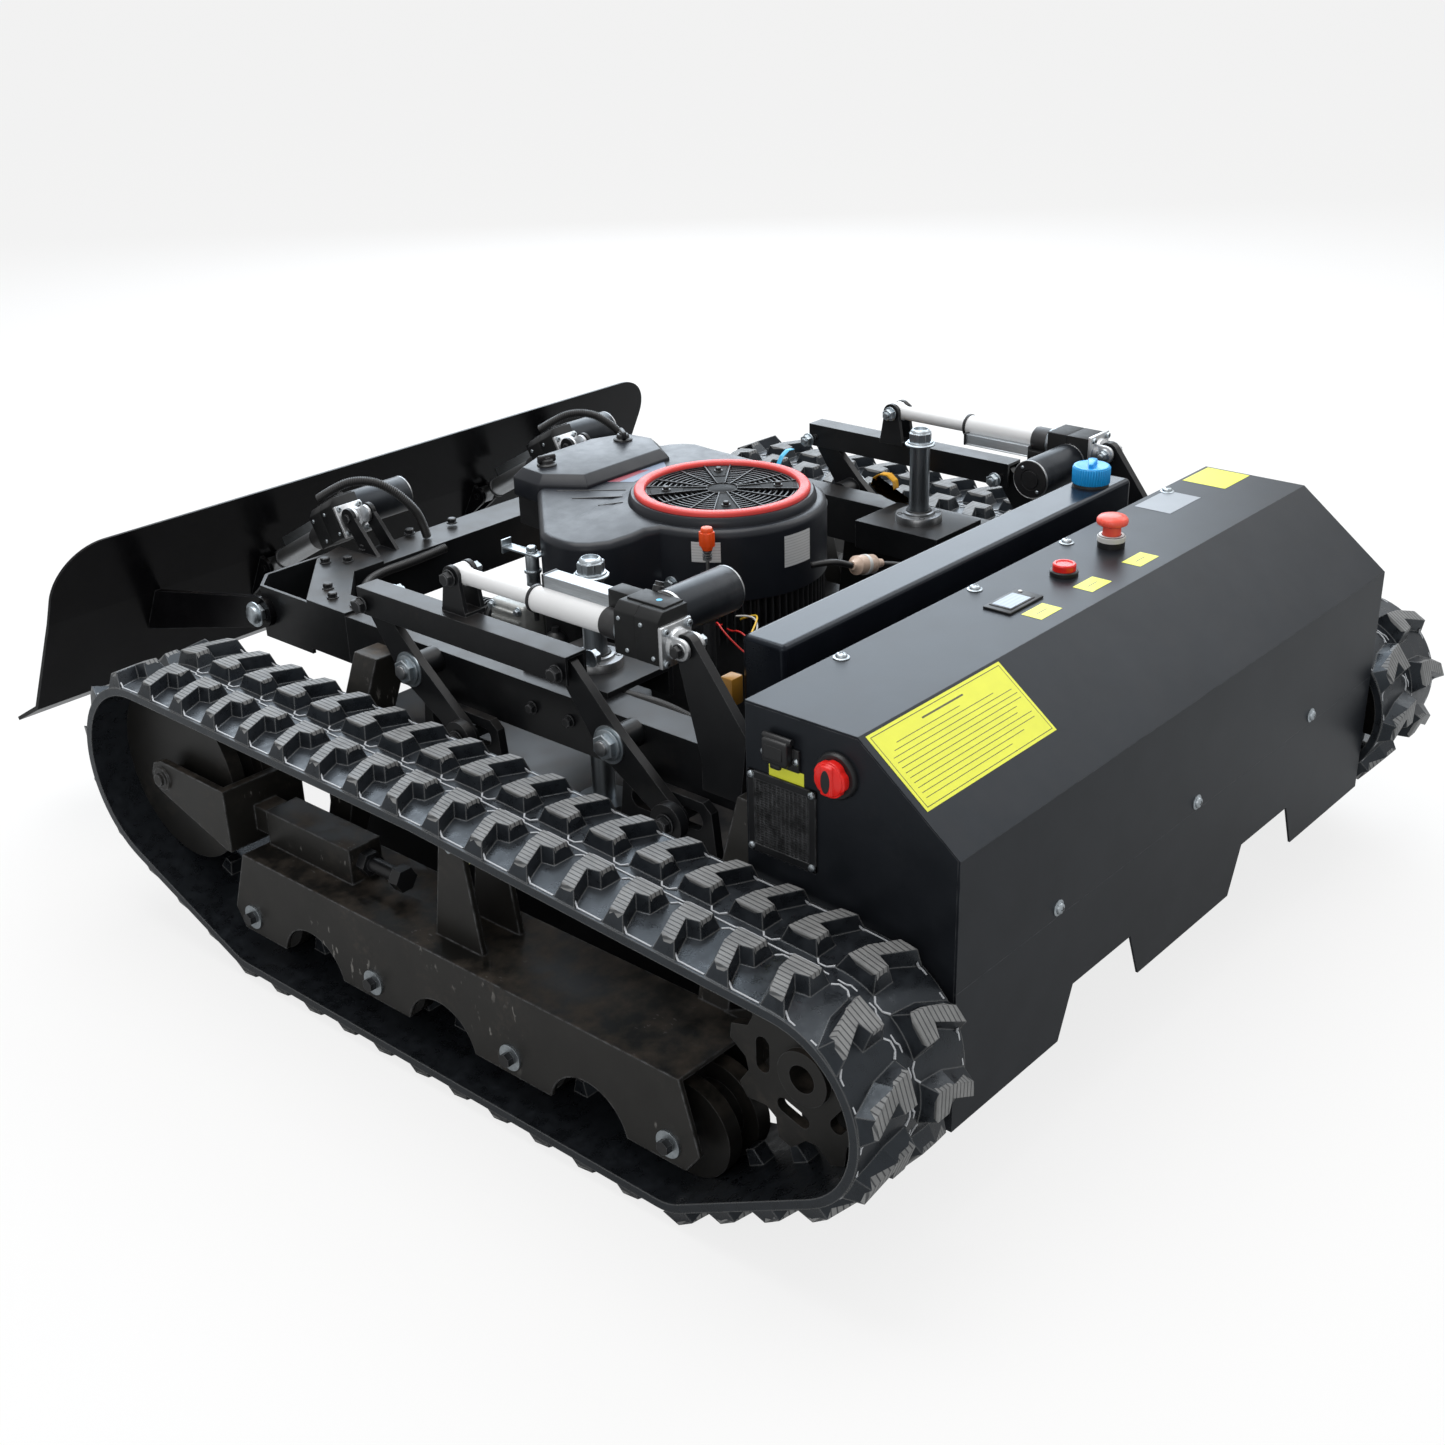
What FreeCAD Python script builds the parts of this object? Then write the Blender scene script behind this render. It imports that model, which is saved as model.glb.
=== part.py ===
"""Remote control slope mower, as separate pieces in one frame.

+Y is forward, +X is to the machine's right, +Z is up, and the ground is z = 0.
Lengths are in millimetres and angles in degrees.
"""
import FreeCAD, Part
import math
import os
import re

import Sketcher

from FreeCAD import Placement, Rotation, Vector

os.makedirs("parts", exist_ok=True)
doc = FreeCAD.newDocument("SlopeMower")

# Driving sizes. Each row is an alias, its value and what it measures.
SIZES = (
    # General clearances
    ("running_gap", 0.05, "radial clearance of a pin in its bore"),
    ("face_gap", 0.5, "side clearance between moving faces"),
    ("overrun", 2, "how far a cut runs past its face"),
    ("seat_sink", 2, "how deep a welded piece reaches into its carrier"),
    # Side beams and cross members
    ("beam_out", 430, "centre line to the outer face of a side beam"),
    ("beam_wide", 50, "width of a side beam"),
    ("beam_top", 430, "height of the beams' top face"),
    ("beam_tall", 70, "height of a beam section"),
    ("beam_wall", 4, "wall of the beams"),
    ("beam_front", 240, "front end of a side beam"),
    ("cross_front", 432, "front face of the front cross tube"),
    ("cross_deep", 70, "depth of the front cross tube"),
    ("corner_turn", 325, "where the frame corner starts to turn inwards"),
    ("corner_reach", 449, "where the corner's slanted run ends"),
    ("corner_half", 317, "half distance between the ends of the slanted runs"),
    ("corner_inner", 262, "half distance between the corner boxes"),
    ("cover_lip", 4, "thickness of a corner cover plate"),
    ("arm_tip", 467, "front face of the frame's front pockets"),
    ("arm_chamfer", 33, "slanted corner of a front pocket"),
    ("arm_plate", 5, "sheet of the front pockets"),
    ("arm_low", 352, "lower edge of the front pockets"),
    ("rear_cross_low", 370, "lower face of the rear cross tube"),
    # Dozer blade
    ("dozer_pivot_y", 425, "blade hinge line"),
    ("dozer_pivot_z", 394, "blade hinge line"),
    ("dozer_half", 620, "half width of the dozer blade"),
    ("dozer_thick", 5, "blade plate"),
    ("dozer_top_y", 645, "top edge of the blade"),
    ("dozer_top_z", 486, "top edge of the blade"),
    ("dozer_mid_y", 703, "middle of the blade's curve"),
    ("dozer_mid_z", 362, "middle of the blade's curve"),
    ("dozer_low_y", 791, "foot of the blade plate"),
    ("dozer_low_z", 201, "foot of the blade plate"),
    ("dozer_lip_y", 859.2, "tip of the cutting edge"),
    ("dozer_lip_z", 164, "tip of the cutting edge"),
    ("dozer_corner", 82, "radius of the blade's upper corners"),
    ("dozer_arm_thick", 10, "blade arm plate"),
    ("dozer_arm_tall", 46, "height of a blade arm"),
    ("pivot_bolt", 8, "radius of the blade hinge bolts"),
    ("pivot_head", 13, "radius of a hinge bolt's head"),
    ("head_thick", 9, "thickness of a bolt head"),
    # Linear actuators
    ("act_rod", 9.5, "radius of an actuator rod"),
    ("act_tube", 16, "radius of an actuator tube"),
    ("act_collar", 18.5, "radius of the black collar behind the tube"),
    ("act_eye", 14, "radius of a rod eye"),
    ("act_eye_wide", 20, "width of a rod eye"),
    ("act_pin", 5, "radius of an actuator's pins"),
    ("act_play", 4, "clearance of the rod eye round its pin"),
    ("act_block_wide", 50, "width of the gear block"),
    ("act_block_low", 22, "gear block below the axis"),
    ("act_block_high", 40, "gear block above the axis"),
    ("act_block_start", 22, "rear face of the gear block from the rear pin"),
    ("act_block_long", 68, "length of the gear block"),
    ("act_block_bevel", 9, "slanted top edges of the gear block"),
    ("act_collar_long", 33, "length of the black collar"),
    ("act_plate", 50, "square rear plate"),
    ("act_plate_thick", 5, "thickness of the rear plate"),
    ("act_motor", 28, "radius of the motor"),
    ("act_motor_long", 104, "length of the motor"),
    ("act_motor_lift", 18, "motor axis above the rod axis"),
    ("act_motor_at", 53, "motor axis from the rear pin"),
    ("act_bore", 112, "bore of the tube for the rod"),
    ("act_hidden", 60, "rod inside the tube, at rest"),
    ("clevis_half", 15, "half width of the rear clevis"),
    ("clevis_cheek", 6, "cheek of the rear clevis"),
    ("clevis_radius", 13, "rounded end of the rear clevis"),
    # Height actuators and their anchors
    ("lift_act_x", 455, "centre line to a height actuator"),
    ("lift_act_z", 563, "height of the height actuators"),
    ("lift_act_rear", -421, "rear pin of a height actuator"),
    ("lift_act_long", 378, "rear pin to rod eye, at rest"),
    ("lift_act_tube", 152, "visible white tube"),
    ("anchor_thick", 12, "anchor plate"),
    ("anchor_foot_y", -498, "rear edge of the anchor plate's foot"),
    ("anchor_low", 394, "lower edge of the anchor plate"),
    ("anchor_front_y", -441, "front edge of the anchor plate at the beam"),
    ("anchor_radius", 16, "rounded top of the anchor plate"),
    ("anchor_back_y", -508, "widest point of the anchor plate"),
    ("anchor_back_z", 478, "widest point of the anchor plate"),
    # Blade actuators
    ("blade_act_x", 229, "centre line to a blade actuator"),
    ("blade_act_y", 453, "rear pin of a blade actuator"),
    ("blade_act_z", 477, "rear pin of a blade actuator"),
    ("blade_act_long", 277.5, "rear pin to rod eye, at rest"),
    ("blade_act_fall", 28.9, "downward slope of the blade actuators"),
    ("blade_act_tube", 116, "visible tube of a blade actuator"),
    ("ear_thick", 6, "ear plates"),
    ("ear_radius", 15, "rounded end of an ear"),
    # Lift levers and sync bars
    ("lever_x", 468, "centre line to a lever"),
    ("lever_thick", 12, "lever plate"),
    ("lever_front", 53, "front lever pivot"),
    ("lever_span", 360, "front to rear lever pivot"),
    ("lever_pivot_z", 416, "height of the lever pivots"),
    ("lever_up_y", 66, "pivot to the lever's upper pin, forward"),
    ("lever_up_z", 78, "pivot to the lever's upper pin, upward"),
    ("lever_down_y", 97, "pivot to the lever's lower pin, backward"),
    ("lever_down_z", 68, "pivot to the lever's lower pin, downward"),
    ("lever_end", 15, "rounded ends of a lever"),
    ("lever_waist", 24, "radius of the lever round its pivot"),
    ("lever_pin", 5, "radius of the pins in a lever's ends"),
    ("lever_bolt", 10, "radius of a lever's pivot bolt"),
    ("roller_pin", 8, "radius of the lower pin in the deck's slot"),
    ("slot_play", 4.5, "clearance of the lower pin in the deck's slot"),
    ("slot_ahead", 68, "slot ahead of the lower pin"),
    ("slot_behind", 20, "slot behind the lower pin"),
    ("washer_radius", 24, "black roller outside a lever's lower end"),
    ("washer_thick", 12, "thickness of that roller"),
    ("bar_wide", 34, "width of a sync bar"),
    ("bar_tall", 36, "height of a sync bar"),
    ("bar_sheet", 4, "sheet of a sync bar"),
    ("bar_over", 12, "sync bar beyond its pins"),
    ("bar_ear_long", 44, "length of the ears' base"),
    # Guide posts and bearings
    ("post_x", 348, "centre line to a guide post"),
    ("post_y", -163, "guide posts"),
    ("post_radius", 15, "radius of a guide post"),
    ("post_bore", 7, "bore of a guide post"),
    ("post_top", 556, "top of the post tube"),
    ("post_nut", 16.5, "radius of the post's nut"),
    ("post_nut_tall", 18, "height of the post's nut"),
    ("flange_radius", 35, "bearing flange"),
    ("flange_thick", 11, "thickness of the bearing flange"),
    ("bearing_wall", 6, "wall of the bearing sleeve"),
    ("bearing_long", 62, "bearing sleeve below its plate"),
    ("shelf_thick", 8, "bearing shelf plate"),
    ("shelf_reach", 60, "shelf inwards of the post"),
    ("shelf_half", 75, "half length of the shelf"),
    # Deck
    ("deck_top", 238, "top of the cutter deck"),
    ("deck_low", 66, "lower edge of the cutter deck, raised"),
    ("deck_half", 472, "half width of the deck"),
    ("deck_front", 330, "front of the deck"),
    ("deck_rear", -500, "rear of the deck"),
    ("deck_sheet", 5, "sheet of the deck"),
    ("deck_nose", 60, "slanted corners of the deck"),
    ("rail_thick", 12, "slotted rail plates on the deck"),
    ("rail_out", 16, "rail plates outside the beams' faces"),
    ("rail_rise", 26, "rail above its slot"),
    ("cutter_half", 385, "half length of the cutter bar"),
    ("cutter_wide", 70, "width of the cutter bar"),
    ("cutter_thick", 8, "thickness of the cutter bar"),
    ("cutter_z", 96, "height of the cutter bar"),
    ("cutter_hub", 40, "radius of the cutter hub"),
    ("spindle", 14, "radius of the engine's output shaft"),
    # Engine
    ("engine_y", -74, "engine shaft"),
    ("crank_half", 105, "half width of the crankcase"),
    ("crank_top", 448, "top of the crankcase"),
    ("engine_foot", 12, "engine base plate"),
    ("cylinder_long", 122, "cylinder from the crankcase"),
    ("cylinder_wide", 92, "width of the cylinder fins"),
    ("cylinder_low", 320, "lower edge of the cylinder fins"),
    ("cylinder_high", 440, "upper edge of the cylinder fins"),
    ("fin_thick", 4, "thickness of a fin"),
    ("fin_count", 8, "fins on a cylinder"),
    ("bank_angle", 55, "each cylinder's angle from straight ahead"),
    ("shroud_radius", 168, "rear of the blower housing"),
    ("shroud_low", 448, "lower edge of the blower housing"),
    ("shroud_top", 548, "top of the blower housing"),
    ("shroud_shoulder", 22, "rounded shoulder of the blower housing"),
    ("shroud_sheet", 3, "wall of the blower housing"),
    ("shroud_half", 205, "half width of the blower housing"),
    ("shroud_front", 168, "front of the blower housing"),
    ("shroud_side_y", 15, "where the housing is widest"),
    ("shroud_side_front", 92, "where the housing's sides turn in"),
    ("shroud_nose_half", 125, "half width of the housing's front"),
    ("intake_radius", 112, "air intake of the blower housing"),
    ("intake_deep", 34, "depth of the air intake"),
    ("ring_radius", 125, "outer radius of the intake ring"),
    ("ring_tall", 10, "height of the intake ring"),
    ("guard_rings", 7, "rings of the intake guard"),
    ("guard_bar", 3.2, "bars of the intake guard"),
    ("guard_hub", 22, "hub of the intake guard"),
    ("guard_spokes", 8, "spokes of the intake guard"),
    ("filter_top", 576, "top of the air filter cover"),
    ("filter_low", 500, "lower edge of the air filter cover"),
    ("filter_rear", 100, "rear edge of the filter cover"),
    ("filter_wide_y", 153, "where the filter cover is widest"),
    ("filter_side_y", 212, "where the cover's sides turn in"),
    ("filter_front", 238, "front edge of the filter cover"),
    ("filter_rear_half", 97, "half width of the cover's rear edge"),
    ("filter_half", 130, "half width of the filter cover"),
    ("filter_side_half", 118, "half width where the sides turn in"),
    ("filter_front_half", 60, "half width of the cover's front edge"),
    ("filter_bevel", 7, "bevel round the cover's top"),
    ("knob_x", 78, "centre line to a cover knob"),
    ("knob_y", 187, "cover knobs"),
    ("knob_radius", 11, "radius of a cover knob"),
    ("knob_tall", 13, "height of a cover knob"),
    ("muffler_x", 135, "centre of the muffler"),
    ("muffler_y", 268, "centre line of the muffler"),
    ("muffler_z", 310, "height of the muffler"),
    ("muffler_radius", 38, "radius of the muffler"),
    ("muffler_half", 80, "half length of the muffler"),
    ("dip_x", -150, "dipstick"),
    ("dip_y", -178, "dipstick"),
    ("dip_top", 562, "top of the dipstick knob"),
    ("dip_low", 500, "seat of the dipstick in its tube"),
    ("dip_knob", 12, "radius of the dipstick knob"),
    ("dip_tube", 8, "radius of the dipstick tube"),
    # Fuel tank
    ("tank_half", 383, "half length of the fuel tank"),
    ("tank_rear", -498, "rear face of the tank"),
    ("tank_front", -436, "front face of the tank"),
    ("tank_top", 558, "top of the tank"),
    ("tank_round", 7, "rounded edges of the tank"),
    ("tank_wall", 4, "wall of the tank"),
    ("filler_x", 325, "filler neck"),
    ("filler_neck", 19, "radius of the filler neck"),
    ("filler_tall", 14, "height of the filler neck"),
    ("filler_cap", 25, "radius of the fuel cap"),
    ("filler_cap_tall", 14, "height of the fuel cap"),
    ("cap_grips", 10, "finger grooves of the fuel cap"),
    ("cap_grip", 3, "radius of a finger groove"),
    # Control cabinet
    ("cab_half", 507, "half width of the cabinet"),
    ("cab_front", -547, "front face of the cabinet"),
    ("cab_top", 553, "top of the cabinet"),
    ("cab_bend", -695, "where the top turns down"),
    ("cab_rear", -822, "rear face of the cabinet"),
    ("cab_slant", 455, "lower edge of the slanted face"),
    ("cab_seam", 300, "seam of the cover and the skirt"),
    ("cab_inset", 24, "cover's screws from its sides"),
    ("seam_screw", 313, "outer screws of the seam"),
    ("cab_low", 128, "lower edge of the cabinet"),
    ("cab_sheet", 3, "sheet of the cabinet"),
    ("drive_clear", 4, "hole of the cabinet's side round the gear motor"),
    ("notch_top", 192, "top of the skirt's notches"),
    ("notch_in", 115, "inner foot of a notch"),
    ("notch_out", 296, "outer foot of a notch"),
    ("notch_slope", 26, "slope of a notch's sides"),
    ("vent_y", -597, "centre of the side vent"),
    ("vent_long", 88, "length of the side vent"),
    ("vent_low", 376, "lower edge of the side vent"),
    ("vent_tall", 97, "height of the side vent"),
    ("vent_slats", 9, "openings of the side vent"),
    ("socket_y", -597, "charging socket"),
    ("socket_z", 508, "charging socket"),
    ("socket_wide", 46, "width of the socket plate"),
    ("socket_tall", 34, "height of the socket plate"),
    ("socket_out", 12, "socket cover out of the side"),
    ("isolator_y", -670, "isolator knob"),
    ("isolator_z", 503, "isolator knob"),
    ("isolator_base", 24, "radius of the isolator's base"),
    ("isolator_knob", 20, "radius of the isolator knob"),
    ("isolator_out", 26, "isolator knob out of its base"),
    ("base_thick", 6, "thickness of the round switch bases"),
    ("stop_tail", 22, "switch stems below the cover"),
    ("button_travel", 3, "travel of the push button"),
    ("stop_x", 133, "emergency stop"),
    ("stop_y", -610, "emergency stop"),
    ("stop_base", 17, "radius of the emergency stop's collar"),
    ("stop_collar", 16, "height of the emergency stop's collar"),
    ("stop_head", 20, "radius of the emergency stop's head"),
    ("stop_head_tall", 11, "height of the emergency stop's head"),
    ("stop_stem", 12, "radius of the emergency stop's stem"),
    ("stop_lift", 14, "head above its collar"),
    ("button_x", 11, "push button"),
    ("button_y", -616, "push button"),
    ("button_base", 17, "radius of the push button's base"),
    ("button_head", 13.5, "radius of the push button"),
    ("button_tall", 9, "height of the push button"),
    ("button_stem", 6, "radius of the push button's stem"),
    # Tracks
    ("track_mid", 608, "centre line to the middle of a track"),
    ("track_wide", 180, "width of a track"),
    ("belt_thick", 11, "belt without its lugs"),
    ("lug_tall", 18, "height of a lug"),
    ("link_pitch", 72, "nominal spacing of the lugs"),
    ("idler_y", 365, "idler centre"),
    ("idler_z", 238, "idler centre"),
    ("idler_radius", 128, "idler"),
    ("sprocket_y", -729, "sprocket centre"),
    ("sprocket_z", 230, "sprocket centre"),
    ("sprocket_radius", 103, "belt round the sprocket"),
    ("carrier_y", -203, "carrier roller centre"),
    ("carrier_z", 325, "carrier roller centre"),
    ("carrier_radius", 36, "carrier roller"),
    ("wheel_radius", 60, "road wheel"),
    ("wheel_front", 184, "first road wheel"),
    ("wheel_rear", -569, "last road wheel"),
    ("wheel_count", 4, "road wheels on a side"),
    ("belt_gap", 0.4, "clearance of wheels and belt"),
    ("horn_tall", 20, "guide horn inside the belt"),
    ("horn_long", 24, "guide horn along the belt"),
    ("horn_wide", 20, "guide horn across the belt"),
    ("horn_clear", 2, "room over a guide horn"),
    ("wheel_half", 34, "half width of the wheels"),
    ("groove_half", 14, "half width of the wheels' groove"),
    ("axle_radius", 9, "wheel axles"),
    ("sprocket_thick", 12, "sprocket plate"),
    ("tooth_count", 9, "teeth of a sprocket"),
    ("tooth_deep", 20, "depth of the sprocket's gullets"),
    ("sprocket_hub", 32, "hub of a sprocket"),
    ("hub_out", 8, "hub of a sprocket out of its plates"),
    ("window_count", 5, "oval windows of a sprocket"),
    ("window_at", 58, "windows from the sprocket's centre"),
    ("window_radius", 9, "half width of a window"),
    ("window_long", 26, "straight part of a window"),
    # Track frames
    ("rail_half", 66, "half width of a track frame"),
    ("rail_top", 182, "top of a track frame"),
    ("rail_sheet", 6, "sheet of a track frame"),
    ("rail_front", 190, "front of a track frame's top"),
    ("rail_rear", -587, "rear of a track frame's top"),
    ("rail_slope", 27, "slope of a track frame's rear end"),
    ("rail_foot", 64, "lower edge of a track frame"),
    ("arch_top", 112, "top of the arches between the wheels"),
    ("arch_radius", 62, "arches between the wheels"),
    ("rail_round", 40, "track frame round a wheel bolt"),
    ("tube_half", 25, "half width of the tensioner tube"),
    ("tube_front", 185, "front end of the tensioner tube"),
    ("tube_rear", 11, "rear end of the tensioner tube"),
    ("tension_bolt", 10, "radius of the tensioner bolt"),
    ("tension_long", 66, "bolt out of the tensioner tube"),
    ("tension_nut", 17, "radius of the tensioner's nuts"),
    ("tension_nut_tall", 14, "height of the tensioner's nuts"),
    ("fork_half", 62, "half width of the idler fork, outside"),
    ("fork_sheet", 10, "plates of the idler fork"),
    ("fork_rear", 232, "rear face of the idler fork"),
    ("fork_bridge", 12, "bridge of the idler fork"),
    ("fork_radius", 26, "rounded front of the fork plates"),
    ("fork_high", 262, "upper edge of the fork plates"),
    ("fork_low", 172, "lower edge of the fork plates"),
    ("fork_stem", 18, "half width of the fork's stem"),
    ("fork_stem_long", 110, "length of the fork's stem"),
    ("fork_travel", 12, "travel of the idler fork"),
    ("bracket_half", 42, "half length of a carrier bracket's foot"),
    ("bracket_tip", 16, "half length of a carrier bracket's top"),
    ("bracket_sheet", 8, "plates of a carrier bracket"),
    ("bracket_in", 26, "inner face of a carrier bracket from the middle"),
    ("leg_long", 45, "length of a leg along the machine"),
    ("leg_front_y", 128, "rear face of the front leg"),
    ("leg_rear_y", -546, "rear face of the rear leg"),
    ("leg_reach", 40, "width of a leg at its top"),
    ("leg_weld_z", 408, "top of a leg"),
    ("leg_out", 515, "leg beside the belt"),
    ("leg_out_z", 300, "leg beside the belt"),
    ("leg_foot_z", 120, "foot of a leg"),
    ("drive_radius", 58, "gear motor of a track drive"),
    ("drive_in", 420, "inner end of the gear motor"),
    ("drive_shaft", 16, "shaft of the gear motor"),
    # Fasteners and conduits
    ("wheel_washer", 17, "radius of the wheel bolts' washers"),
    ("wheel_nut", 9, "radius of the wheel bolts' heads"),
    ("washer_sheet", 3, "thickness of those washers"),
    ("small_bolt", 6, "radius of the small bolt heads"),
    ("small_head", 4, "thickness of the small bolt heads"),
    ("conduit_radius", 7, "corrugated conduit over the ribs"),
    ("conduit_bore", 4.5, "bore of the conduit"),
)

sheet = doc.addObject("Spreadsheet::Sheet", "Sizes")
for row, (alias, amount, meaning) in enumerate(SIZES, start=1):
    sheet.set(f"A{row}", alias)
    sheet.set(f"B{row}", str(amount))
    sheet.set(f"C{row}", meaning)
    sheet.setAlias(f"B{row}", alias)
doc.recompute()

ALIASES = {alias for alias, amount, meaning in SIZES}
NODES = []


def sized(formula):
    """The formula with each alias written as a cell of the sheet."""
    def cell(match):
        word = match.group(0)
        return f"Sizes.{word}" if word in ALIASES else word
    return re.sub(r"[a-z][a-z_]*", cell, str(formula))


def size(alias):
    """The value of one cell."""
    return float(sheet.get(alias))


def node(label, item):
    """Name a finished sub-part."""
    item.Label = label
    NODES.append(item)
    return item


# Primitives, sketches and booleans
TURNS = {
    "X": Rotation(Vector(0, 1, 0), 90),
    "Y": Rotation(Vector(1, 0, 0), -90),
    "Z": Rotation(),
}


def block(name, along_x, along_y, along_z):
    """A box between two formulas on each axis."""
    item = doc.addObject("Part::Box", name)
    spans = (("Length", "x", along_x), ("Width", "y", along_y), ("Height", "z", along_z))
    for side, axis, (low, high) in spans:
        item.setExpression(side, sized(f"({high}) - ({low})"))
        item.setExpression(f"Placement.Base.{axis}", sized(low))
    return item


def bar(name, axis, radius, span, centre):
    """A round bar along one axis; centre gives the other two places in order."""
    item = doc.addObject("Part::Cylinder", name)
    item.Placement = Placement(Vector(), TURNS[axis])
    item.setExpression("Radius", sized(radius))
    low, high = span
    item.setExpression("Height", sized(f"({high}) - ({low})"))
    places = list(centre)
    places.insert("XYZ".index(axis), low)
    for letter, place in zip("xyz", places):
        item.setExpression(f"Placement.Base.{letter}", sized(place))
    return item


def hex_bar(name, axis, radius, span, centre):
    """A six-sided bar along one axis; radius is to its corners."""
    item = doc.addObject("Part::Prism", name)
    item.Polygon = 6
    item.Placement = Placement(Vector(), TURNS[axis])
    item.setExpression("Circumradius", sized(radius))
    low, high = span
    item.setExpression("Height", sized(f"({high}) - ({low})"))
    places = list(centre)
    places.insert("XYZ".index(axis), low)
    for letter, place in zip("xyz", places):
        item.setExpression(f"Placement.Base.{letter}", sized(place))
    return item


def origin_plane(body, role):
    return [item for item in body.Origin.OriginFeatures if item.Role == role][0]


def prism(name, plane, corners, span):
    """A plate of the given outline, from one offset of its plane to another.

    Corners are formulas on the plane's own axes: X and Y on XY, Y and Z on YZ,
    X and Z on XZ.
    """
    low, high = span
    body = doc.addObject("PartDesign::Body", name)
    sketch = body.newObject("Sketcher::SketchObject", name + "_outline")
    sketch.AttachmentSupport = [(origin_plane(body, plane + "_Plane"), "")]
    sketch.MapMode = "FlatFace"
    offset = f"-({high})" if plane == "XZ" else low
    sketch.setExpression("AttachmentOffset.Base.z", sized(offset))
    count = len(corners)
    start = [Vector(math.cos(math.tau * k / count), math.sin(math.tau * k / count), 0)
             for k in range(count)]
    for k in range(count):
        sketch.addGeometry(Part.LineSegment(start[k], start[(k + 1) % count]), False)
    for k in range(count):
        sketch.addConstraint(Sketcher.Constraint("Coincident", k, 2, (k + 1) % count, 1))
    for k, (across, along) in enumerate(corners):
        pin_point(sketch, k, start[k], across, along)
    pad = body.newObject("PartDesign::Pad", name + "_pad")
    pad.Profile = sketch
    pad.setExpression("Length", sized(f"({high}) - ({low})"))
    return body


def pin_point(sketch, line, start, across, along):
    """Tie the first end of a sketch line to two formulas."""
    for kind, first, formula in (("DistanceX", start.x, across), ("DistanceY", start.y, along)):
        key = sketch.addConstraint(Sketcher.Constraint(kind, line, 1, first))
        sketch.setExpression(f"Constraints[{key}]", sized(formula))


def fuse(name, *items):
    item = doc.addObject("Part::MultiFuse", name)
    item.Shapes = list(items)
    item.Refine = True
    return item


def cut(name, base, *tools):
    item = doc.addObject("Part::Cut", name)
    item.Base = base
    item.Tool = tools[0] if len(tools) == 1 else fuse(name + "_tools", *tools)
    item.Refine = True
    return item


def group(name, *items):
    item = doc.addObject("Part::Compound", name)
    item.Links = list(items)
    return item


def mirrored(name, source):
    """The same piece on the other side of the machine."""
    item = doc.addObject("Part::Mirroring", name)
    item.Source = source
    item.Normal = Vector(1, 0, 0)
    return item


def pair(label, item):
    """A left piece and its mirror image on the right."""
    node(label + "_left", item)
    return node(label + "_right", mirrored(item.Name + "_right", item))


def solid(name, shape):
    """A piece whose shape comes from code that reads the sheet."""
    item = doc.addObject("Part::Feature", name)
    item.Shape = shape
    return item


# Side beams, each with the anchor plate of its height actuator
def side_beam():
    outside = block("Beam", ("-beam_out", "beam_wide - beam_out"), ("cab_front", "beam_front"),
                    ("beam_top - beam_tall", "beam_top"))
    inside = block("BeamBore", ("beam_wall - beam_out", "beam_wide - beam_out - beam_wall"),
                   ("cab_front - overrun", "beam_front + overrun"),
                   ("beam_top - beam_tall + beam_wall", "beam_top - beam_wall"))
    anchor_x = ("-lift_act_x - anchor_thick / 2", "anchor_thick / 2 - lift_act_x")
    plate = prism("AnchorPlate", "YZ", (
        ("anchor_foot_y", "anchor_low"),
        ("anchor_front_y", "anchor_low"),
        ("anchor_front_y", "beam_top"),
        ("lift_act_rear + anchor_radius", "lift_act_z"),
        ("lift_act_rear - anchor_radius * 0.8", "lift_act_z + anchor_radius * 0.6"),
        ("anchor_back_y", "anchor_back_z"),
    ), anchor_x)
    crown = bar("AnchorCrown", "X", "anchor_radius", anchor_x, ("lift_act_rear", "lift_act_z"))
    spacer = block("AnchorSpacer", ("-lift_act_x", "seat_sink - beam_out"),
                   ("anchor_foot_y", "anchor_front_y"),
                   ("anchor_low", "beam_top - beam_wall"))
    pin_hole = bar("AnchorHole", "X", "act_pin + running_gap",
                   ("-lift_act_x - anchor_thick", "anchor_thick - lift_act_x"),
                   ("lift_act_rear", "lift_act_z"))
    welded = fuse("BeamWelded", outside, plate, crown, spacer)
    return cut("SideBeam", welded, inside, pin_hole)


pair("side_beam", side_beam())


# Front cross member: tube, slanted corners, front pockets and actuator ears
def corner_box():
    inner = "beam_wide - beam_out"
    outline = (
        ("-beam_out", "beam_front"),
        ("-beam_out", "corner_turn"),
        ("-corner_half", "corner_reach"),
        ("-corner_inner", "arm_tip"),
        ("-corner_inner", "cross_front - cross_deep"),
        ("-corner_half", "cross_front - cross_deep"),
        (inner, "beam_front + beam_wide"),
        (inner, "beam_front"),
    )
    walls = prism("CornerBox", "XY", outline, ("beam_top - beam_tall", "beam_top + cover_lip"))
    hollow = prism("CornerHollow", "XY", (
        ("beam_wall - beam_out", "beam_front + beam_wall"),
        ("beam_wall - beam_out", "corner_turn"),
        ("-corner_half", "corner_reach - beam_wall * 1.4"),
        ("-corner_inner - beam_wall", "arm_tip - beam_wall * 1.4"),
        ("-corner_inner - beam_wall", "cross_front - cross_deep + beam_wall"),
        ("-corner_half", "cross_front - cross_deep + beam_wall"),
        (f"{inner} - beam_wall", "beam_front + beam_wide"),
        (f"{inner} - beam_wall", "beam_front + beam_wall"),
    ), ("beam_top - beam_tall - overrun", "beam_top - beam_wall"))
    return cut("CornerShell", walls, hollow)


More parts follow.
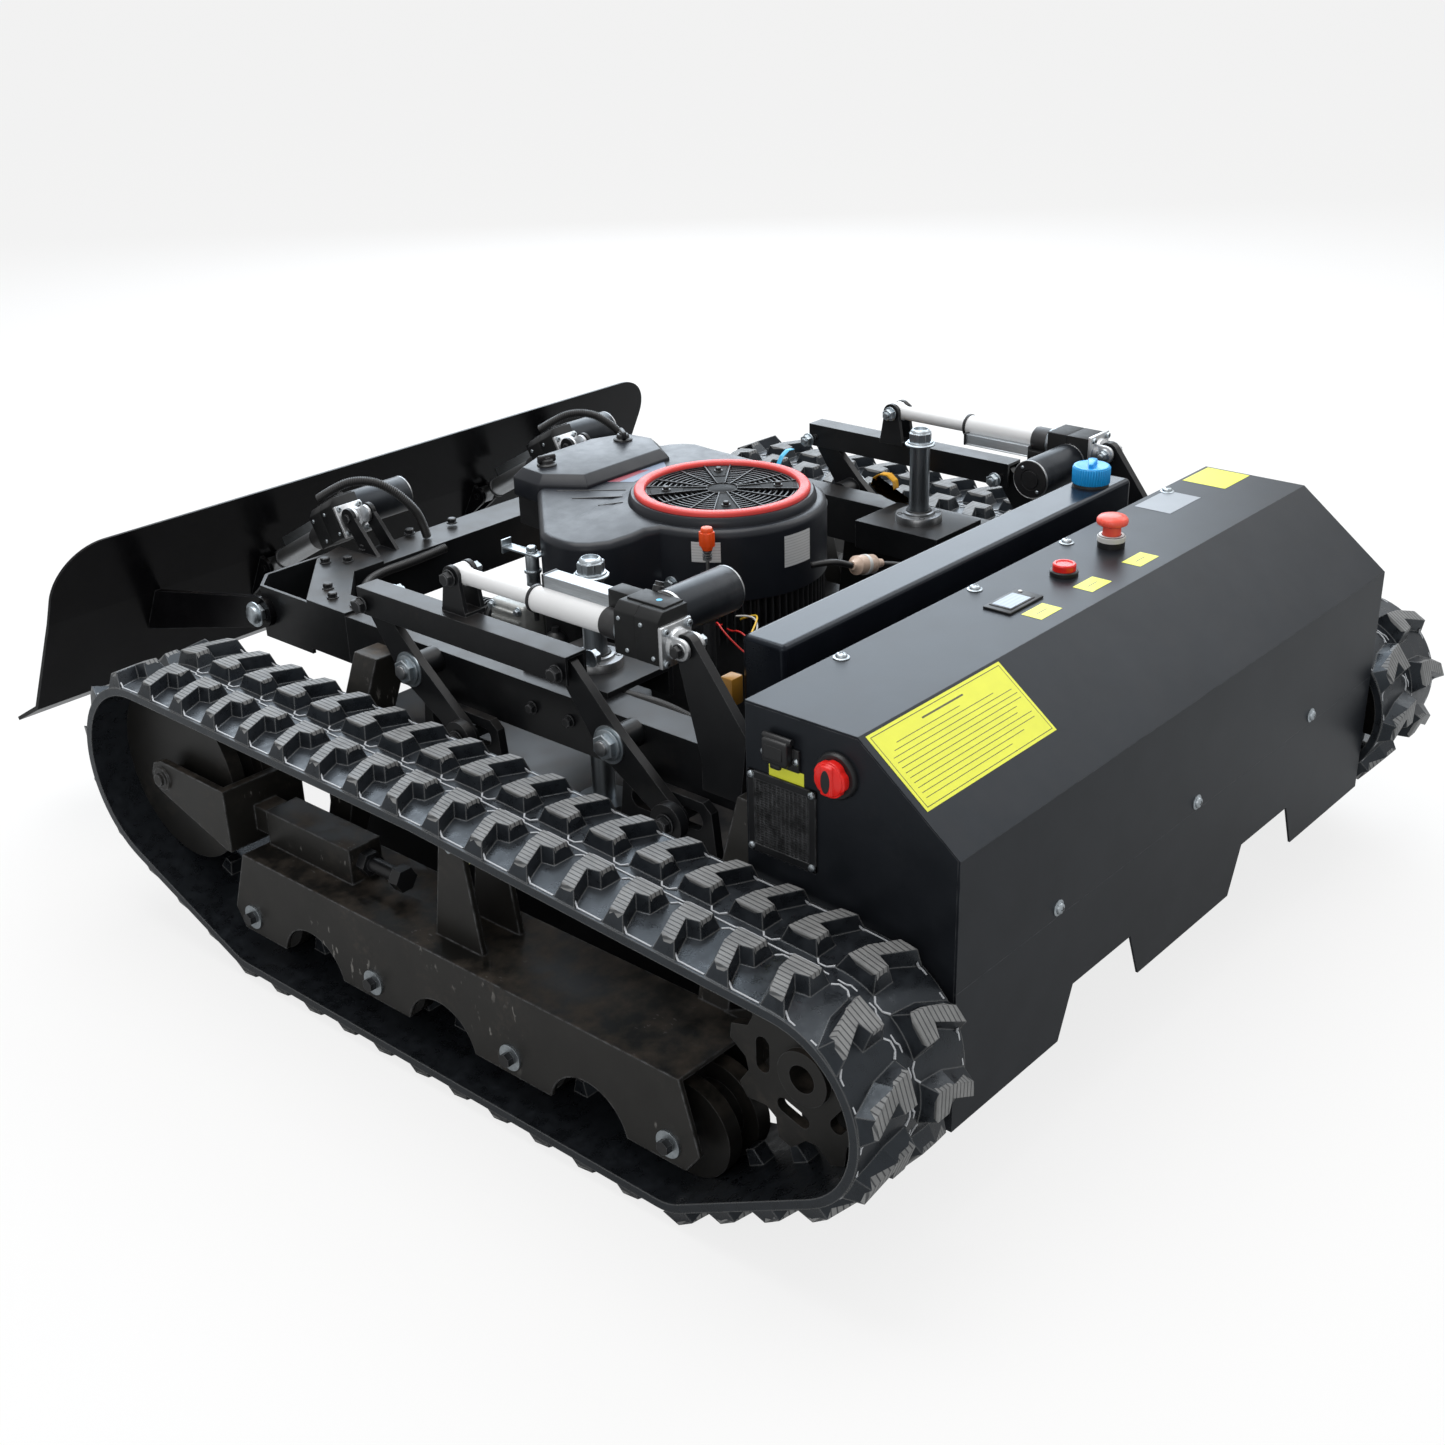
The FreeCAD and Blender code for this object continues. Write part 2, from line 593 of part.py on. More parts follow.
def pocket_strip():
    inside = "arm_plate * 0.4"
    return prism("PocketStrip", "XY", (
        ("-beam_out", "corner_turn"),
        ("-beam_out", "arm_tip - arm_chamfer"),
        ("arm_chamfer - beam_out", "arm_tip"),
        ("-corner_inner - seat_sink", "arm_tip"),
        ("-corner_inner - seat_sink", "arm_tip - arm_plate"),
        (f"arm_chamfer - beam_out + {inside}", "arm_tip - arm_plate"),
        ("arm_plate - beam_out", f"arm_tip - arm_chamfer - {inside}"),
        ("arm_plate - beam_out", "corner_turn"),
    ), ("arm_low", "beam_top"))


def ear_pair(name, centre_x, outline, pin, radius, gap):
    """Two ear plates with rounded ends round one pin, gap apart."""
    plates = []
    for side in (-1, 1):
        middle = f"{centre_x} + {side} * ({gap} + ear_thick) / 2"
        span = (f"{middle} - ear_thick / 2", f"{middle} + ear_thick / 2")
        plates.append(prism(f"{name}_{side + 1}", "YZ", outline, span))
        plates.append(bar(f"{name}_{side + 1}_end", "X", radius, span, pin))
    return plates


def front_crossmember():
    tube = block("CrossTube", ("-corner_inner - seat_sink", "corner_inner + seat_sink"),
                 ("cross_front - cross_deep", "cross_front"), ("beam_top - beam_tall", "beam_top"))
    bore = block("CrossBore", ("-corner_inner - overrun", "corner_inner + overrun"),
                 ("cross_front - cross_deep + beam_wall", "cross_front - beam_wall"),
                 ("beam_top - beam_tall + beam_wall", "beam_top - beam_wall"))
    shell = cut("CrossShell", tube, bore)
    left_box = corner_box()
    left_pocket = pocket_strip()
    pivot_hole = bar("PocketHole", "X", "pivot_bolt + running_gap",
                     ("-beam_out - overrun", "beam_out + overrun"),
                     ("dozer_pivot_y", "dozer_pivot_z"))
    pin = ("blade_act_y", "blade_act_z")
    outline = (
        ("cross_front - cross_deep * 0.6", "beam_top - seat_sink"),
        ("cross_front - ear_thick", "beam_top - seat_sink"),
        ("blade_act_y + ear_radius", "blade_act_z"),
        ("blade_act_y - ear_radius", "blade_act_z + ear_radius * 0.2"),
    )
    ears = []
    for side in (-1, 1):
        ears += ear_pair(f"CrossEar{side + 1}", f"({side}) * blade_act_x", outline, pin, "ear_radius",
                         "2 * clevis_half + 2 * face_gap")
    eye_hole = bar("EarHole", "X", "act_pin + running_gap",
                   ("-corner_inner", "corner_inner"), pin)
    whole = fuse("CrossWelded", shell, left_box, mirrored("CornerRight", left_box), left_pocket,
                 mirrored("PocketRight", left_pocket), *ears)
    return cut("FrontCrossmember", whole, pivot_hole, eye_hole)


node("front_crossmember", front_crossmember())


def rear_crossmember():
    tube = block("RearTube", ("beam_wide - beam_out", "beam_out - beam_wide"),
                 ("tank_rear", "tank_front"), ("rear_cross_low", "beam_top"))
    bore = block("RearBore", ("beam_wide - beam_out - overrun", "beam_out - beam_wide + overrun"),
                 ("tank_rear + beam_wall", "tank_front - beam_wall"),
                 ("rear_cross_low + beam_wall", "beam_top - beam_wall"))
    return cut("RearCrossmember", tube, bore)


node("rear_crossmember", rear_crossmember())


# Bearings of the guide posts: a shelf on the beam, a flange and a sleeve
def guide_bearing():
    shelf = block("Shelf", ("-beam_out + beam_wide / 2", "shelf_reach - post_x"),
                  ("post_y - shelf_half", "post_y + shelf_half"),
                  ("beam_top", "beam_top + shelf_thick"))
    skirt = block("ShelfSkirt", ("shelf_reach - shelf_thick - post_x", "shelf_reach - post_x"),
                  ("post_y - shelf_half", "post_y + shelf_half"),
                  ("beam_top - beam_tall / 2", "beam_top + seat_sink"))
    top = "beam_top + shelf_thick"
    centre = ("-post_x", "post_y")
    flange = bar("Flange", "Z", "flange_radius", (f"{top} - seat_sink", f"{top} + flange_thick"), centre)
    sleeve = bar("Sleeve", "Z", "post_radius + bearing_wall",
                 (f"{top} - bearing_long", top), centre)
    bore = bar("SleeveBore", "Z", "post_radius + running_gap",
               (f"{top} - bearing_long - overrun", f"{top} + flange_thick + overrun"), centre)
    return cut("GuideBearing", fuse("BearingWelded", shelf, skirt, flange, sleeve), bore)


left_bearing = guide_bearing()
node("guide_bearings", group("GuideBearings", left_bearing, mirrored("BearingRight", left_bearing)))


# Track frames: plates with arches, legs, tensioner tube, carrier bracket, drive motor
WHEEL_Z = "lug_tall + belt_thick + belt_gap + wheel_radius"


def wheel_places():
    step = "(wheel_rear - wheel_front) / (wheel_count - 1)"
    return [f"wheel_front + {k} * {step}" for k in range(int(size("wheel_count")))]


def frame_plate(name, low, high):
    """One side plate of a track frame, arched between the wheels."""
    plate = prism(name, "YZ", (
        ("wheel_rear - rail_round * 0.6", "rail_foot"),
        ("wheel_front + rail_round * 0.6", "rail_foot"),
        ("wheel_front + rail_round", "wheel_radius + rail_foot / 2"),
        ("rail_front", "rail_top"),
        ("rail_rear", "rail_top"),
        ("rail_rear - rail_slope", "wheel_radius + rail_foot / 2"),
    ), (low, high))
    arches = []
    places = wheel_places()
    for k in range(len(places) - 1):
        middle = f"(({places[k]}) + ({places[k + 1]})) / 2"
        arches.append(bar(f"{name}_arch{k}", "X", "arch_radius", (f"{low} - overrun", f"{high} + overrun"),
                          (middle, "arch_top - arch_radius")))
    return cut(name + "_arched", plate, *arches)


def leg(name, rear_y):
    """A slanted leg from the track frame up to the side beam."""
    return prism(name, "XZ", (
        ("rail_half - track_mid - rail_sheet", "leg_foot_z"),
        ("seat_sink + rail_half - track_mid", "leg_foot_z"),
        ("-beam_out", "beam_top - beam_tall + leg_reach / 4"),
        ("-beam_out", "leg_weld_z"),
        ("-beam_out - leg_reach", "leg_weld_z"),
        ("-leg_out", "leg_out_z"),
        ("rail_half - track_mid - rail_sheet", "rail_top - rail_sheet"),
    ), (rear_y, f"{rear_y} + leg_long"))


def track_frame():
    outer = ("-track_mid - rail_half", "rail_sheet - track_mid - rail_half")
    inner = ("rail_half - rail_sheet - track_mid", "rail_half - track_mid")
    middle = "-track_mid"
    pieces = [
        frame_plate("FrameOuter", *outer),
        frame_plate("FrameInner", *inner),
        block("FrameTop", ("-track_mid - rail_half", "rail_half - track_mid"),
              ("rail_rear", "rail_front"), ("rail_top - rail_sheet", "rail_top")),
        leg("FrontLeg", "leg_front_y"),
        leg("RearLeg", "leg_rear_y"),
    ]
    tube_x = (f"{middle} - tube_half", f"{middle} + tube_half")
    tube = block("TensionTube", tube_x, ("tube_rear", "tube_front"),
                 ("rail_top - seat_sink", "rail_top + 2 * tube_half"))
    tube_bore = block("TensionBore", (f"{middle} - fork_stem - face_gap", f"{middle} + fork_stem + face_gap"),
                      ("tube_rear + rail_sheet", "tube_front + overrun"),
                      ("rail_top + tube_half - fork_stem - face_gap",
                       "rail_top + tube_half + fork_stem + face_gap"))
    pieces.append(cut("TensionTubeOpen", tube, tube_bore))
    for side in (-1, 1):
        near = f"{middle} + ({side}) * bracket_in"
        far = f"{middle} + ({side}) * (bracket_in + bracket_sheet)"
        span = (far, near) if side < 0 else (near, far)
        pieces.append(prism(f"CarrierPlate{side + 1}", "YZ", (
            ("carrier_y - bracket_half", "rail_top - seat_sink"),
            ("carrier_y + bracket_half", "rail_top - seat_sink"),
            ("carrier_y + bracket_tip", "carrier_z + bracket_tip"),
            ("carrier_y - bracket_tip", "carrier_z + bracket_tip"),
        ), span))
    drive_plate = prism("DrivePlate", "YZ", (
        ("rail_rear + leg_long", "rail_top - drive_radius"),
        ("rail_rear + leg_long", "rail_top"),
        ("sprocket_y", "sprocket_z + drive_radius"),
        ("sprocket_y - drive_radius * 0.9", "sprocket_z + drive_radius * 0.4"),
        ("sprocket_y - drive_radius * 0.9", "sprocket_z - drive_radius * 0.4"),
        ("sprocket_y", "sprocket_z - drive_radius"),
    ), inner)
    motor = bar("DriveMotor", "X", "drive_radius", ("rail_half - track_mid", "-drive_in"),
                ("sprocket_y", "sprocket_z"))
    shaft = bar("DriveShaft", "X", "drive_shaft",
                (f"{middle} - sprocket_thick / 2", "rail_half - track_mid"), ("sprocket_y", "sprocket_z"))
    pieces += [drive_plate, motor, shaft]
    tension_hole = bar("TensionHole", "Y", "tension_bolt + running_gap",
                       ("tube_rear - overrun", "tube_rear + rail_sheet + overrun"),
                       (middle, "rail_top + tube_half"))
    holes = [tension_hole]
    for k, place in enumerate(wheel_places()):
        holes.append(bar(f"FrameHole{k}", "X", "axle_radius + running_gap",
                         (f"{middle} - rail_half - overrun", f"{middle} + rail_half + overrun"),
                         (place, WHEEL_Z)))
    holes.append(bar("CarrierHole", "X", "axle_radius + running_gap",
                     (f"{middle} - rail_half", f"{middle} + rail_half"), ("carrier_y", "carrier_z")))
    return cut("TrackFrame", fuse("FrameWelded", *pieces), *holes)


left_frame = track_frame()
pair("track_frame", left_frame)


# Rubber tracks: a belt round five wheels, lugs in two staggered rows, guide horns
def belt_wheels():
    """Centre and belt radius of each wheel, in the order the belt passes them."""
    gap = size("belt_gap")
    wheel = size("wheel_radius") + gap
    low = size("lug_tall") + size("belt_thick") + wheel
    return (
        (size("wheel_rear"), low, wheel),
        (size("wheel_front"), low, wheel),
        (size("idler_y"), size("idler_z"), size("idler_radius") + gap),
        (size("carrier_y"), size("carrier_z"), size("carrier_radius") + gap),
        (size("sprocket_y"), size("sprocket_z"), size("sprocket_radius")),
    )


def belt_turns():
    """Each wheel with the angles where the belt meets and leaves it."""
    wheels = belt_wheels()
    leaving = []
    for k, (y, z, radius) in enumerate(wheels):
        next_y, next_z, next_radius = wheels[(k + 1) % len(wheels)]
        heading = math.atan2(next_z - z, next_y - y)
        reach = math.hypot(next_y - y, next_z - z)
        leaving.append(heading - math.acos((radius - next_radius) / reach))
    turns = []
    for k, wheel in enumerate(wheels):
        start = leaving[k - 1]
        end = leaving[k]
        while end < start:
            end += math.tau
        turns.append((wheel, start, end))
    return turns


def belt_point(wheel, angle, offset):
    y, z, radius = wheel
    return Vector(0, y + (radius + offset) * math.cos(angle), z + (radius + offset) * math.sin(angle))


def belt_face(offset):
    """The closed outline of the belt at one distance from its inner face."""
    edges = []
    turns = belt_turns()
    for k, (wheel, start, end) in enumerate(turns):
        first = belt_point(wheel, start, offset)
        last = belt_point(wheel, end, offset)
        edges.append(Part.Arc(first, belt_point(wheel, (start + end) / 2, offset), last).toShape())
        following, next_start, next_end = turns[(k + 1) % len(turns)]
        edges.append(Part.LineSegment(last, belt_point(following, next_start, offset)).toShape())
    return Part.Face(Part.Wire(edges))


def belt_stations(spacing_shift):
    """Points, outward angles and pitch of the links along the middle of the belt."""
    middle = size("belt_thick") / 2
    runs = []
    turns = belt_turns()
    for k, (wheel, start, end) in enumerate(turns):
        runs.append((wheel, start, end, (wheel[2] + middle) * (end - start)))
        following, next_start, next_end = turns[(k + 1) % len(turns)]
        gap = belt_point(following, next_start, middle) - belt_point(wheel, end, middle)
        runs.append((wheel, end, end, gap.Length, gap))
    total = sum(run[3] for run in runs)
    count = round(total / size("link_pitch"))
    pitch = total / count
    stations = []
    for link in range(count):
        left = (link + spacing_shift) * pitch
        for run in runs:
            if left <= run[3]:
                break
            left -= run[3]
        share = left / run[3]
        angle = run[1] + (run[2] - run[1]) * share
        point = belt_point(run[0], angle, 0)
        if len(run) > 4:
            point += run[4] * share
        stations.append((point, angle, pitch))
    return stations


# Outline of a lug: shares of the half width across, and of the pitch along the belt
LUG_TOP_SHARES = ((0.20, 0.25), (0.50, 0.19), (0.88, -0.04), (0.91, -0.32), (0.47, -0.04),
                  (0.42, -0.26), (0.20, -0.26))
LUG_FOOT_SHARES = ((0.13, 0.34), (0.54, 0.28), (0.985, 0.05), (0.985, -0.42), (0.54, -0.14),
                   (0.49, -0.36), (0.13, -0.36))


def on_belt(station, side, across, along, out):
    """A point of the track from shares across and along the belt and a height over its inner face."""
    point, angle, pitch = station
    outward = Vector(0, math.cos(angle), math.sin(angle))
    forward = Vector(0, -outward.z, outward.y) * -1
    half = size("track_wide") / 2
    return point + outward * out + forward * (along * pitch) + Vector(side * across * half, 0, 0)


def lug(station, side):
    low = size("belt_thick") - size("seat_sink") * 1.5
    high = size("belt_thick") + size("lug_tall")
    rings = []
    for shares, out in ((LUG_FOOT_SHARES, low), (LUG_TOP_SHARES, high)):
        corners = [on_belt(station, side, across, along, out) for across, along in shares]
        rings.append(Part.makePolygon(corners + corners[:1]))
    return Part.makeLoft(rings, True, True)


def horn(station):
    """A guide horn in the middle of the belt's inner face."""
    across = size("horn_wide") / size("track_wide")
    foot = size("horn_long") / size("link_pitch") / 2
    rings = []
    for reach, out in ((foot, size("seat_sink")), (foot / 2, -size("horn_tall"))):
        corners = [on_belt(station, 1, side, along, out)
                   for side, along in ((-across, -reach), (across, -reach), (across, reach), (-across, reach))]
        rings.append(Part.makePolygon(corners + corners[:1]))
    return Part.makeLoft(rings, True, True)


def rubber_track():
    width = Vector(size("track_wide"), 0, 0)
    ring = belt_face(size("belt_thick")).cut(belt_face(0))
    ring.translate(width * -0.5)
    belt = ring.extrude(width)
    pieces = [lug(station, -1) for station in belt_stations(0)]
    pieces += [lug(station, 1) for station in belt_stations(0.5)]
    pieces += [horn(station) for station in belt_stations(0.25)]
    whole = belt.fuse(pieces)
    whole.translate(Vector(-size("track_mid"), 0, 0))
    return whole


pair("track", solid("Track", rubber_track()))


# Wheels of the tracks, each with a groove for the guide horns
def grooved_wheel(name, radius, centre, half):
    span = (f"-track_mid - ({half})", f"{half} - track_mid")
    past = (f"{span[0]} - overrun", f"{span[1]} + overrun")
    groove = ("-track_mid - groove_half", "groove_half - track_mid")
    outer = bar(name + "Rim", "X", radius, span, centre)
    ring = bar(name + "Ring", "X", f"{radius} + overrun", groove, centre)
    core = bar(name + "Core", "X", f"{radius} - horn_tall - horn_clear", past, centre)
    bore = bar(name + "Bore", "X", "axle_radius + running_gap", past, centre)
    return cut(name, outer, cut(name + "Groove", ring, core), bore)


for index, place in enumerate(wheel_places(), start=1):
    pair(f"road_wheel_{index}", grooved_wheel(f"RoadWheel{index}", "wheel_radius", (place, WHEEL_Z),
                                              "wheel_half"))

pair("idler", grooved_wheel("Idler", "idler_radius", ("idler_y", "idler_z"), "wheel_half"))
pair("carrier_roller", grooved_wheel("CarrierRoller", "carrier_radius", ("carrier_y", "carrier_z"),
                                     "bracket_in - face_gap"))


# Sprockets: two toothed plates with oval windows on one hub, astride the guide horns
TOOTH_SHARES = (0.04, 0.30, 0.50, 0.78)


def tooth_outline():
    """Corners of the toothed plate in the Y and Z directions."""
    tip = size("sprocket_radius") - size("belt_gap")
    root = tip - size("tooth_deep")
    count = int(size("tooth_count"))
    corners = []
    for k in range(count):
        for share, radius in zip(TOOTH_SHARES, (tip, tip, root, root)):
            angle = math.tau * (k + share) / count
            corners.append(Vector(0, radius * math.cos(angle), radius * math.sin(angle)))
    return corners + corners[:1]


def sprocket():
    thick = size("sprocket_thick")
    gap = size("groove_half")
    across = Vector(1, 0, 0)
    centre = Vector(-size("track_mid"), size("sprocket_y"), size("sprocket_z"))
    count = int(size("window_count"))
    radius = size("window_radius")
    windows = []
    for k in range(count):
        window = Part.makeCylinder(radius, thick, Vector(0, 0, size("window_long") / 2), across)
        other = Part.makeCylinder(radius, thick, Vector(0, 0, -size("window_long") / 2), across)
        bridge = Part.makeBox(thick, 2 * radius, size("window_long"),
                              Vector(0, -radius, -size("window_long") / 2))
        oval = window.fuse([other, bridge]).removeSplitter()
        turn = Placement(Vector(), Rotation(across, 360 * k / count))
        oval.Placement = turn * Placement(Vector(0, size("window_at"), 0), Rotation())
        windows.append(oval)
    plate = Part.Face(Part.makePolygon(tooth_outline())).extrude(across * thick).cut(windows)
    far = plate.copy()
    plate.translate(centre + across * gap)
    far.translate(centre - across * (gap + thick))
    half = gap + thick + size("hub_out")
    hub = Part.makeCylinder(size("sprocket_hub"), 2 * half, centre - across * half, across)
    past = half + size("overrun")
    bore = Part.makeCylinder(size("drive_shaft") + size("running_gap"), 2 * past, centre - across * past,
                             across)
    return hub.fuse([plate, far]).cut(bore).removeSplitter()


pair("sprocket", solid("Sprocket", sprocket()))


# Idler forks, which slide in the tensioner tubes
def idler_fork():
    middle = "-track_mid"
    pieces = []
    for side in (-1, 1):
        outer = f"{middle} + ({side}) * fork_half"
        inner = f"{middle} + ({side}) * (fork_half - fork_sheet)"
        span = (outer, inner) if side < 0 else (inner, outer)
        pieces.append(prism(f"ForkPlate{side + 1}", "YZ", (
            ("fork_rear", "fork_low"),
            ("idler_y", "idler_z - fork_radius"),
            ("idler_y + fork_radius * 0.7", "idler_z - fork_radius * 0.7"),
            ("idler_y + fork_radius", "idler_z"),
            ("idler_y + fork_radius * 0.7", "idler_z + fork_radius * 0.7"),
            ("idler_y", "idler_z + fork_radius"),
            ("fork_rear", "fork_high"),
        ), span))
    pieces.append(block("ForkBridge", (f"{middle} - fork_half", f"{middle} + fork_half"),
                        ("fork_rear - fork_bridge + seat_sink", "fork_rear + seat_sink"),
                        ("fork_low", "fork_high")))
    pieces.append(block("ForkStem", (f"{middle} - fork_stem", f"{middle} + fork_stem"),
                        ("fork_rear - fork_bridge - fork_stem_long", "fork_rear"),
                        ("rail_top + tube_half - fork_stem", "rail_top + tube_half + fork_stem")))
    pieces.append(bar("ForkAxle", "X", "axle_radius",
                      (f"{middle} - fork_half - head_thick", f"{middle} + fork_half + head_thick"),
                      ("idler_y", "idler_z")))
    pieces.append(bar("ForkAxleHead", "X", "wheel_washer",
                      (f"{middle} - fork_half - washer_sheet", f"{middle} - fork_half"),
                      ("idler_y", "idler_z")))
    return fuse("IdlerFork", *pieces)


pair("idler_fork", idler_fork())


# Dozer blade with its arms and actuator lugs
def dozer_blade():
    thick = "dozer_thick"
    profile = prism("BladePlate", "YZ", (
        ("dozer_top_y", "dozer_top_z"),
        ("dozer_mid_y", "dozer_mid_z"),
        ("dozer_low_y", "dozer_low_z"),
        ("dozer_lip_y", "dozer_lip_z"),
        (f"dozer_lip_y + {thick} / 2", f"dozer_lip_z + {thick}"),
        (f"dozer_low_y + {thick}", f"dozer_low_z + {thick}"),
        (f"dozer_mid_y + {thick}", f"dozer_mid_z + {thick} / 2"),
        (f"dozer_top_y + {thick}", f"dozer_top_z"),
    ), ("-dozer_half", "dozer_half"))
    corners = []
    for side in (-1, 1):
        turn_x = f"({side}) * (dozer_half - dozer_corner)"
        edge_x = f"({side}) * (dozer_half + overrun)"
        span_x = (edge_x, turn_x) if side < 0 else (turn_x, edge_x)
        span_y = ("dozer_top_y - dozer_corner", "dozer_low_y")
        square = block(f"CornerSquare{side + 1}", span_x, span_y,
                       ("dozer_top_z - dozer_corner", "dozer_top_z + overrun"))
        round_off = bar(f"CornerRound{side + 1}", "Y", "dozer_corner", span_y,
                        (turn_x, "dozer_top_z - dozer_corner"))
        corners.append(cut(f"CornerOff{side + 1}", square, round_off))
    plate = cut("BladeRounded", profile, *corners)
    pieces = [plate]
    for side in (-1, 1):
        near = f"({side}) * (beam_out + face_gap)"
        far = f"({side}) * (beam_out + face_gap + dozer_arm_thick)"
        span = (far, near) if side < 0 else (near, far)
        arm = prism(f"BladeArm{side + 1}", "YZ", (
            ("dozer_pivot_y", "dozer_pivot_z - dozer_arm_tall / 2"),
            ("dozer_mid_y * 0.55 + dozer_low_y * 0.45", "dozer_mid_z * 0.55 + dozer_low_z * 0.45"),
            ("dozer_mid_y", "dozer_mid_z"),
            ("dozer_pivot_y", "dozer_pivot_z + dozer_arm_tall / 2"),
        ), span)
        end = bar(f"BladeArmEnd{side + 1}", "X", "dozer_arm_tall / 2", span,
                  ("dozer_pivot_y", "dozer_pivot_z"))
        hole = bar(f"BladeArmHole{side + 1}", "X", "pivot_bolt + running_gap",
                   (f"{span[0]} - overrun", f"{span[1]} + overrun"), ("dozer_pivot_y", "dozer_pivot_z"))
        pieces.append(cut(f"BladeArmDone{side + 1}", fuse(f"BladeArmWhole{side + 1}", arm, end), hole))
    eye_y = "blade_act_y + blade_act_long * cos(blade_act_fall)"
    eye_z = "blade_act_z - blade_act_long * sin(blade_act_fall)"
    for side in (-1, 1):
        centre = f"({side}) * blade_act_x"
        outline = (
            (f"{eye_y} - ear_radius * 0.5", f"{eye_z} - ear_radius * 0.9"),
            ("dozer_mid_y * 0.5 + dozer_low_y * 0.5", "dozer_mid_z * 0.5 + dozer_low_z * 0.5"),
            ("dozer_mid_y + dozer_thick * 0.5", "dozer_mid_z"),
            (f"{eye_y} + ear_radius * 0.2", f"{eye_z} + ear_radius"),
        )
        pieces += ear_pair(f"BladeEar{side + 1}", centre, outline, (eye_y, eye_z), "ear_radius",
                           "act_eye_wide + 2 * face_gap")
        reach = "(act_eye_wide / 2 + face_gap + ear_thick + small_head)"
        pieces.append(bar(f"BladePin{side + 1}", "X", "act_pin",
                          (f"{centre} - {reach}", f"{centre} + {reach}"), (eye_y, eye_z)))
    return fuse("DozerBlade", *pieces)


node("dozer_blade", dozer_blade())


# Linear actuators, laid along +Y from the rear pin
def actuator(prefix, long, tube, pin_half):
    """The body and the rod of one actuator, in its own frame."""
    start = "act_block_start"
    block_end = "act_block_start + act_block_long"
    collar_end = f"{block_end} + act_collar_long"
    tube_end = f"{collar_end} + {tube}"
    half = "act_block_wide / 2"
    gear = prism(prefix + "Gear", "XZ", (
        (f"-{half}", "-act_block_low"),
        (half, "-act_block_low"),
        (half, "act_block_high"),
        ("act_block_bevel - act_block_wide / 2", "act_block_high"),
        (f"-{half}", "act_block_high - act_block_bevel"),
    ), (start, block_end))
    plate = block(prefix + "Plate", ("-act_plate / 2", "act_plate / 2"),
                  (f"{start} - act_plate_thick", f"{start} + seat_sink"),
                  ("-act_plate / 2", "act_plate / 2"))
    cheeks = []
    for side in (-1, 1):
        near = f"({side}) * (clevis_half - clevis_cheek)"
        far = f"({side}) * clevis_half"
        span = (far, near) if side < 0 else (near, far)
        cheeks.append(block(f"{prefix}Cheek{side + 1}", span, ("0", start),
                            ("-clevis_radius", "clevis_radius")))
        cheeks.append(bar(f"{prefix}CheekEnd{side + 1}", "X", "clevis_radius", span, ("0", "0")))
    pin = bar(prefix + "Pin", "X", "act_pin", (f"-{pin_half}", pin_half), ("0", "0"))
    collar = bar(prefix + "Collar", "Y", "act_collar", (block_end, collar_end), ("0", "0"))
    case = bar(prefix + "Tube", "Y", "act_tube", (collar_end, tube_end), ("0", "0"))
    rail = block(prefix + "Rail", ("0", "act_tube * 1.7"), (collar_end, f"{tube_end} - act_tube"),
                 ("-act_tube * 0.2", "act_tube"))
    motor = bar(prefix + "Motor", "X", "act_motor",
                ("act_block_wide / 2 - seat_sink", "act_block_wide / 2 + act_motor_long"),
                ("act_motor_at", "act_motor_lift"))
    bore = bar(prefix + "Bore", "Y", "act_rod + running_gap", (f"{tube_end} - act_bore", f"{tube_end} + overrun"),
               ("0", "0"))
    body = cut(prefix + "Body", fuse(prefix + "Case", gear, plate, *cheeks, pin, collar, case, rail, motor), bore)
    shaft = bar(prefix + "Shaft", "Y", "act_rod", (f"{tube_end} - act_hidden", long), ("0", "0"))
    eye = bar(prefix + "Eye", "X", "act_eye", ("-act_eye_wide / 2", "act_eye_wide / 2"), (long, "0"))
    eye_bore = bar(prefix + "EyeBore", "X", "act_pin + act_play", ("-act_eye_wide", "act_eye_wide"), (long, "0"))
    rod = cut(prefix + "Rod", fuse(prefix + "RodWhole", shaft, eye), eye_bore)
    return body, rod


def placed(item, x, y, z, turn=Rotation()):
    """Put a finished piece in the machine, turned from its own frame."""
    item.Placement = Placement(Vector(), turn)
    for axis, place in (("x", x), ("y", y), ("z", z)):
        item.setExpression(f"Placement.Base.{axis}", sized(place))
    return item


# The right lift actuator is turned half round its rod, so both motors point inwards
for side, name in ((-1, "left"), (1, "right")):
    lift_body, lift_rod = actuator(f"Lift{name}", "lift_act_long", "lift_act_tube",
                                   "clevis_half + small_head")
    roll = Rotation(Vector(0, 1, 0), 90 + side * 90)
    for part, label in ((lift_body, "height_actuator_body"), (lift_rod, "height_actuator_rod")):
        placed(part, f"({side}) * lift_act_x", "lift_act_rear", "lift_act_z", roll)
        node(f"{label}_{name}", part)

for side, name in ((-1, "left"), (1, "right")):
    blade_body, blade_rod = actuator(f"Blade{name}", "blade_act_long", "blade_act_tube",
                                     "clevis_half + face_gap + ear_thick + small_head")
    for part, label in ((blade_body, "blade_actuator_body"), (blade_rod, "blade_actuator_rod")):
        fall = Rotation(Vector(1, 0, 0), -size("blade_act_fall"))
        placed(part, f"({side}) * blade_act_x", "blade_act_y", "blade_act_z", fall)
        node(f"{label}_{name}", part)


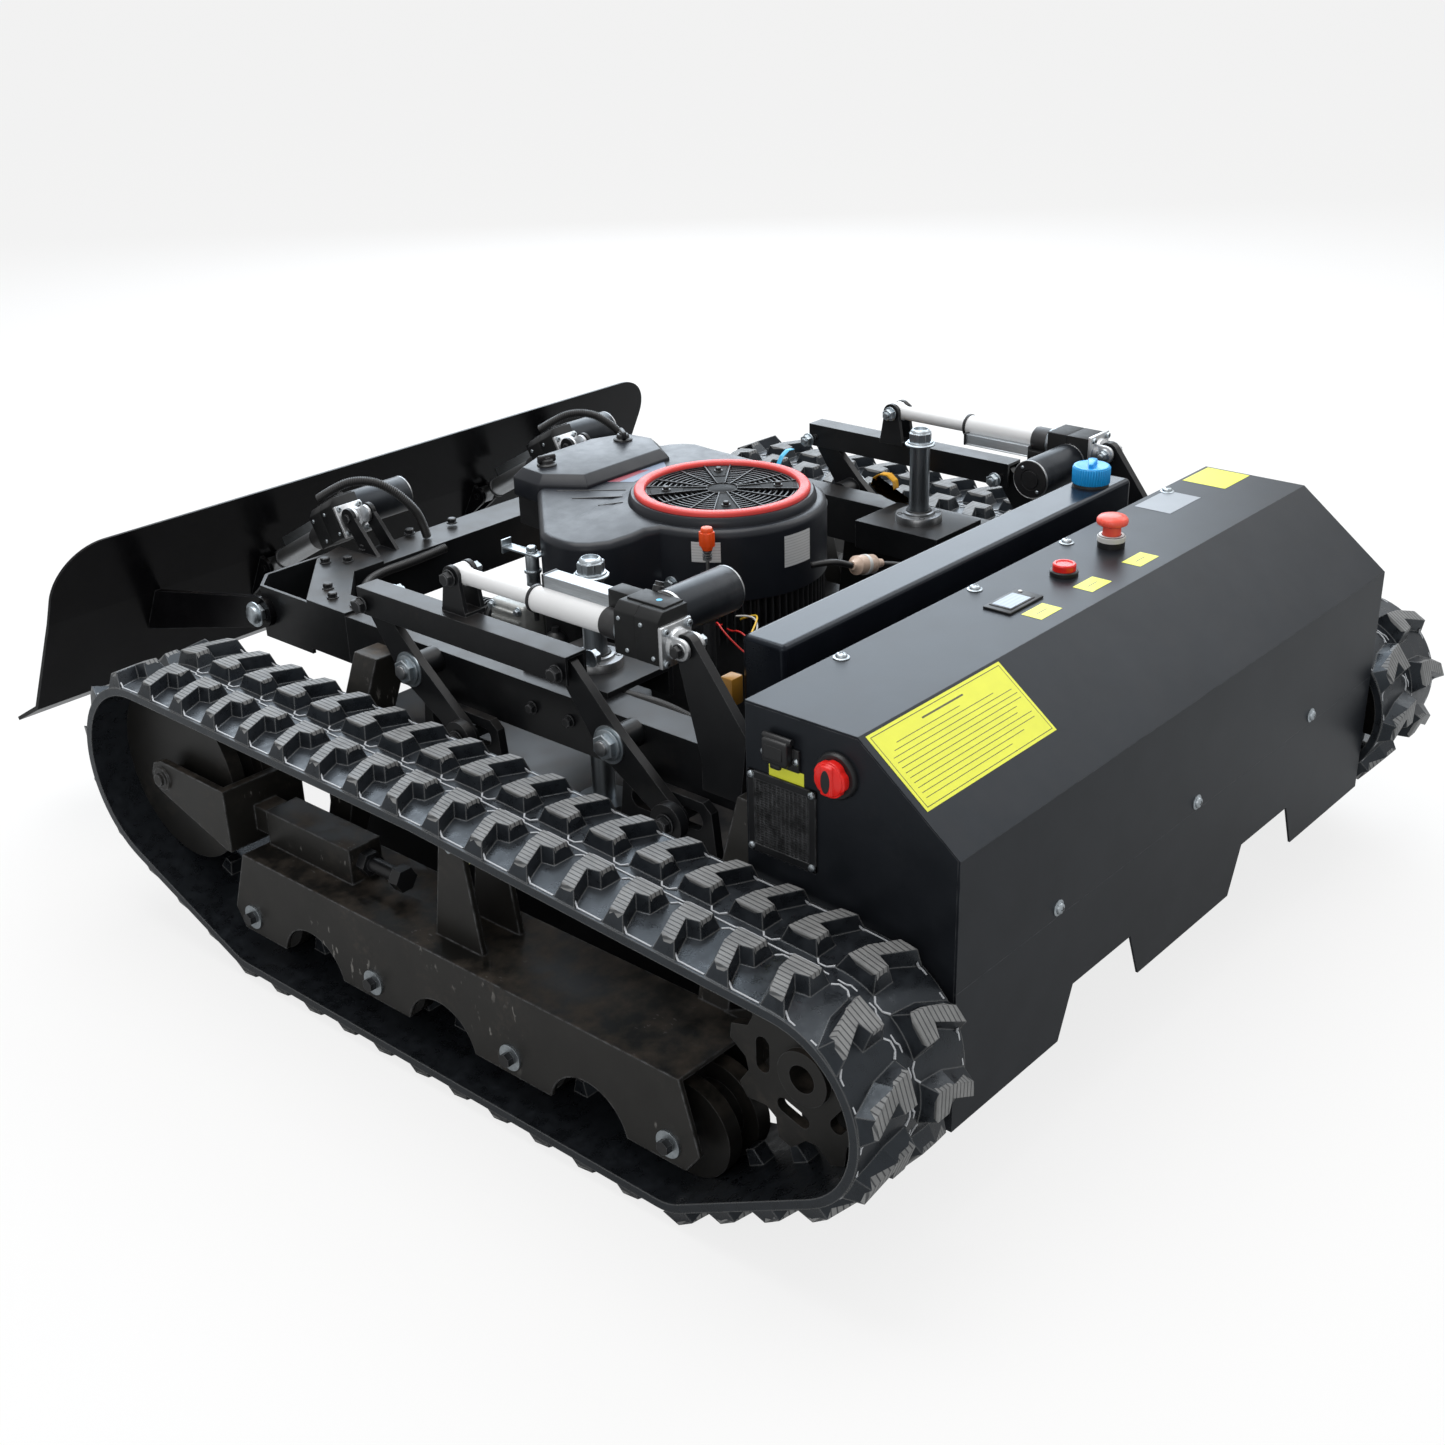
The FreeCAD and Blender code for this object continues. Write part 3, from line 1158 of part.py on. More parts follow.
# Lift levers and sync bars
def lever(name, pivot_y):
    """A bent lever with a pin for the deck's slot; its upper end carries the sync bar."""
    span = ("-lever_x - lever_thick / 2", "lever_thick / 2 - lever_x")
    up = (f"{pivot_y} + lever_up_y", "lever_pivot_z + lever_up_z")
    down = (f"{pivot_y} - lever_down_y", "lever_pivot_z - lever_down_z")
    plate = prism(name + "Plate", "YZ", (
        (f"{up[0]} + lever_end * 0.76", f"{up[1]} - lever_end * 0.65"),
        (f"{up[0]} - lever_end * 0.76", f"{up[1]} + lever_end * 0.65"),
        (f"{pivot_y} - lever_waist * 0.67", "lever_pivot_z + lever_waist * 0.74"),
        (f"{down[0]} - lever_end * 0.57", f"{down[1]} + lever_end * 0.82"),
        (f"{down[0]} + lever_end * 0.57", f"{down[1]} - lever_end * 0.82"),
        (f"{pivot_y} + lever_waist * 0.67", "lever_pivot_z - lever_waist * 0.74"),
    ), span)
    upper = bar(name + "Upper", "X", "lever_end", span, up)
    lower = bar(name + "Lower", "X", "lever_end", span, down)
    boss = bar(name + "Boss", "X", "lever_bolt * 1.8", ("-lever_x", "-beam_out - face_gap"),
               (pivot_y, "lever_pivot_z"))
    pin = bar(name + "Pin", "X", "roller_pin", ("-lever_x - lever_thick / 2 - washer_thick - small_head",
                                                "-beam_out - rail_thick / 2"), down)
    roller = bar(name + "Roller", "X", "washer_radius",
                 ("-lever_x - lever_thick / 2 - washer_thick", "-lever_x - lever_thick / 2 + seat_sink / 2"),
                 down)
    bolt_hole = bar(name + "BoltHole", "X", "lever_bolt + running_gap",
                    ("-lever_x - lever_thick", "-beam_out"), (pivot_y, "lever_pivot_z"))
    pin_hole = bar(name + "PinHole", "X", "lever_pin + running_gap",
                   ("-lever_x - lever_thick", "lever_thick - lever_x"), up)
    return cut(name, fuse(name + "Whole", plate, upper, lower, boss, pin, roller), bolt_hole, pin_hole)


FRONT_PIVOT = "lever_front"
REAR_PIVOT = "lever_front - lever_span"

pair("lift_lever_front", lever("LeverFront", FRONT_PIVOT))
pair("lift_lever_rear", lever("LeverRear", REAR_PIVOT))


def sync_bar():
    """A folded channel over the levers' upper ends, with two ears for the actuator."""
    pin_z = "lever_pivot_z + lever_up_z"
    front = f"{FRONT_PIVOT} + lever_up_y"
    rear = f"{REAR_PIVOT} + lever_up_y"
    half = "bar_wide / 2"
    channel = prism("BarChannel", "XZ", (
        (f"-lever_x - {half}", f"{pin_z} - bar_tall * 0.4"),
        (f"bar_sheet - lever_x - {half}", f"{pin_z} - bar_tall * 0.4"),
        (f"bar_sheet - lever_x - {half}", f"{pin_z} + bar_tall * 0.6 - bar_sheet"),
        (f"{half} - bar_sheet - lever_x", f"{pin_z} + bar_tall * 0.6 - bar_sheet"),
        (f"{half} - bar_sheet - lever_x", f"{pin_z} - bar_tall * 0.4"),
        (f"{half} - lever_x", f"{pin_z} - bar_tall * 0.4"),
        (f"{half} - lever_x", f"{pin_z} + bar_tall * 0.6"),
        (f"-lever_x - {half}", f"{pin_z} + bar_tall * 0.6"),
    ), (f"{rear} - bar_over", f"{front} + bar_over"))
    pieces = [channel]
    for name, place in (("Front", front), ("Rear", rear)):
        pieces.append(bar(f"BarPin{name}", "X", "lever_pin",
                          (f"-lever_x - {half} - small_head", f"{half} + small_head - lever_x"),
                          (place, pin_z)))
    eye_y = "lift_act_rear + lift_act_long"
    foot = f"{pin_z} + bar_tall * 0.6 - seat_sink"
    outline = (
        (f"{eye_y} - bar_ear_long / 2", foot),
        (f"{eye_y} + bar_ear_long / 2", foot),
        (f"{eye_y} + ear_radius * 0.9", "lift_act_z"),
        (f"{eye_y} - ear_radius * 0.9", "lift_act_z"),
    )
    pieces += ear_pair("BarEar", "-lift_act_x", outline, (eye_y, "lift_act_z"), "ear_radius",
                       "act_eye_wide + 2 * face_gap")
    reach = "(act_eye_wide / 2 + face_gap + ear_thick)"
    pieces.append(block("BarSaddle", (f"-lift_act_x - {reach}", f"-lift_act_x + {reach}"),
                        (f"{eye_y} - bar_ear_long / 2", f"{eye_y} + bar_ear_long / 2"),
                        (foot, f"{foot} + bar_sheet + seat_sink")))
    reach = "(act_eye_wide / 2 + face_gap + ear_thick + small_head)"
    pieces.append(bar("BarEyePin", "X", "act_pin", (f"-lift_act_x - {reach}", f"-lift_act_x + {reach}"),
                      (eye_y, "lift_act_z")))
    return fuse("SyncBar", *pieces)


pair("sync_bar", sync_bar())


# Control cabinet: front wall and sides, bent cover, rear skirt

def cabinet_body():
    sides = []
    for side in (-1, 1):
        outer = f"({side}) * cab_half"
        inner = f"({side}) * (cab_half - cab_sheet)"
        span = (outer, inner) if side < 0 else (inner, outer)
        corners = [
            ("cab_front", "cab_low"),
            ("cab_front", "cab_top - cab_sheet"),
            ("cab_bend", "cab_top - cab_sheet"),
            ("cab_rear + cab_sheet", "cab_slant"),
            ("cab_rear + cab_sheet", "cab_low"),
        ]
        sides.append(prism(f"CabinetSide{side + 1}", "YZ", corners, span))
    front = block("CabinetFront", ("-cab_half", "cab_half"), ("cab_front - cab_sheet", "cab_front"),
                  ("cab_low", "cab_top - cab_sheet"))
    shell = fuse("CabinetWalls", front, *sides)
    holes = []
    for side in (-1, 1):
        outer = f"({side}) * (cab_half + overrun)"
        inner = f"({side}) * (cab_half - cab_sheet - overrun)"
        span = (outer, inner) if side < 0 else (inner, outer)
        holes.append(bar(f"DriveHole{side + 1}", "X", "drive_radius + drive_clear", span,
                         ("sprocket_y", "sprocket_z")))
        if side < 0:
            slat = "vent_long / (2 * vent_slats - 1)"
            for k in range(int(size("vent_slats"))):
                low = f"vent_y - vent_long / 2 + {2 * k} * {slat}"
                holes.append(block(f"VentSlat{k}", span, (low, f"{low} + {slat}"),
                                   ("vent_low", "vent_low + vent_tall")))
    return cut("CabinetBody", shell, *holes)


node("cabinet_body", cabinet_body())


def cabinet_cover():
    """Bent sheet over the top, the slanted face and the upper rear."""
    bent = prism("CoverBent", "YZ", (
        ("cab_front", "cab_top - cab_sheet"),
        ("cab_front", "cab_top"),
        ("cab_bend", "cab_top"),
        ("cab_rear", "cab_slant"),
        ("cab_rear", "cab_seam"),
        ("cab_rear + cab_sheet", "cab_seam"),
        ("cab_rear + cab_sheet", "cab_slant"),
        ("cab_bend", "cab_top - cab_sheet"),
    ), ("-cab_half", "cab_half"))
    holes = []
    for name, x, y, radius in (("Stop", "stop_x", "stop_y", "stop_stem + face_gap"),
                               ("Button", "button_x", "button_y", "button_stem + face_gap")):
        holes.append(bar(f"Cover{name}Hole", "Z", radius,
                         ("cab_top - cab_sheet - overrun", "cab_top + stop_collar + overrun"), (x, y)))
    stop_collar = bar("StopCollar", "Z", "stop_base", ("cab_top", "cab_top + stop_collar"),
                      ("stop_x", "stop_y"))
    button_ring = bar("ButtonRing", "Z", "button_base", ("cab_top", "cab_top + base_thick"),
                      ("button_x", "button_y"))
    well = bar("ButtonWell", "Z", "button_head + face_gap",
               ("cab_top + base_thick / 3", "cab_top + base_thick + overrun"), ("button_x", "button_y"))
    return cut("CabinetCover", fuse("CoverWhole", bent, stop_collar, button_ring), *holes, well)


node("cabinet_cover", cabinet_cover())


def rear_skirt():
    plate = block("SkirtPlate", ("-cab_half", "cab_half"), ("cab_rear", "cab_rear + cab_sheet"),
                  ("cab_low", "cab_seam"))
    notches = []
    for side in (-1, 1):
        notches.append(prism(f"SkirtNotch{side + 1}", "XZ", (
            (f"({side}) * (notch_in - notch_slope * overrun / (notch_top - cab_low))", "cab_low - overrun"),
            (f"({side}) * (notch_in + notch_slope)", "notch_top"),
            (f"({side}) * (notch_out - notch_slope)", "notch_top"),
            (f"({side}) * (notch_out + notch_slope * overrun / (notch_top - cab_low))",
             "cab_low - overrun"),
        ), ("cab_rear - overrun", "cab_rear + cab_sheet + overrun")))
    return cut("RearSkirt", plate, *notches)


node("rear_skirt", rear_skirt())


# Controls on the cabinet
def emergency_stop():
    low = "cab_top + stop_collar + stop_lift"
    head = bar("StopHead", "Z", "stop_head", (low, f"{low} + stop_head_tall"), ("stop_x", "stop_y"))
    stem = bar("StopStem", "Z", "stop_stem", ("cab_top - cab_sheet - stop_tail", f"{low} + seat_sink"),
               ("stop_x", "stop_y"))
    return fuse("EmergencyStop", head, stem)


node("emergency_stop", emergency_stop())


def push_button():
    low = "cab_top + base_thick / 3 + button_travel + face_gap"
    head = bar("ButtonHead", "Z", "button_head", (low, f"{low} + button_tall"), ("button_x", "button_y"))
    stem = bar("ButtonStem", "Z", "button_stem", ("cab_top - cab_sheet - stop_tail", f"{low} + seat_sink"),
               ("button_x", "button_y"))
    return fuse("PushButton", head, stem)


node("push_button", push_button())


def isolator_knob():
    base = bar("IsolatorBase", "X", "isolator_base",
               ("-cab_half - face_gap - base_thick", "-cab_half - face_gap"), ("isolator_y", "isolator_z"))
    knob = bar("IsolatorKnob", "X", "isolator_knob",
               ("-cab_half - face_gap - base_thick - isolator_out", "-cab_half - face_gap - base_thick / 2"),
               ("isolator_y", "isolator_z"))
    grip = block("IsolatorGrip",
                 ("-cab_half - base_thick - isolator_out * 1.4", "-cab_half - base_thick - isolator_out / 2"),
                 ("isolator_y - isolator_knob / 4", "isolator_y + isolator_knob / 4"),
                 ("isolator_z - isolator_knob", "isolator_z + isolator_knob"))
    return fuse("Isolator", base, knob, grip)


node("isolator_knob", isolator_knob())


def charging_socket():
    plate = block("SocketPlate", ("-cab_half - base_thick / 2", "-cab_half"),
                  ("socket_y - socket_wide / 2", "socket_y + socket_wide / 2"),
                  ("socket_z - socket_tall / 2", "socket_z + socket_tall / 2"))
    lid = bar("SocketLid", "X", "socket_tall * 0.4", ("-cab_half - socket_out", "-cab_half - base_thick / 4"),
              ("socket_y", "socket_z"))
    return fuse("ChargingSocket", plate, lid)


node("charging_socket", charging_socket())


# Fuel tank and its cap
def rounded_block(name, wide, deep, tall, radius):
    """A box with rounded long edges and ends."""
    base = block(name + "Block", wide, deep, tall)
    doc.recompute()
    item = doc.addObject("Part::Fillet", name)
    item.Base = base
    edges = range(1, len(base.Shape.Edges) + 1)
    item.Edges = [(edge, size(radius), size(radius)) for edge in edges]
    return item


def fuel_tank():
    tank_mid = "(tank_rear + tank_front) / 2"
    body = rounded_block("Tank", ("-tank_half", "tank_half"), ("tank_rear", "tank_front"),
                         ("beam_top", "tank_top"), "tank_round")
    neck = bar("TankNeck", "Z", "filler_neck", ("tank_top - tank_round", "tank_top + filler_tall"),
               ("filler_x", tank_mid))
    cavity = block("TankCavity", ("tank_wall - tank_half", "tank_half - tank_wall"),
                   ("tank_rear + tank_wall", "tank_front - tank_wall"),
                   ("beam_top + tank_wall", "tank_top - tank_wall"))
    throat = bar("TankThroat", "Z", "filler_neck - tank_wall",
                 ("tank_top - tank_wall * 2", "tank_top + filler_tall + overrun"), ("filler_x", tank_mid))
    return cut("FuelTank", fuse("TankWhole", body, neck), cavity, throat)


node("fuel_tank", fuel_tank())


def fuel_cap():
    tank_mid = "(tank_rear + tank_front) / 2"
    low = "tank_top + face_gap"
    cap = bar("CapBody", "Z", "filler_cap", (low, f"{low} + filler_tall + filler_cap_tall"),
              ("filler_x", tank_mid))
    room = bar("CapRoom", "Z", "filler_neck + face_gap", (f"{low} - overrun", f"{low} + filler_tall + face_gap"),
               ("filler_x", tank_mid))
    grips = []
    for k in range(int(size("cap_grips"))):
        angle = f"{k} * 360 / cap_grips"
        grips.append(bar(f"CapGrip{k}", "Z", "cap_grip",
                         (f"{low} - overrun", f"{low} + filler_tall + filler_cap_tall + overrun"),
                         (f"filler_x + filler_cap * cos({angle})", f"{tank_mid} + filler_cap * sin({angle})")))
    return cut("FuelCap", cap, room, *grips)


node("fuel_cap", fuel_cap())


# Cutter deck: an inverted tray with slotted rail plates for the levers
def deck_tray(name, wall, low, top):
    half = f"deck_half - {wall}"
    front = f"deck_front - {wall}"
    rear = f"deck_rear + {wall}"
    nose = f"deck_nose - {wall} * 0.6"
    return prism(name, "XY", (
        (f"-({half})", f"{rear} + {nose}"),
        (f"{nose} - ({half})", rear),
        (f"{half} - ({nose})", rear),
        (half, f"{rear} + {nose}"),
        (half, f"{front} - ({nose})"),
        (f"{half} - ({nose})", front),
        (f"{nose} - ({half})", front),
        (f"-({half})", f"{front} - ({nose})"),
    ), (low, top))


def slot_plate(name, pivot_y):
    """One rail plate, with the slot in which a lever's lower pin slides."""
    pin_y = f"{pivot_y} - lever_down_y"
    pin_z = "lever_pivot_z - lever_down_z"
    slot = "roller_pin + slot_play"
    near = "-beam_out - rail_out"
    far = f"{near} - rail_thick"
    plate = prism(name + "Plate", "YZ", (
        (f"{pin_y} - slot_behind - rail_rise * 1.6", "deck_top - seat_sink"),
        (f"{pin_y} + slot_ahead + rail_rise * 1.6", "deck_top - seat_sink"),
        (f"{pin_y} + slot_ahead + rail_rise", f"{pin_z} + rail_rise * 0.6"),
        (f"{pin_y} + slot_ahead + rail_rise * 0.5", f"{pin_z} + rail_rise"),
        (f"{pin_y} - slot_behind - rail_rise * 0.5", f"{pin_z} + rail_rise"),
        (f"{pin_y} - slot_behind - rail_rise", f"{pin_z} + rail_rise * 0.6"),
    ), (far, near))
    past = (f"{far} - overrun", f"{near} + overrun")
    tools = [
        bar(name + "SlotRear", "X", slot, past, (f"{pin_y} - slot_behind", pin_z)),
        bar(name + "SlotFront", "X", slot, past, (f"{pin_y} + slot_ahead", pin_z)),
        block(name + "SlotMiddle", past, (f"{pin_y} - slot_behind", f"{pin_y} + slot_ahead"),
              (f"{pin_z} - ({slot})", f"{pin_z} + {slot}")),
    ]
    return cut(name, plate, *tools)


def deck_shell():
    outside = deck_tray("DeckOutside", "0", "deck_low", "deck_top")
    inside = deck_tray("DeckInside", "deck_sheet", "deck_low - overrun", "deck_top - deck_sheet")
    shaft_hole = bar("DeckShaftHole", "Z", "cutter_hub", ("deck_top - deck_sheet - overrun",
                                                          "deck_top + overrun"), ("0", "engine_y"))
    rails = []
    for name, place in (("RailFront", FRONT_PIVOT), ("RailRear", REAR_PIVOT)):
        rail = slot_plate(name, place)
        rails += [rail, mirrored(name + "Right", rail)]
    return cut("DeckShell", fuse("DeckWhole", outside, *rails), inside, shaft_hole)


node("deck_shell", deck_shell())


def guide_posts():
    centre = ("-post_x", "post_y")
    tube = bar("PostTube", "Z", "post_radius", ("deck_top", "post_top"), centre)
    nut = hex_bar("PostNut", "Z", "post_nut", ("post_top - seat_sink", "post_top + post_nut_tall"), centre)
    foot = bar("PostFoot", "Z", "flange_radius", ("deck_top", "deck_top + flange_thick"), centre)
    bore = bar("PostBore", "Z", "post_bore",
               ("deck_top + flange_thick", "post_top + post_nut_tall + overrun"), centre)
    left = cut("PostLeft", fuse("PostWhole", tube, nut, foot), bore)
    return group("GuidePosts", left, mirrored("PostRight", left))


node("guide_posts", guide_posts())


# Cutter bar on the engine's shaft
def cutter_blade():
    blade = prism("CutterBar", "XY", (
        ("-cutter_half", "engine_y - cutter_wide / 2"),
        ("cutter_half - cutter_wide / 2", "engine_y - cutter_wide / 2"),
        ("cutter_half", "engine_y"),
        ("cutter_half", "engine_y + cutter_wide / 2"),
        ("cutter_wide / 2 - cutter_half", "engine_y + cutter_wide / 2"),
        ("-cutter_half", "engine_y"),
    ), ("cutter_z", "cutter_z + cutter_thick"))
    hub = bar("CutterHub", "Z", "cutter_hub - overrun", ("cutter_z - cutter_thick", "deck_top - spindle"),
              ("0", "engine_y"))
    bore = bar("CutterBore", "Z", "spindle + running_gap",
               ("cutter_z + cutter_thick * 2", "deck_top"), ("0", "engine_y"))
    return cut("CutterBlade", fuse("CutterWhole", blade, hub), bore)


node("cutter_blade", cutter_blade())


# Engine: crankcase and two finned cylinders in a V, shaft and foot
def engine_block():
    base = "deck_top + engine_foot"
    pieces = [
        block("EngineFoot", ("-crank_half * 1.3", "crank_half * 1.3"),
              ("engine_y - crank_half * 1.2", "engine_y + crank_half * 1.2"), ("deck_top", base)),
        prism("Crankcase", "XY", (
            ("-crank_half", "engine_y - crank_half * 0.7"),
            ("-crank_half * 0.7", "engine_y - crank_half"),
            ("crank_half * 0.7", "engine_y - crank_half"),
            ("crank_half", "engine_y - crank_half * 0.7"),
            ("crank_half", "engine_y + crank_half * 0.5"),
            ("crank_half * 0.5", "engine_y + crank_half"),
            ("-crank_half * 0.5", "engine_y + crank_half"),
            ("-crank_half", "engine_y + crank_half * 0.5"),
        ), (f"{base} - seat_sink", "crank_top")),
        bar("EngineShaft", "Z", "spindle", ("cutter_z + cutter_thick * 2 + face_gap", base), ("0", "engine_y")),
        bar("DipTube", "Z", "dip_tube", ("cylinder_low", "dip_low - face_gap"), ("dip_x", "dip_y")),
        block("DipBridge", ("dip_x", "-crank_half * 0.8"), ("dip_y", "dip_y + dip_tube * 2"),
              ("cylinder_low", "cylinder_low + dip_tube * 2")),
    ]
    for side in (-1, 1):
        pieces += cylinder_bank(side)
    dip_bore = bar("DipBore", "Z", "dip_knob / 4 + running_gap", ("crank_top * 0.72", "dip_low"),
                   ("dip_x", "dip_y"))
    return cut("EngineBlock", fuse("EngineWhole", *pieces), dip_bore)


def cylinder_bank(side):
    """A barrel, its fins and its head cover, laid along +Y and then turned."""
    pieces = []
    wide = "cylinder_wide / 2"
    inner = "crank_half * 0.5"
    middle = "(cylinder_low + cylinder_high) / 2"
    barrel = doc.addObject("Part::Box", f"Barrel{side + 1}")
    spans = [(barrel, f"{wide} * 0.8", inner, "crank_half + cylinder_long",
              "cylinder_low + fin_thick", "cylinder_high - fin_thick")]
    fin_step = "cylinder_long / fin_count"
    for k in range(int(size("fin_count"))):
        fin = doc.addObject("Part::Box", f"Fin{side + 1}_{k}")
        start = f"crank_half + {k} * {fin_step}"
        spans.append((fin, wide, start, f"{start} + fin_thick", "cylinder_low", "cylinder_high"))
    cover = doc.addObject("Part::Box", f"HeadCover{side + 1}")
    end = "crank_half + cylinder_long"
    spans.append((cover, f"{wide} * 0.9", f"{end} - fin_thick", f"{end} + cylinder_wide * 0.4",
                  f"{middle} - {wide} * 0.9", f"{middle} + {wide} * 0.9"))
    for item, half, near, far, low, high in spans:
        item.setExpression("Length", sized(f"2 * {half}"))
        item.setExpression("Width", sized(f"({far}) - ({near})"))
        item.setExpression("Height", sized(f"({high}) - ({low})"))
        angle = f"({side}) * bank_angle"
        item.Placement = Placement(Vector(), Rotation(Vector(0, 0, 1), -side * size("bank_angle")))
        item.setExpression("Placement.Base.x", sized(f"({near}) * sin({angle}) - ({half}) * cos({angle})"))
        item.setExpression("Placement.Base.y",
                           sized(f"engine_y + ({near}) * cos({angle}) + ({half}) * sin({angle})"))
        item.setExpression("Placement.Base.z", sized(low))
        pieces.append(item)
    return pieces


node("engine_block", engine_block())


# Blower housing, with a round intake and a nose over the cylinders
def housing_solid(name, shrink, low, top):
    round_part = bar(name + "Round", "Z", f"shroud_radius - {shrink}", (low, top), ("0", "engine_y"))
    nose = prism(name + "Nose", "XY", (
        (f"{shrink} - shroud_radius", "engine_y"),
        (f"shroud_radius - {shrink}", "engine_y"),
        (f"shroud_half - {shrink}", "shroud_side_y"),
        (f"shroud_half - {shrink}", f"shroud_side_front - {shrink} / 2"),
        (f"shroud_nose_half - {shrink} / 2", f"shroud_front - {shrink}"),
        (f"{shrink} / 2 - shroud_nose_half", f"shroud_front - {shrink}"),
        (f"{shrink} - shroud_half", f"shroud_side_front - {shrink} / 2"),
        (f"{shrink} - shroud_half", "shroud_side_y"),
    ), (low, top))
    return fuse(name, round_part, nose)


def blower_housing():
    lower = housing_solid("HousingLower", "0", "shroud_low", "shroud_top - shroud_shoulder")
    upper = housing_solid("HousingUpper", "shroud_shoulder * 0.4",
                          "shroud_top - shroud_shoulder - seat_sink", "shroud_top - shroud_shoulder * 0.4")
    crown = housing_solid("HousingCrown", "shroud_shoulder",
                          "shroud_top - shroud_shoulder", "shroud_top")
    hollow = housing_solid("HousingHollow", "shroud_shoulder + shroud_sheet",
                           "shroud_low + shroud_sheet", "shroud_top - intake_deep - shroud_sheet")
    intake = bar("HousingIntake", "Z", "intake_radius", ("shroud_top - intake_deep", "shroud_top + overrun"),
                 ("0", "engine_y"))
    mouth = bar("HousingMouth", "Z", "intake_radius * 0.6",
                ("shroud_low - overrun", "shroud_top - intake_deep + overrun"), ("0", "engine_y"))
    return cut("BlowerHousing", fuse("HousingWhole", lower, upper, crown), hollow, intake, mouth)


node("blower_housing", blower_housing())


def filter_cover():
    """Air filter cover, bevelled round its top, with two knobs."""
    def outline(shrink):
        return (
            (f"-filter_rear_half + {shrink}", f"filter_rear + {shrink}"),
            (f"filter_rear_half - {shrink}", f"filter_rear + {shrink}"),
            (f"filter_half - {shrink}", "filter_wide_y"),
            (f"filter_side_half - {shrink}", f"filter_side_y - {shrink} / 2"),
            (f"filter_front_half - {shrink} / 2", f"filter_front - {shrink}"),
            (f"{shrink} / 2 - filter_front_half", f"filter_front - {shrink}"),
            (f"{shrink} - filter_side_half", f"filter_side_y - {shrink} / 2"),
            (f"{shrink} - filter_half", "filter_wide_y"),
        )
    lower = prism("FilterLower", "XY", outline("0"), ("filter_low", "filter_top - filter_bevel"))
    upper = prism("FilterUpper", "XY", outline("filter_bevel / 2"),
                  ("filter_top - filter_bevel - seat_sink", "filter_top - filter_bevel / 2"))
    crown = prism("FilterCrown", "XY", outline("filter_bevel"), ("filter_top - filter_bevel", "filter_top"))
    knobs = []
    for side in (-1, 1):
        knobs.append(bar(f"FilterKnob{side + 1}", "Z", "knob_radius",
                         ("filter_top - seat_sink", "filter_top + knob_tall"),
                         (f"({side}) * knob_x", "knob_y")))
    return fuse("FilterCover", lower, upper, crown, *knobs)


def housing_in_cover():
    """The blower housing's share of the space, with a small clearance."""
    return housing_solid("HousingRoom", "-face_gap", "shroud_low", "shroud_top + face_gap")


node("filter_cover", cut("FilterCoverFitted", filter_cover(), housing_in_cover()))


# Intake guard: rings and spokes in the round intake
def fan_guard():
    low = "shroud_top + face_gap / 2"
    pieces = []
    rings = int(size("guard_rings"))
    for k in range(rings):
        radius = f"guard_hub + (intake_radius - guard_hub) * {k + 1} / guard_rings"
        outer = bar(f"GuardOut{k}", "Z", radius, (low, f"{low} + guard_bar"), ("0", "engine_y"))
        inner = bar(f"GuardIn{k}", "Z", f"{radius} - guard_bar", (f"{low} - overrun", f"{low} + 2 * guard_bar"),
                    ("0", "engine_y"))
        pieces.append(cut(f"GuardRing{k}", outer, inner))
    outer = bar("RimOut", "Z", "ring_radius", (low, f"{low} + ring_tall"), ("0", "engine_y"))
    inner = bar("RimIn", "Z", "intake_radius - guard_bar / 2", (f"{low} - overrun", f"{low} + 2 * ring_tall"),
                ("0", "engine_y"))
    pieces.append(cut("GuardRim", outer, inner))
    pieces.append(bar("GuardHub", "Z", "guard_hub", (low, f"{low} + guard_bar"), ("0", "engine_y")))
    for k in range(int(size("guard_spokes"))):
        spoke = doc.addObject("Part::Box", f"GuardSpoke{k}")
        spoke.setExpression("Length", "Sizes.intake_radius")
        spoke.setExpression("Width", "Sizes.guard_bar")
        spoke.setExpression("Height", "Sizes.guard_bar")
        spoke.Placement = Placement(Vector(), Rotation(Vector(0, 0, 1), 360 * k / size("guard_spokes")))
        spoke.setExpression("Placement.Base.y", "Sizes.engine_y")
        spoke.setExpression("Placement.Base.z", sized(low))
        pieces.append(spoke)
    return fuse("FanGuard", *pieces)


node("fan_guard", fan_guard())


def muffler():
    can = bar("MufflerCan", "X", "muffler_radius", ("muffler_x - muffler_half", "muffler_x + muffler_half"),
              ("muffler_y", "muffler_z"))
    foot = block("MufflerFoot", ("muffler_x - muffler_half / 2", "muffler_x + muffler_half / 2"),
                 ("muffler_y - muffler_radius / 3", "muffler_y + muffler_radius / 3"),
                 ("deck_top", "muffler_z"))
    outlet = bar("MufflerOutlet", "Y", "muffler_radius / 3", ("muffler_y", "muffler_y + muffler_radius * 1.5"),
                 ("muffler_x + muffler_half * 0.6", "muffler_z"))
    return fuse("Muffler", can, foot, outlet)


node("muffler", muffler())


def dipstick():
    knob = bar("DipKnob", "Z", "dip_knob", ("dip_low", "dip_top"), ("dip_x", "dip_y"))
    stick = bar("DipStick", "Z", "dip_knob / 4", ("crank_top * 0.75", "dip_top - dip_knob"), ("dip_x", "dip_y"))
    return fuse("Dipstick", knob, stick)


node("dipstick", dipstick())


# Fasteners: wheel bolts, roller axles, lever bolts, tensioner bolts, hinge bolts, screws
def bolt(name, axis, radius, head, head_span, shank_span, centre):
    """A shank with a six-sided head."""
    top = hex_bar(name + "Head", axis, head, head_span, centre)
    shank = bar(name + "Shank", axis, radius, shank_span, centre)
    return fuse(name, top, shank)


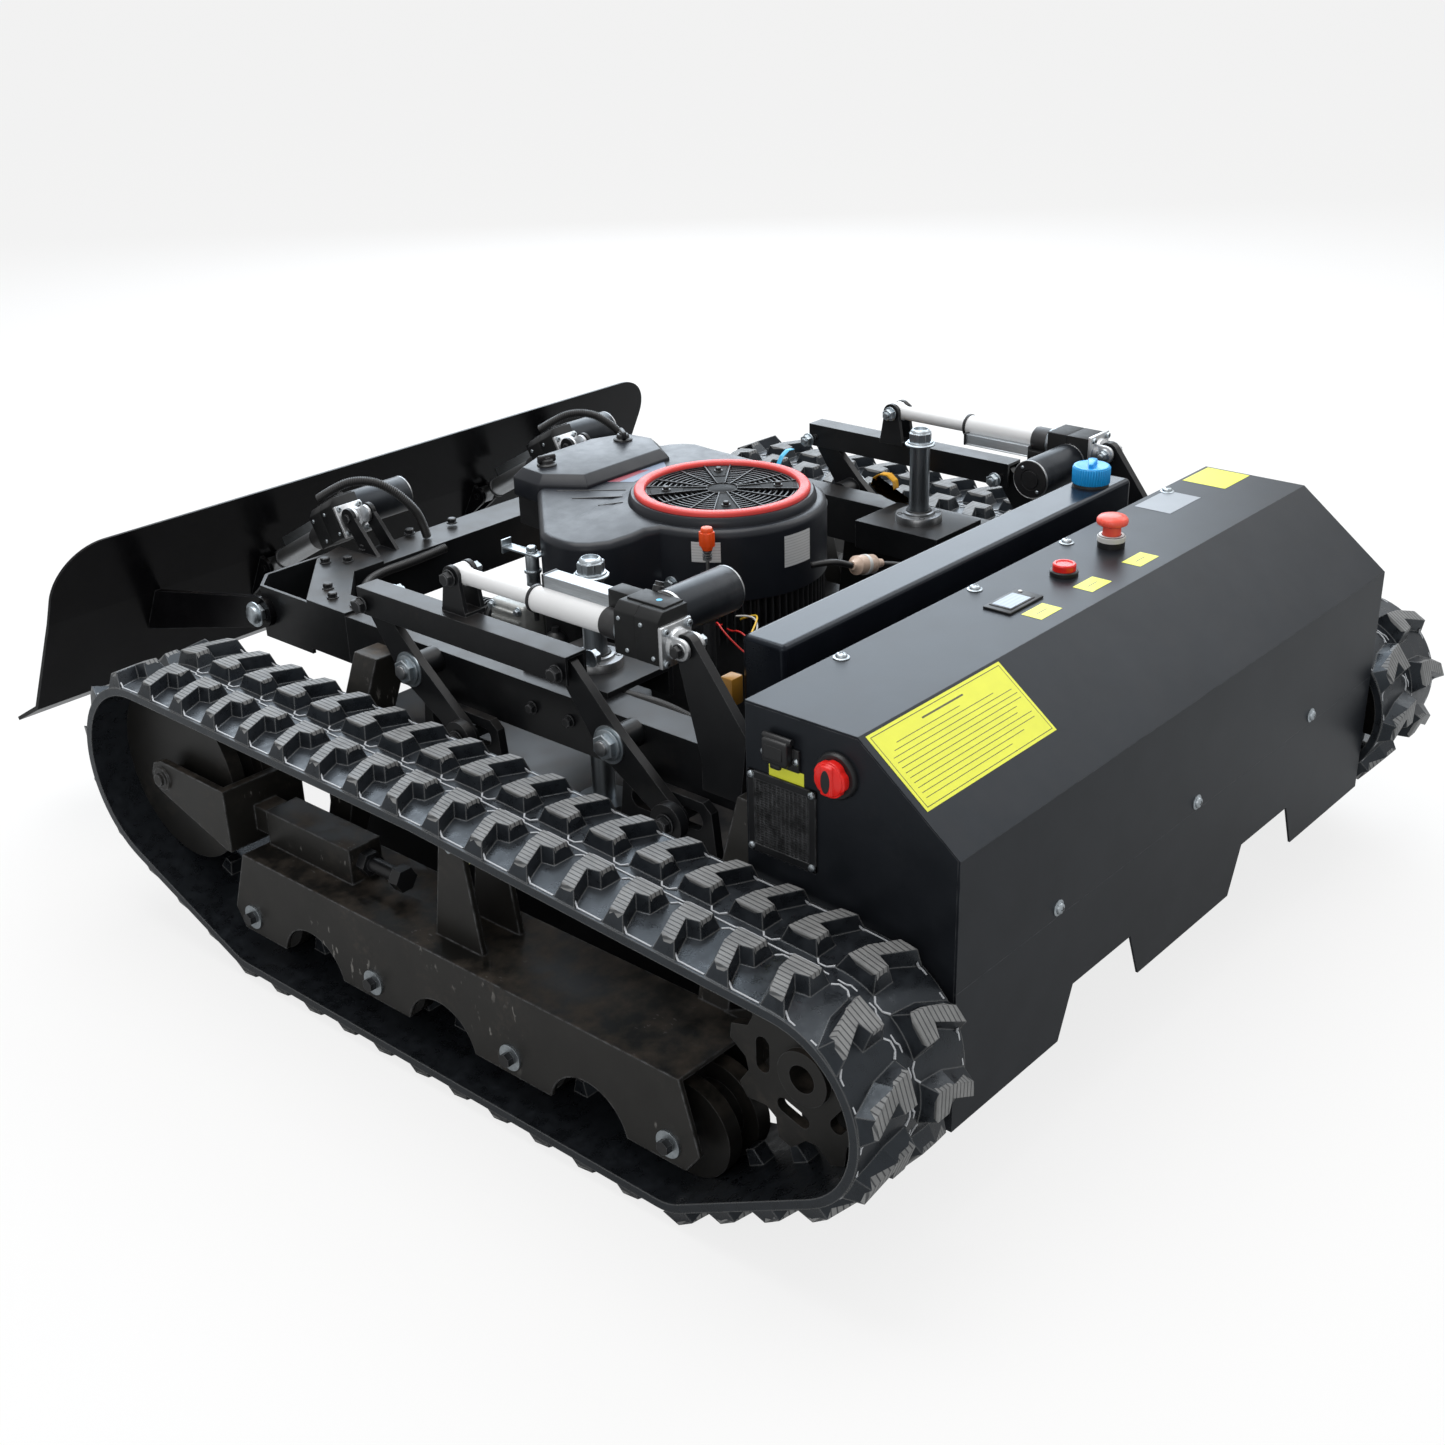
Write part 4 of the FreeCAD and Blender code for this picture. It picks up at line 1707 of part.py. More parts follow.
def side_bolts():
    outer = "-track_mid - rail_half"
    inner = "rail_half - track_mid"
    pieces = []
    for k, place in enumerate(wheel_places()):
        washer = bar(f"WheelWasher{k}", "X", "wheel_washer", (f"{outer} - washer_sheet", outer), (place, WHEEL_Z))
        head = hex_bar(f"WheelHead{k}", "X", "wheel_nut",
                   (f"{outer} - washer_sheet - head_thick", f"{outer} - washer_sheet / 2"), (place, WHEEL_Z))
        shank = bar(f"WheelShank{k}", "X", "axle_radius", (f"{outer} - washer_sheet / 2", inner),
                    (place, WHEEL_Z))
        pieces.append(fuse(f"WheelBolt{k}", washer, head, shank))
    reach = "(bracket_in + bracket_sheet)"
    pieces.append(bolt("CarrierBolt", "X", "axle_radius", "wheel_washer",
                       (f"-track_mid - {reach} - washer_sheet", f"-track_mid - {reach}"),
                       (f"-track_mid - {reach} - washer_sheet / 2", f"{reach} - track_mid"),
                       ("carrier_y", "carrier_z")))
    for k, place in enumerate((FRONT_PIVOT, REAR_PIVOT)):
        pieces.append(bolt(f"LeverBolt{k}", "X", "lever_bolt", "lever_bolt * 1.6",
                           ("-lever_x - lever_thick / 2 - face_gap - head_thick",
                            "-lever_x - lever_thick / 2 - face_gap"),
                           ("-lever_x - lever_thick / 2 - face_gap * 2", "-beam_out"),
                           (place, "lever_pivot_z")))
    pieces.append(bolt("HingeBolt", "X", "pivot_bolt", "pivot_head",
                       ("-beam_out - face_gap * 2 - dozer_arm_thick - head_thick",
                        "-beam_out - face_gap * 2 - dozer_arm_thick"),
                       ("-beam_out - face_gap * 3 - dozer_arm_thick", "arm_plate * 2 - beam_out"),
                       ("dozer_pivot_y", "dozer_pivot_z")))
    axis = ("-track_mid", "rail_top + tube_half")
    bolt_end = "tube_rear - tension_long"
    stem_end = "fork_rear - fork_bridge - fork_stem_long"
    screw = bar("TensionScrew", "Y", "tension_bolt", (bolt_end, f"{stem_end} - fork_travel - face_gap"), axis)
    head = hex_bar("TensionHead", "Y", "tension_nut",
                   (f"{bolt_end} - tension_nut_tall", f"{bolt_end} + seat_sink"), axis)
    nut = hex_bar("TensionNut", "Y", "tension_nut", ("tube_rear - tension_nut_tall", "tube_rear"), axis)
    pieces.append(fuse("TensionBolt", screw, head, nut))
    return pieces


def fasteners():
    left = side_bolts()
    right = [mirrored(item.Name + "Right", item) for item in left]
    screws = []
    step = "(cab_half - cab_inset)"
    for k, share in enumerate(SCREW_SHARES):
        screws.append(bar(f"CoverScrew{k}", "Z", "small_bolt", ("cab_top", "cab_top + small_head"),
                          (f"{step} * ({share})", "cab_front - small_bolt * 2")))
    for k in (-1, 0, 1):
        screws.append(bar(f"SeamScrew{k + 1}", "Y", "small_bolt", ("cab_rear - small_head", "cab_rear"),
                          (f"({k}) * seam_screw", "cab_seam + small_bolt * 2")))
    return group("Fasteners", *left, *right, *screws)


# Places of the cover's screws as shares of its half width
SCREW_SHARES = (-0.74, -0.2, 0.23, 0.77)

node("fasteners", fasteners())


# Cable conduits: one arches over the left blade actuator, one runs along the frame
BLADE_ROUTE = (
    (-264, 500, 503), (-254, 479, 518), (-234, 457, 531), (-212, 429, 530),
    (-191, 412, 513), (-172, 399, 488), (-156, 398, 463), (-149, 397, 432),
)
FRAME_ROUTE = (
    (-152, 353.9, 424), (-215, 354.5, 420), (-286, 353.6, 422), (-332, 326, 420),
    (-369, 272, 421), (-372, 205, 418), (-371.6, 135, 421), (-372.2, 70, 417),
)


def route_wire(points, name):
    """Straight runs joined by tangent arcs, each as large as its runs allow."""
    places = [Vector(*point) for point in points]
    edges = []
    radii = []
    start = places[0]
    for k in range(1, len(places) - 1):
        back = places[k - 1] - places[k]
        ahead = places[k + 1] - places[k]
        turn = math.pi - back.getAngle(ahead)
        tangent = BEND_SHARE * min(back.Length, ahead.Length)
        radii.append(tangent / math.tan(turn / 2))
        back.normalize()
        ahead.normalize()
        first = places[k] + back * tangent
        last = places[k] + ahead * tangent
        bisector = (back + ahead).normalize()
        crown = places[k] + bisector * radii[-1] * (1 / math.cos(turn / 2) - 1)
        edges.append(Part.LineSegment(start, first).toShape())
        edges.append(Part.Arc(first, crown, last).toShape())
        start = last
    edges.append(Part.LineSegment(start, places[-1]).toShape())
    print(name, "bend radii", [round(radius) for radius in radii])
    return Part.Wire(edges)


# How much of the shorter run a bend takes up
BEND_SHARE = 0.45


def tube_along(wire, radius):
    first = wire.Edges[0]
    heading = first.tangentAt(first.FirstParameter)
    ring = Part.Wire(Part.Circle(first.Vertexes[0].Point, heading, radius).toShape())
    return wire.makePipeShell([ring], True, False)


def conduit(points, name):
    wire = route_wire(points, name)
    tube = tube_along(wire, size("conduit_radius"))
    section = math.pi * size("conduit_radius") ** 2
    print(name, "volume over section times length", round(tube.Volume / (section * wire.Length), 4))
    return tube.cut(tube_along(wire, size("conduit_bore")))


conduits = [solid("BladeConduit", conduit(BLADE_ROUTE, "blade conduit")),
            solid("FrameConduit", conduit(FRAME_ROUTE, "frame conduit"))]
node("cable_conduits", group("CableConduits", *conduits))


# Check the document, then write each sub-part
doc.recompute()
faults = [item.Name for item in doc.Objects if "Invalid" in item.State or "Error" in item.State]
for item in NODES:
    if item.Shape.isNull() or not item.Shape.isValid():
        faults.append(item.Label)
if faults:
    raise RuntimeError(f"faulty pieces: {faults}")
for item in NODES:
    item.Shape.exportStep(f"parts/{item.Label}.step")
print(len(NODES), "sub-parts written")
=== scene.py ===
import math

import bmesh
import bpy
from mathutils import Matrix, Vector
from mathutils.bvhtree import BVHTree


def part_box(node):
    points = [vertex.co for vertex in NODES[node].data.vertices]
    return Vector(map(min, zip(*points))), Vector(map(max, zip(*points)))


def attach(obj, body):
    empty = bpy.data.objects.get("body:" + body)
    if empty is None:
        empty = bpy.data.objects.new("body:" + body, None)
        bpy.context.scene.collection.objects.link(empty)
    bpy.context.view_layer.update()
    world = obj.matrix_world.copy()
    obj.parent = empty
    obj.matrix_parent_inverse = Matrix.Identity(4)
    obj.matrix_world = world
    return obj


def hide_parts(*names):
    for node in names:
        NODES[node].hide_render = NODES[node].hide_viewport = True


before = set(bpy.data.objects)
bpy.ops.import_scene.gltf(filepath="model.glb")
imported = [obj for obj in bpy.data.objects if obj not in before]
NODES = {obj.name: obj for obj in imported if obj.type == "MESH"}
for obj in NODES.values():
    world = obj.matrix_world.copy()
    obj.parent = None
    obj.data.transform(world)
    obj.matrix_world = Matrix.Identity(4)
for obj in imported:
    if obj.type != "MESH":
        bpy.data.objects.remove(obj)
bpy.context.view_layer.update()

bl_info = {
    "name": "Slope mower dresser",
    "version": (1, 0, 0),
    "blender": (4, 5, 0),
    "location": "3D View > Sidebar > Mower",
    "description": "Adds the finishes, fittings and studio of a tracked remote control slope mower",
    "category": "Object",
}

MM = 0.001
SIDES = (("left", -1), ("right", 1))
UP, FORWARD, RIGHT = (0, 0, 1), (0, 1, 0), (1, 0, 0)

# Places that several pieces share, in millimetres
SHAFT_Y = -74
CABINET_TOP = 553
CABINET_SIDE = -507


# Colours

def linear(code):
    """Turn an sRGB hex value into linear red, green and blue."""
    parts = [int(code[k:k + 2], 16) / 255 for k in (1, 3, 5)]
    return tuple(part / 12.92 if part <= 0.04045 else ((part + 0.055) / 1.055) ** 2.4 for part in parts)


def colour(label, code):
    """A colour that a user may change."""
    return bpy.props.FloatVectorProperty(
        name=label, description=f"Colour of the {label.lower()}", subtype="COLOR", size=3,
        min=0, max=1, default=linear(code))


def length(label, value, words):
    """A size that a user may change, given in millimetres."""
    return bpy.props.FloatProperty(name=label, description=words, default=value * MM, unit="LENGTH",
                                   min=0, precision=4)


class MowerColours(bpy.types.PropertyGroup):
    frame_paint: colour("Frame powder coat", "#141517")
    cabinet_paint: colour("Cabinet powder coat", "#16181c")
    dust: colour("Dried mud dust", "#6b6157")
    tank_paint: colour("Tank enamel", "#12151b")
    blade_paint: colour("Blade enamel", "#08080a")
    rubber: colour("Track rubber", "#16181b")
    # Also the pale colour of the belt's edges, which is partly wear and partly painted highlight
    rubber_worn: colour("Worn lug tops", "#868685")
    zinc: colour("Zinc plate", "#c3ccd2")
    aluminium: colour("Anodised aluminium", "#cfd1d3")
    enamel: colour("White enamel", "#e6e7e8")
    moulding: colour("Engine moulding", "#191c22")
    ring: colour("Intake ring", "#cf3a35")
    knob: colour("Dipstick knob", "#f0521a")
    cap: colour("Fuel cap", "#1f9ce0")
    button: colour("Push buttons", "#e3221d")
    label: colour("Label film", "#e9ec3e")
    strap: colour("Yellow strap", "#e0a52a")


class MowerSizes(bpy.types.PropertyGroup):
    film: length("Label film", 0.3, "Thickness of the labels")
    conduit: length("Conduit", 14, "Outside diameter of the corrugated conduits")
    conduit_pitch: length("Conduit pitch", 3.2, "Spacing of a conduit's ribs")
    grille_bar: length("Grille bar", 2.0, "Width of the intake grille's rings")


# Node materials

TIMES = {"operation": "MULTIPLY"}
LARGER = {"operation": "MAXIMUM"}
COLOURS = {"data_type": "RGBA"}


def fill(tree, node, links):
    """Fill a node's inputs with numbers, colours or other nodes' outputs."""
    for name, value in links.items():
        socket = node.inputs[name]
        if isinstance(value, bpy.types.NodeSocket):
            tree.links.new(value, socket)
        else:
            socket.default_value = (*value[:3], 1) if socket.type == "RGBA" else value


def add(tree, kind, links=None, out=0, **settings):
    """Add a node with its settings, fill its inputs, and give one of its outputs.

    A MapRange's inputs are the value, the range it comes from (1, 2) and the range it goes to (3, 4).
    A Mix of colours has its factor at 0, its colours at 6 and 7, and its output at 2.
    """
    node = tree.nodes.new("ShaderNode" + kind)
    for name, value in settings.items():
        setattr(node, name, value)
    fill(tree, node, links or {})
    return node.outputs[out]


def started(name):
    """A new material with its node tree and object coordinates."""
    material = bpy.data.materials.new(name)
    material.use_nodes = True
    tree = material.node_tree
    return material, tree, add(tree, "TexCoord", out="Object")


def finished(material, links):
    """Fill the inputs of the material's shader."""
    fill(material.node_tree, material.node_tree.nodes["Principled BSDF"], links)
    return material


def mottled(tree, place, size_mm, low=0.4, high=0.6, detail=4.0, rough=0.6):
    """Patches about size_mm across, from 0 to 1."""
    noise = add(tree, "TexNoise", {"Vector": place, "Scale": 1 / (size_mm * MM), "Detail": detail,
                                   "Roughness": rough})
    return add(tree, "MapRange", {0: noise, 1: low, 2: high})


def drifting(tree, place, base, size_mm, spread, low=0.3, high=0.7):
    """A colour that drifts over patches, as far as itself times the spread."""
    return add(tree, "Mix", {0: mottled(tree, place, size_mm, low, high), 6: base,
                             7: [min(1.0, part * spread) for part in base]}, 2, **COLOURS)


def upward(tree, low=0.55, high=0.95):
    """1 where a surface faces up, 0 on its sides."""
    normal = add(tree, "NewGeometry", out="Normal")
    return add(tree, "MapRange", {0: add(tree, "SeparateXYZ", {0: normal}, "Z"), 1: low, 2: high})


def edge_wear_and_highlight(tree, radius_mm, low=0.0015, high=0.06):
    """1 along the edges, where the rounded normal leaves the flat one; the edges it marks are paled, partly as
    wear and partly as painted highlight.
    """
    soft = add(tree, "Bevel", {"Radius": radius_mm * MM}, samples=4)
    flat = add(tree, "NewGeometry", out="True Normal")
    match = add(tree, "VectorMath", {0: soft, 1: flat}, "Value", operation="DOT_PRODUCT")
    gap = add(tree, "Math", {0: 1.0, 1: match}, operation="SUBTRACT")
    return add(tree, "MapRange", {0: gap, 1: low, 2: high})


def skin(tree, place, grain_mm, deep_mm, edge_mm, detail=2.0):
    """The normal of a fine grain, of real size and depth, over edges that are rounded off."""
    grain = add(tree, "TexNoise", {"Vector": place, "Scale": 1 / (grain_mm * MM), "Detail": detail})
    soft = add(tree, "Bevel", {"Radius": edge_mm * MM}, samples=4)
    return add(tree, "Bump", {"Height": grain, "Distance": deep_mm * MM, "Normal": soft})


def powder_coat(name, base, roughness=0.4, peel_mm=1.4, peel_deep=0.02, dust=None, dusty=0.0, edge_mm=1.2,
                worn=0.35, specular=0.4, painted_reflection_tint=(1, 1, 1), scratched=0.0):
    """Powder coat on steel: satin, with fine orange peel, pale edges that are partly wear and partly painted
    highlight, and dust where it lies.
    """
    material, tree, place = started(name)
    tone = add(tree, "Mix", {0: mottled(tree, place, 60, 0.3, 0.7), 6: base,
                             7: [min(1, part * 1.35 + 0.002) for part in base]}, 2, **COLOURS)
    if dusty:
        lying = add(tree, "Math", {0: upward(tree), 1: mottled(tree, place, 45, 0.42, 0.68, 7.0, 0.65)},
                    **TIMES)
        smears = add(tree, "Math", {0: mottled(tree, place, 110, 0.52, 0.7, 6.0),
                                    1: mottled(tree, place, 9, 0.45, 0.65)}, **TIMES)
        cover = add(tree, "Math", {0: lying, 1: add(tree, "Math", {0: smears, 1: 0.35},
                                                    **TIMES)}, **LARGER)
        thick = add(tree, "Math", {0: cover, 1: dusty}, **TIMES)
        tone = add(tree, "Mix", {0: thick, 6: tone, 7: dust}, 2, **COLOURS)
        matt = add(tree, "Math", {0: cover, 1: min(1, dusty * 1.3)}, **TIMES)
        matt = add(tree, "MapRange", {0: matt, 3: roughness, 4: 0.8})
    else:
        matt = add(tree, "MapRange", {0: mottled(tree, place, 35, 0.3, 0.7), 3: roughness - 0.04,
                                      4: roughness + 0.06})
    if scratched:
        drawn = add(tree, "Mapping", {"Vector": place, "Scale": (1, 0.5, 0.22), "Rotation": (0.35, 0, 0)})
        marks = add(tree, "Math", {0: mottled(tree, drawn, 5, 0.62, 0.68, 3.0),
                                   1: mottled(tree, place, 90, 0.56, 0.64, 2.0)}, **TIMES)
        marks = add(tree, "Math", {0: marks, 1: scratched}, **TIMES)
        tone = add(tree, "Mix", {0: marks, 6: tone, 7: linear("#8c8a86")}, 2, **COLOURS)
    # Pale grey edges: partly worn paint, partly a painted highlight along the rounded edges
    rubbed_and_highlit = add(tree, "Math", {0: edge_wear_and_highlight(tree, edge_mm),
                                1: mottled(tree, place, 14, 0.35, 0.6)}, **TIMES)
    rubbed_and_highlit = add(tree, "Math", {0: rubbed_and_highlit, 1: worn}, **TIMES)
    tone = add(tree, "Mix", {0: rubbed_and_highlit, 6: tone, 7: linear("#8d8f92")}, 2, **COLOURS)
    # The specular tint is a painted reflection: it turns the reflections bluish, like a blue sky's
    return finished(material, {"Base Color": tone, "Roughness": matt, "Specular IOR Level": specular,
                               "Specular Tint": painted_reflection_tint, "Normal": skin(tree, place, peel_mm,
                                                                     peel_deep, edge_mm)})


def track_rubber(name, base, ribbed, worn_and_highlight_colour):
    """Moulded carbon-black rubber: matt where it is scuffed, with the ribs moulded into the lug tops and pale
    edges that are partly wear and partly painted highlight.
    """
    material, tree, place = started(name)
    spots = mottled(tree, place, 18, 0.35, 0.7, 6.0)
    tone = add(tree, "Mix", {0: spots, 6: base, 7: [part * 1.9 for part in base]}, 2, **COLOURS)
    # Pale edges: partly wear, partly a painted highlight
    rubbed_and_highlit = add(tree, "Math", {0: edge_wear_and_highlight(tree, 2.5, 0.004, 0.12), 1: 0.55}, **TIMES)
    tone = add(tree, "Mix", {0: rubbed_and_highlit, 6: tone, 7: worn_and_highlight_colour}, 2, **COLOURS)
    normal = add(tree, "Bevel", {"Radius": 2.2 * MM}, samples=4)
    if ribbed:
        # Grooves 6.5 mm apart run along the belt, so the wave stacks across it
        ribs = add(tree, "TexWave", {"Vector": place, "Scale": 2 * math.pi / (20 * 6.5 * MM),
                                     "Distortion": 0.5, "Detail": 1.0, "Detail Scale": 0.4}, "Fac",
                   wave_type="BANDS", bands_direction="X", wave_profile="SIN")
        groove = add(tree, "MapRange", {0: ribs, 1: 0.03, 2: 0.16})
        scuffed = add(tree, "MapRange", {0: mottled(tree, place, 30, 0.3, 0.62, 5.0), 3: 0.7, 4: 1.0})
        tone = add(tree, "Mix", {0: scuffed, 6: tone, 7: worn_and_highlight_colour}, 2, **COLOURS)
        sunk = add(tree, "MapRange", {0: groove, 3: 0.7, 4: 0.0})
        tone = add(tree, "Mix", {0: sunk, 6: tone, 7: base}, 2, **COLOURS)
        normal = add(tree, "Bump", {"Height": groove, "Distance": 0.9 * MM, "Normal": normal})
    matt = add(tree, "MapRange", {0: spots, 3: 0.5 if ribbed else 0.22, 4: 0.68 if ribbed else 0.45})
    fine = add(tree, "TexNoise", {"Vector": place, "Scale": 1 / (3 * MM), "Detail": 4.0})
    normal = add(tree, "Bump", {"Height": fine, "Distance": 0.12 * MM, "Normal": normal})
    # The bluish specular tint is a painted sky reflection
    return finished(material, {"Base Color": tone, "Roughness": matt, "Normal": normal,
                               "Specular IOR Level": 0.5, "Specular Tint": (0.78, 0.89, 1.0)})


def zinc_plate(name, base, roughness=0.3):
    """Bright zinc plate on steel: bluish, a little streaked, with soft reflections."""
    material, tree, place = started(name)
    patches = mottled(tree, place, 7, 0.3, 0.7, 5.0)
    tone = add(tree, "Mix", {0: patches, 6: base, 7: [part * 0.72 for part in base]}, 2, **COLOURS)
    matt = add(tree, "MapRange", {0: patches, 3: roughness, 4: roughness + 0.16})
    return finished(material, {"Base Color": tone, "Roughness": matt, "Metallic": 1.0,
                               "Normal": skin(tree, place, 1.5, 0.02, 0.6)})


def bare_metal(name, base, roughness, lines_mm=0.5, along=(1, 1, 0.04), deep=0.01):
    """Turned, ground or drawn metal: fine lines in one direction stretch its reflections."""
    material, tree, place = started(name)
    drawn = add(tree, "Mapping", {"Vector": place, "Scale": along})
    lines = add(tree, "TexNoise", {"Vector": drawn, "Scale": 1 / (lines_mm * MM), "Detail": 3.0})
    faded = add(tree, "MapRange", {0: lines, 1: 0.35, 2: 0.65})
    tone = add(tree, "Mix", {0: faded, 6: base, 7: [part * 0.82 for part in base]}, 2, **COLOURS)
    matt = add(tree, "MapRange", {0: lines, 1: 0.3, 2: 0.7, 3: roughness - 0.05, 4: roughness + 0.08})
    return finished(material, {"Base Color": tone, "Roughness": matt, "Metallic": 1.0,
                               "Normal": skin(tree, drawn, lines_mm, deep, 0.5, 3.0)})


def enamel(name, base, roughness=0.22):
    """Baked enamel: smooth and evenly glossy, with a hint of orange peel."""
    material, tree, place = started(name)
    return finished(material, {"Base Color": drifting(tree, place, base, 80, 0.94), "Roughness": roughness,
                               "Normal": skin(tree, place, 3, 0.015, 0.8, 1.0)})


def moulded_plastic(name, base, roughness=0.45, grain_mm=0.9, deep=0.03, spread=1.25, edge_mm=0.8,
                    specular=0.5):
    """Injection moulded plastic: a fine sparked grain, softened edges, slight colour drift."""
    material, tree, place = started(name)
    matt = add(tree, "MapRange", {0: mottled(tree, place, 22, 0.35, 0.65), 3: roughness - 0.03,
                                  4: roughness + 0.05})
    return finished(material, {"Base Color": drifting(tree, place, base, 50, spread), "Roughness": matt,
                               "Specular IOR Level": specular,
                               "Normal": skin(tree, place, grain_mm, deep, edge_mm)})


def cast_metal(name, base, metallic=0.0, roughness=0.5, grit_mm=1.6, deep=0.12):
    """Sand or die cast metal: an even, slightly pitted skin."""
    material, tree, place = started(name)
    grit = add(tree, "TexNoise", {"Vector": place, "Scale": 1 / (grit_mm * MM), "Detail": 5.0})
    matt = add(tree, "MapRange", {0: grit, 1: 0.3, 2: 0.7, 3: roughness - 0.08, 4: roughness + 0.1})
    return finished(material, {"Base Color": drifting(tree, place, base, 20, 1.3, 0.35, 0.65),
                               "Roughness": matt, "Metallic": metallic,
                               "Normal": skin(tree, place, grit_mm, deep, 1.0, 5.0)})


def printed_film(name, base, rule_mm=None):
    """Vinyl label film: satin, with blank ruled lines where a label would be printed."""
    material, tree, place = started(name)
    tone = drifting(tree, place, base, 30, 0.93)
    if rule_mm:
        stripe = add(tree, "TexWave", {"Vector": place, "Scale": 2 * math.pi / (20 * rule_mm * MM)}, "Fac",
                     wave_type="BANDS", bands_direction="Z", wave_profile="SIN")
        inked = add(tree, "MapRange", {0: stripe, 1: 0.86, 2: 0.96, 4: 0.45})
        tone = add(tree, "Mix", {0: inked, 6: tone, 7: linear("#8a8c90")}, 2, **COLOURS)
    fine = add(tree, "TexNoise", {"Vector": place, "Scale": 1 / (8 * MM)})
    normal = add(tree, "Bump", {"Height": fine, "Distance": 0.02 * MM})
    return finished(material, {"Base Color": tone, "Roughness": 0.38, "Normal": normal})


def screen_glass(name):
    """A small liquid crystal screen behind a clear window: pale grey blue, glossy."""
    material, tree, place = started(name)
    cells = add(tree, "TexWave", {"Vector": place, "Scale": 2 * math.pi / (20 * 6 * MM)}, "Fac",
                wave_type="BANDS", bands_direction="Y")
    shaded = add(tree, "MapRange", {0: cells, 1: 0.4, 2: 0.9, 4: 0.35})
    tone = add(tree, "Mix", {0: shaded, 6: linear("#8b98a8"), 7: linear("#6f7c8c")}, 2, **COLOURS)
    return finished(material, {"Base Color": tone, "Roughness": 0.08})


FINISHES = {}


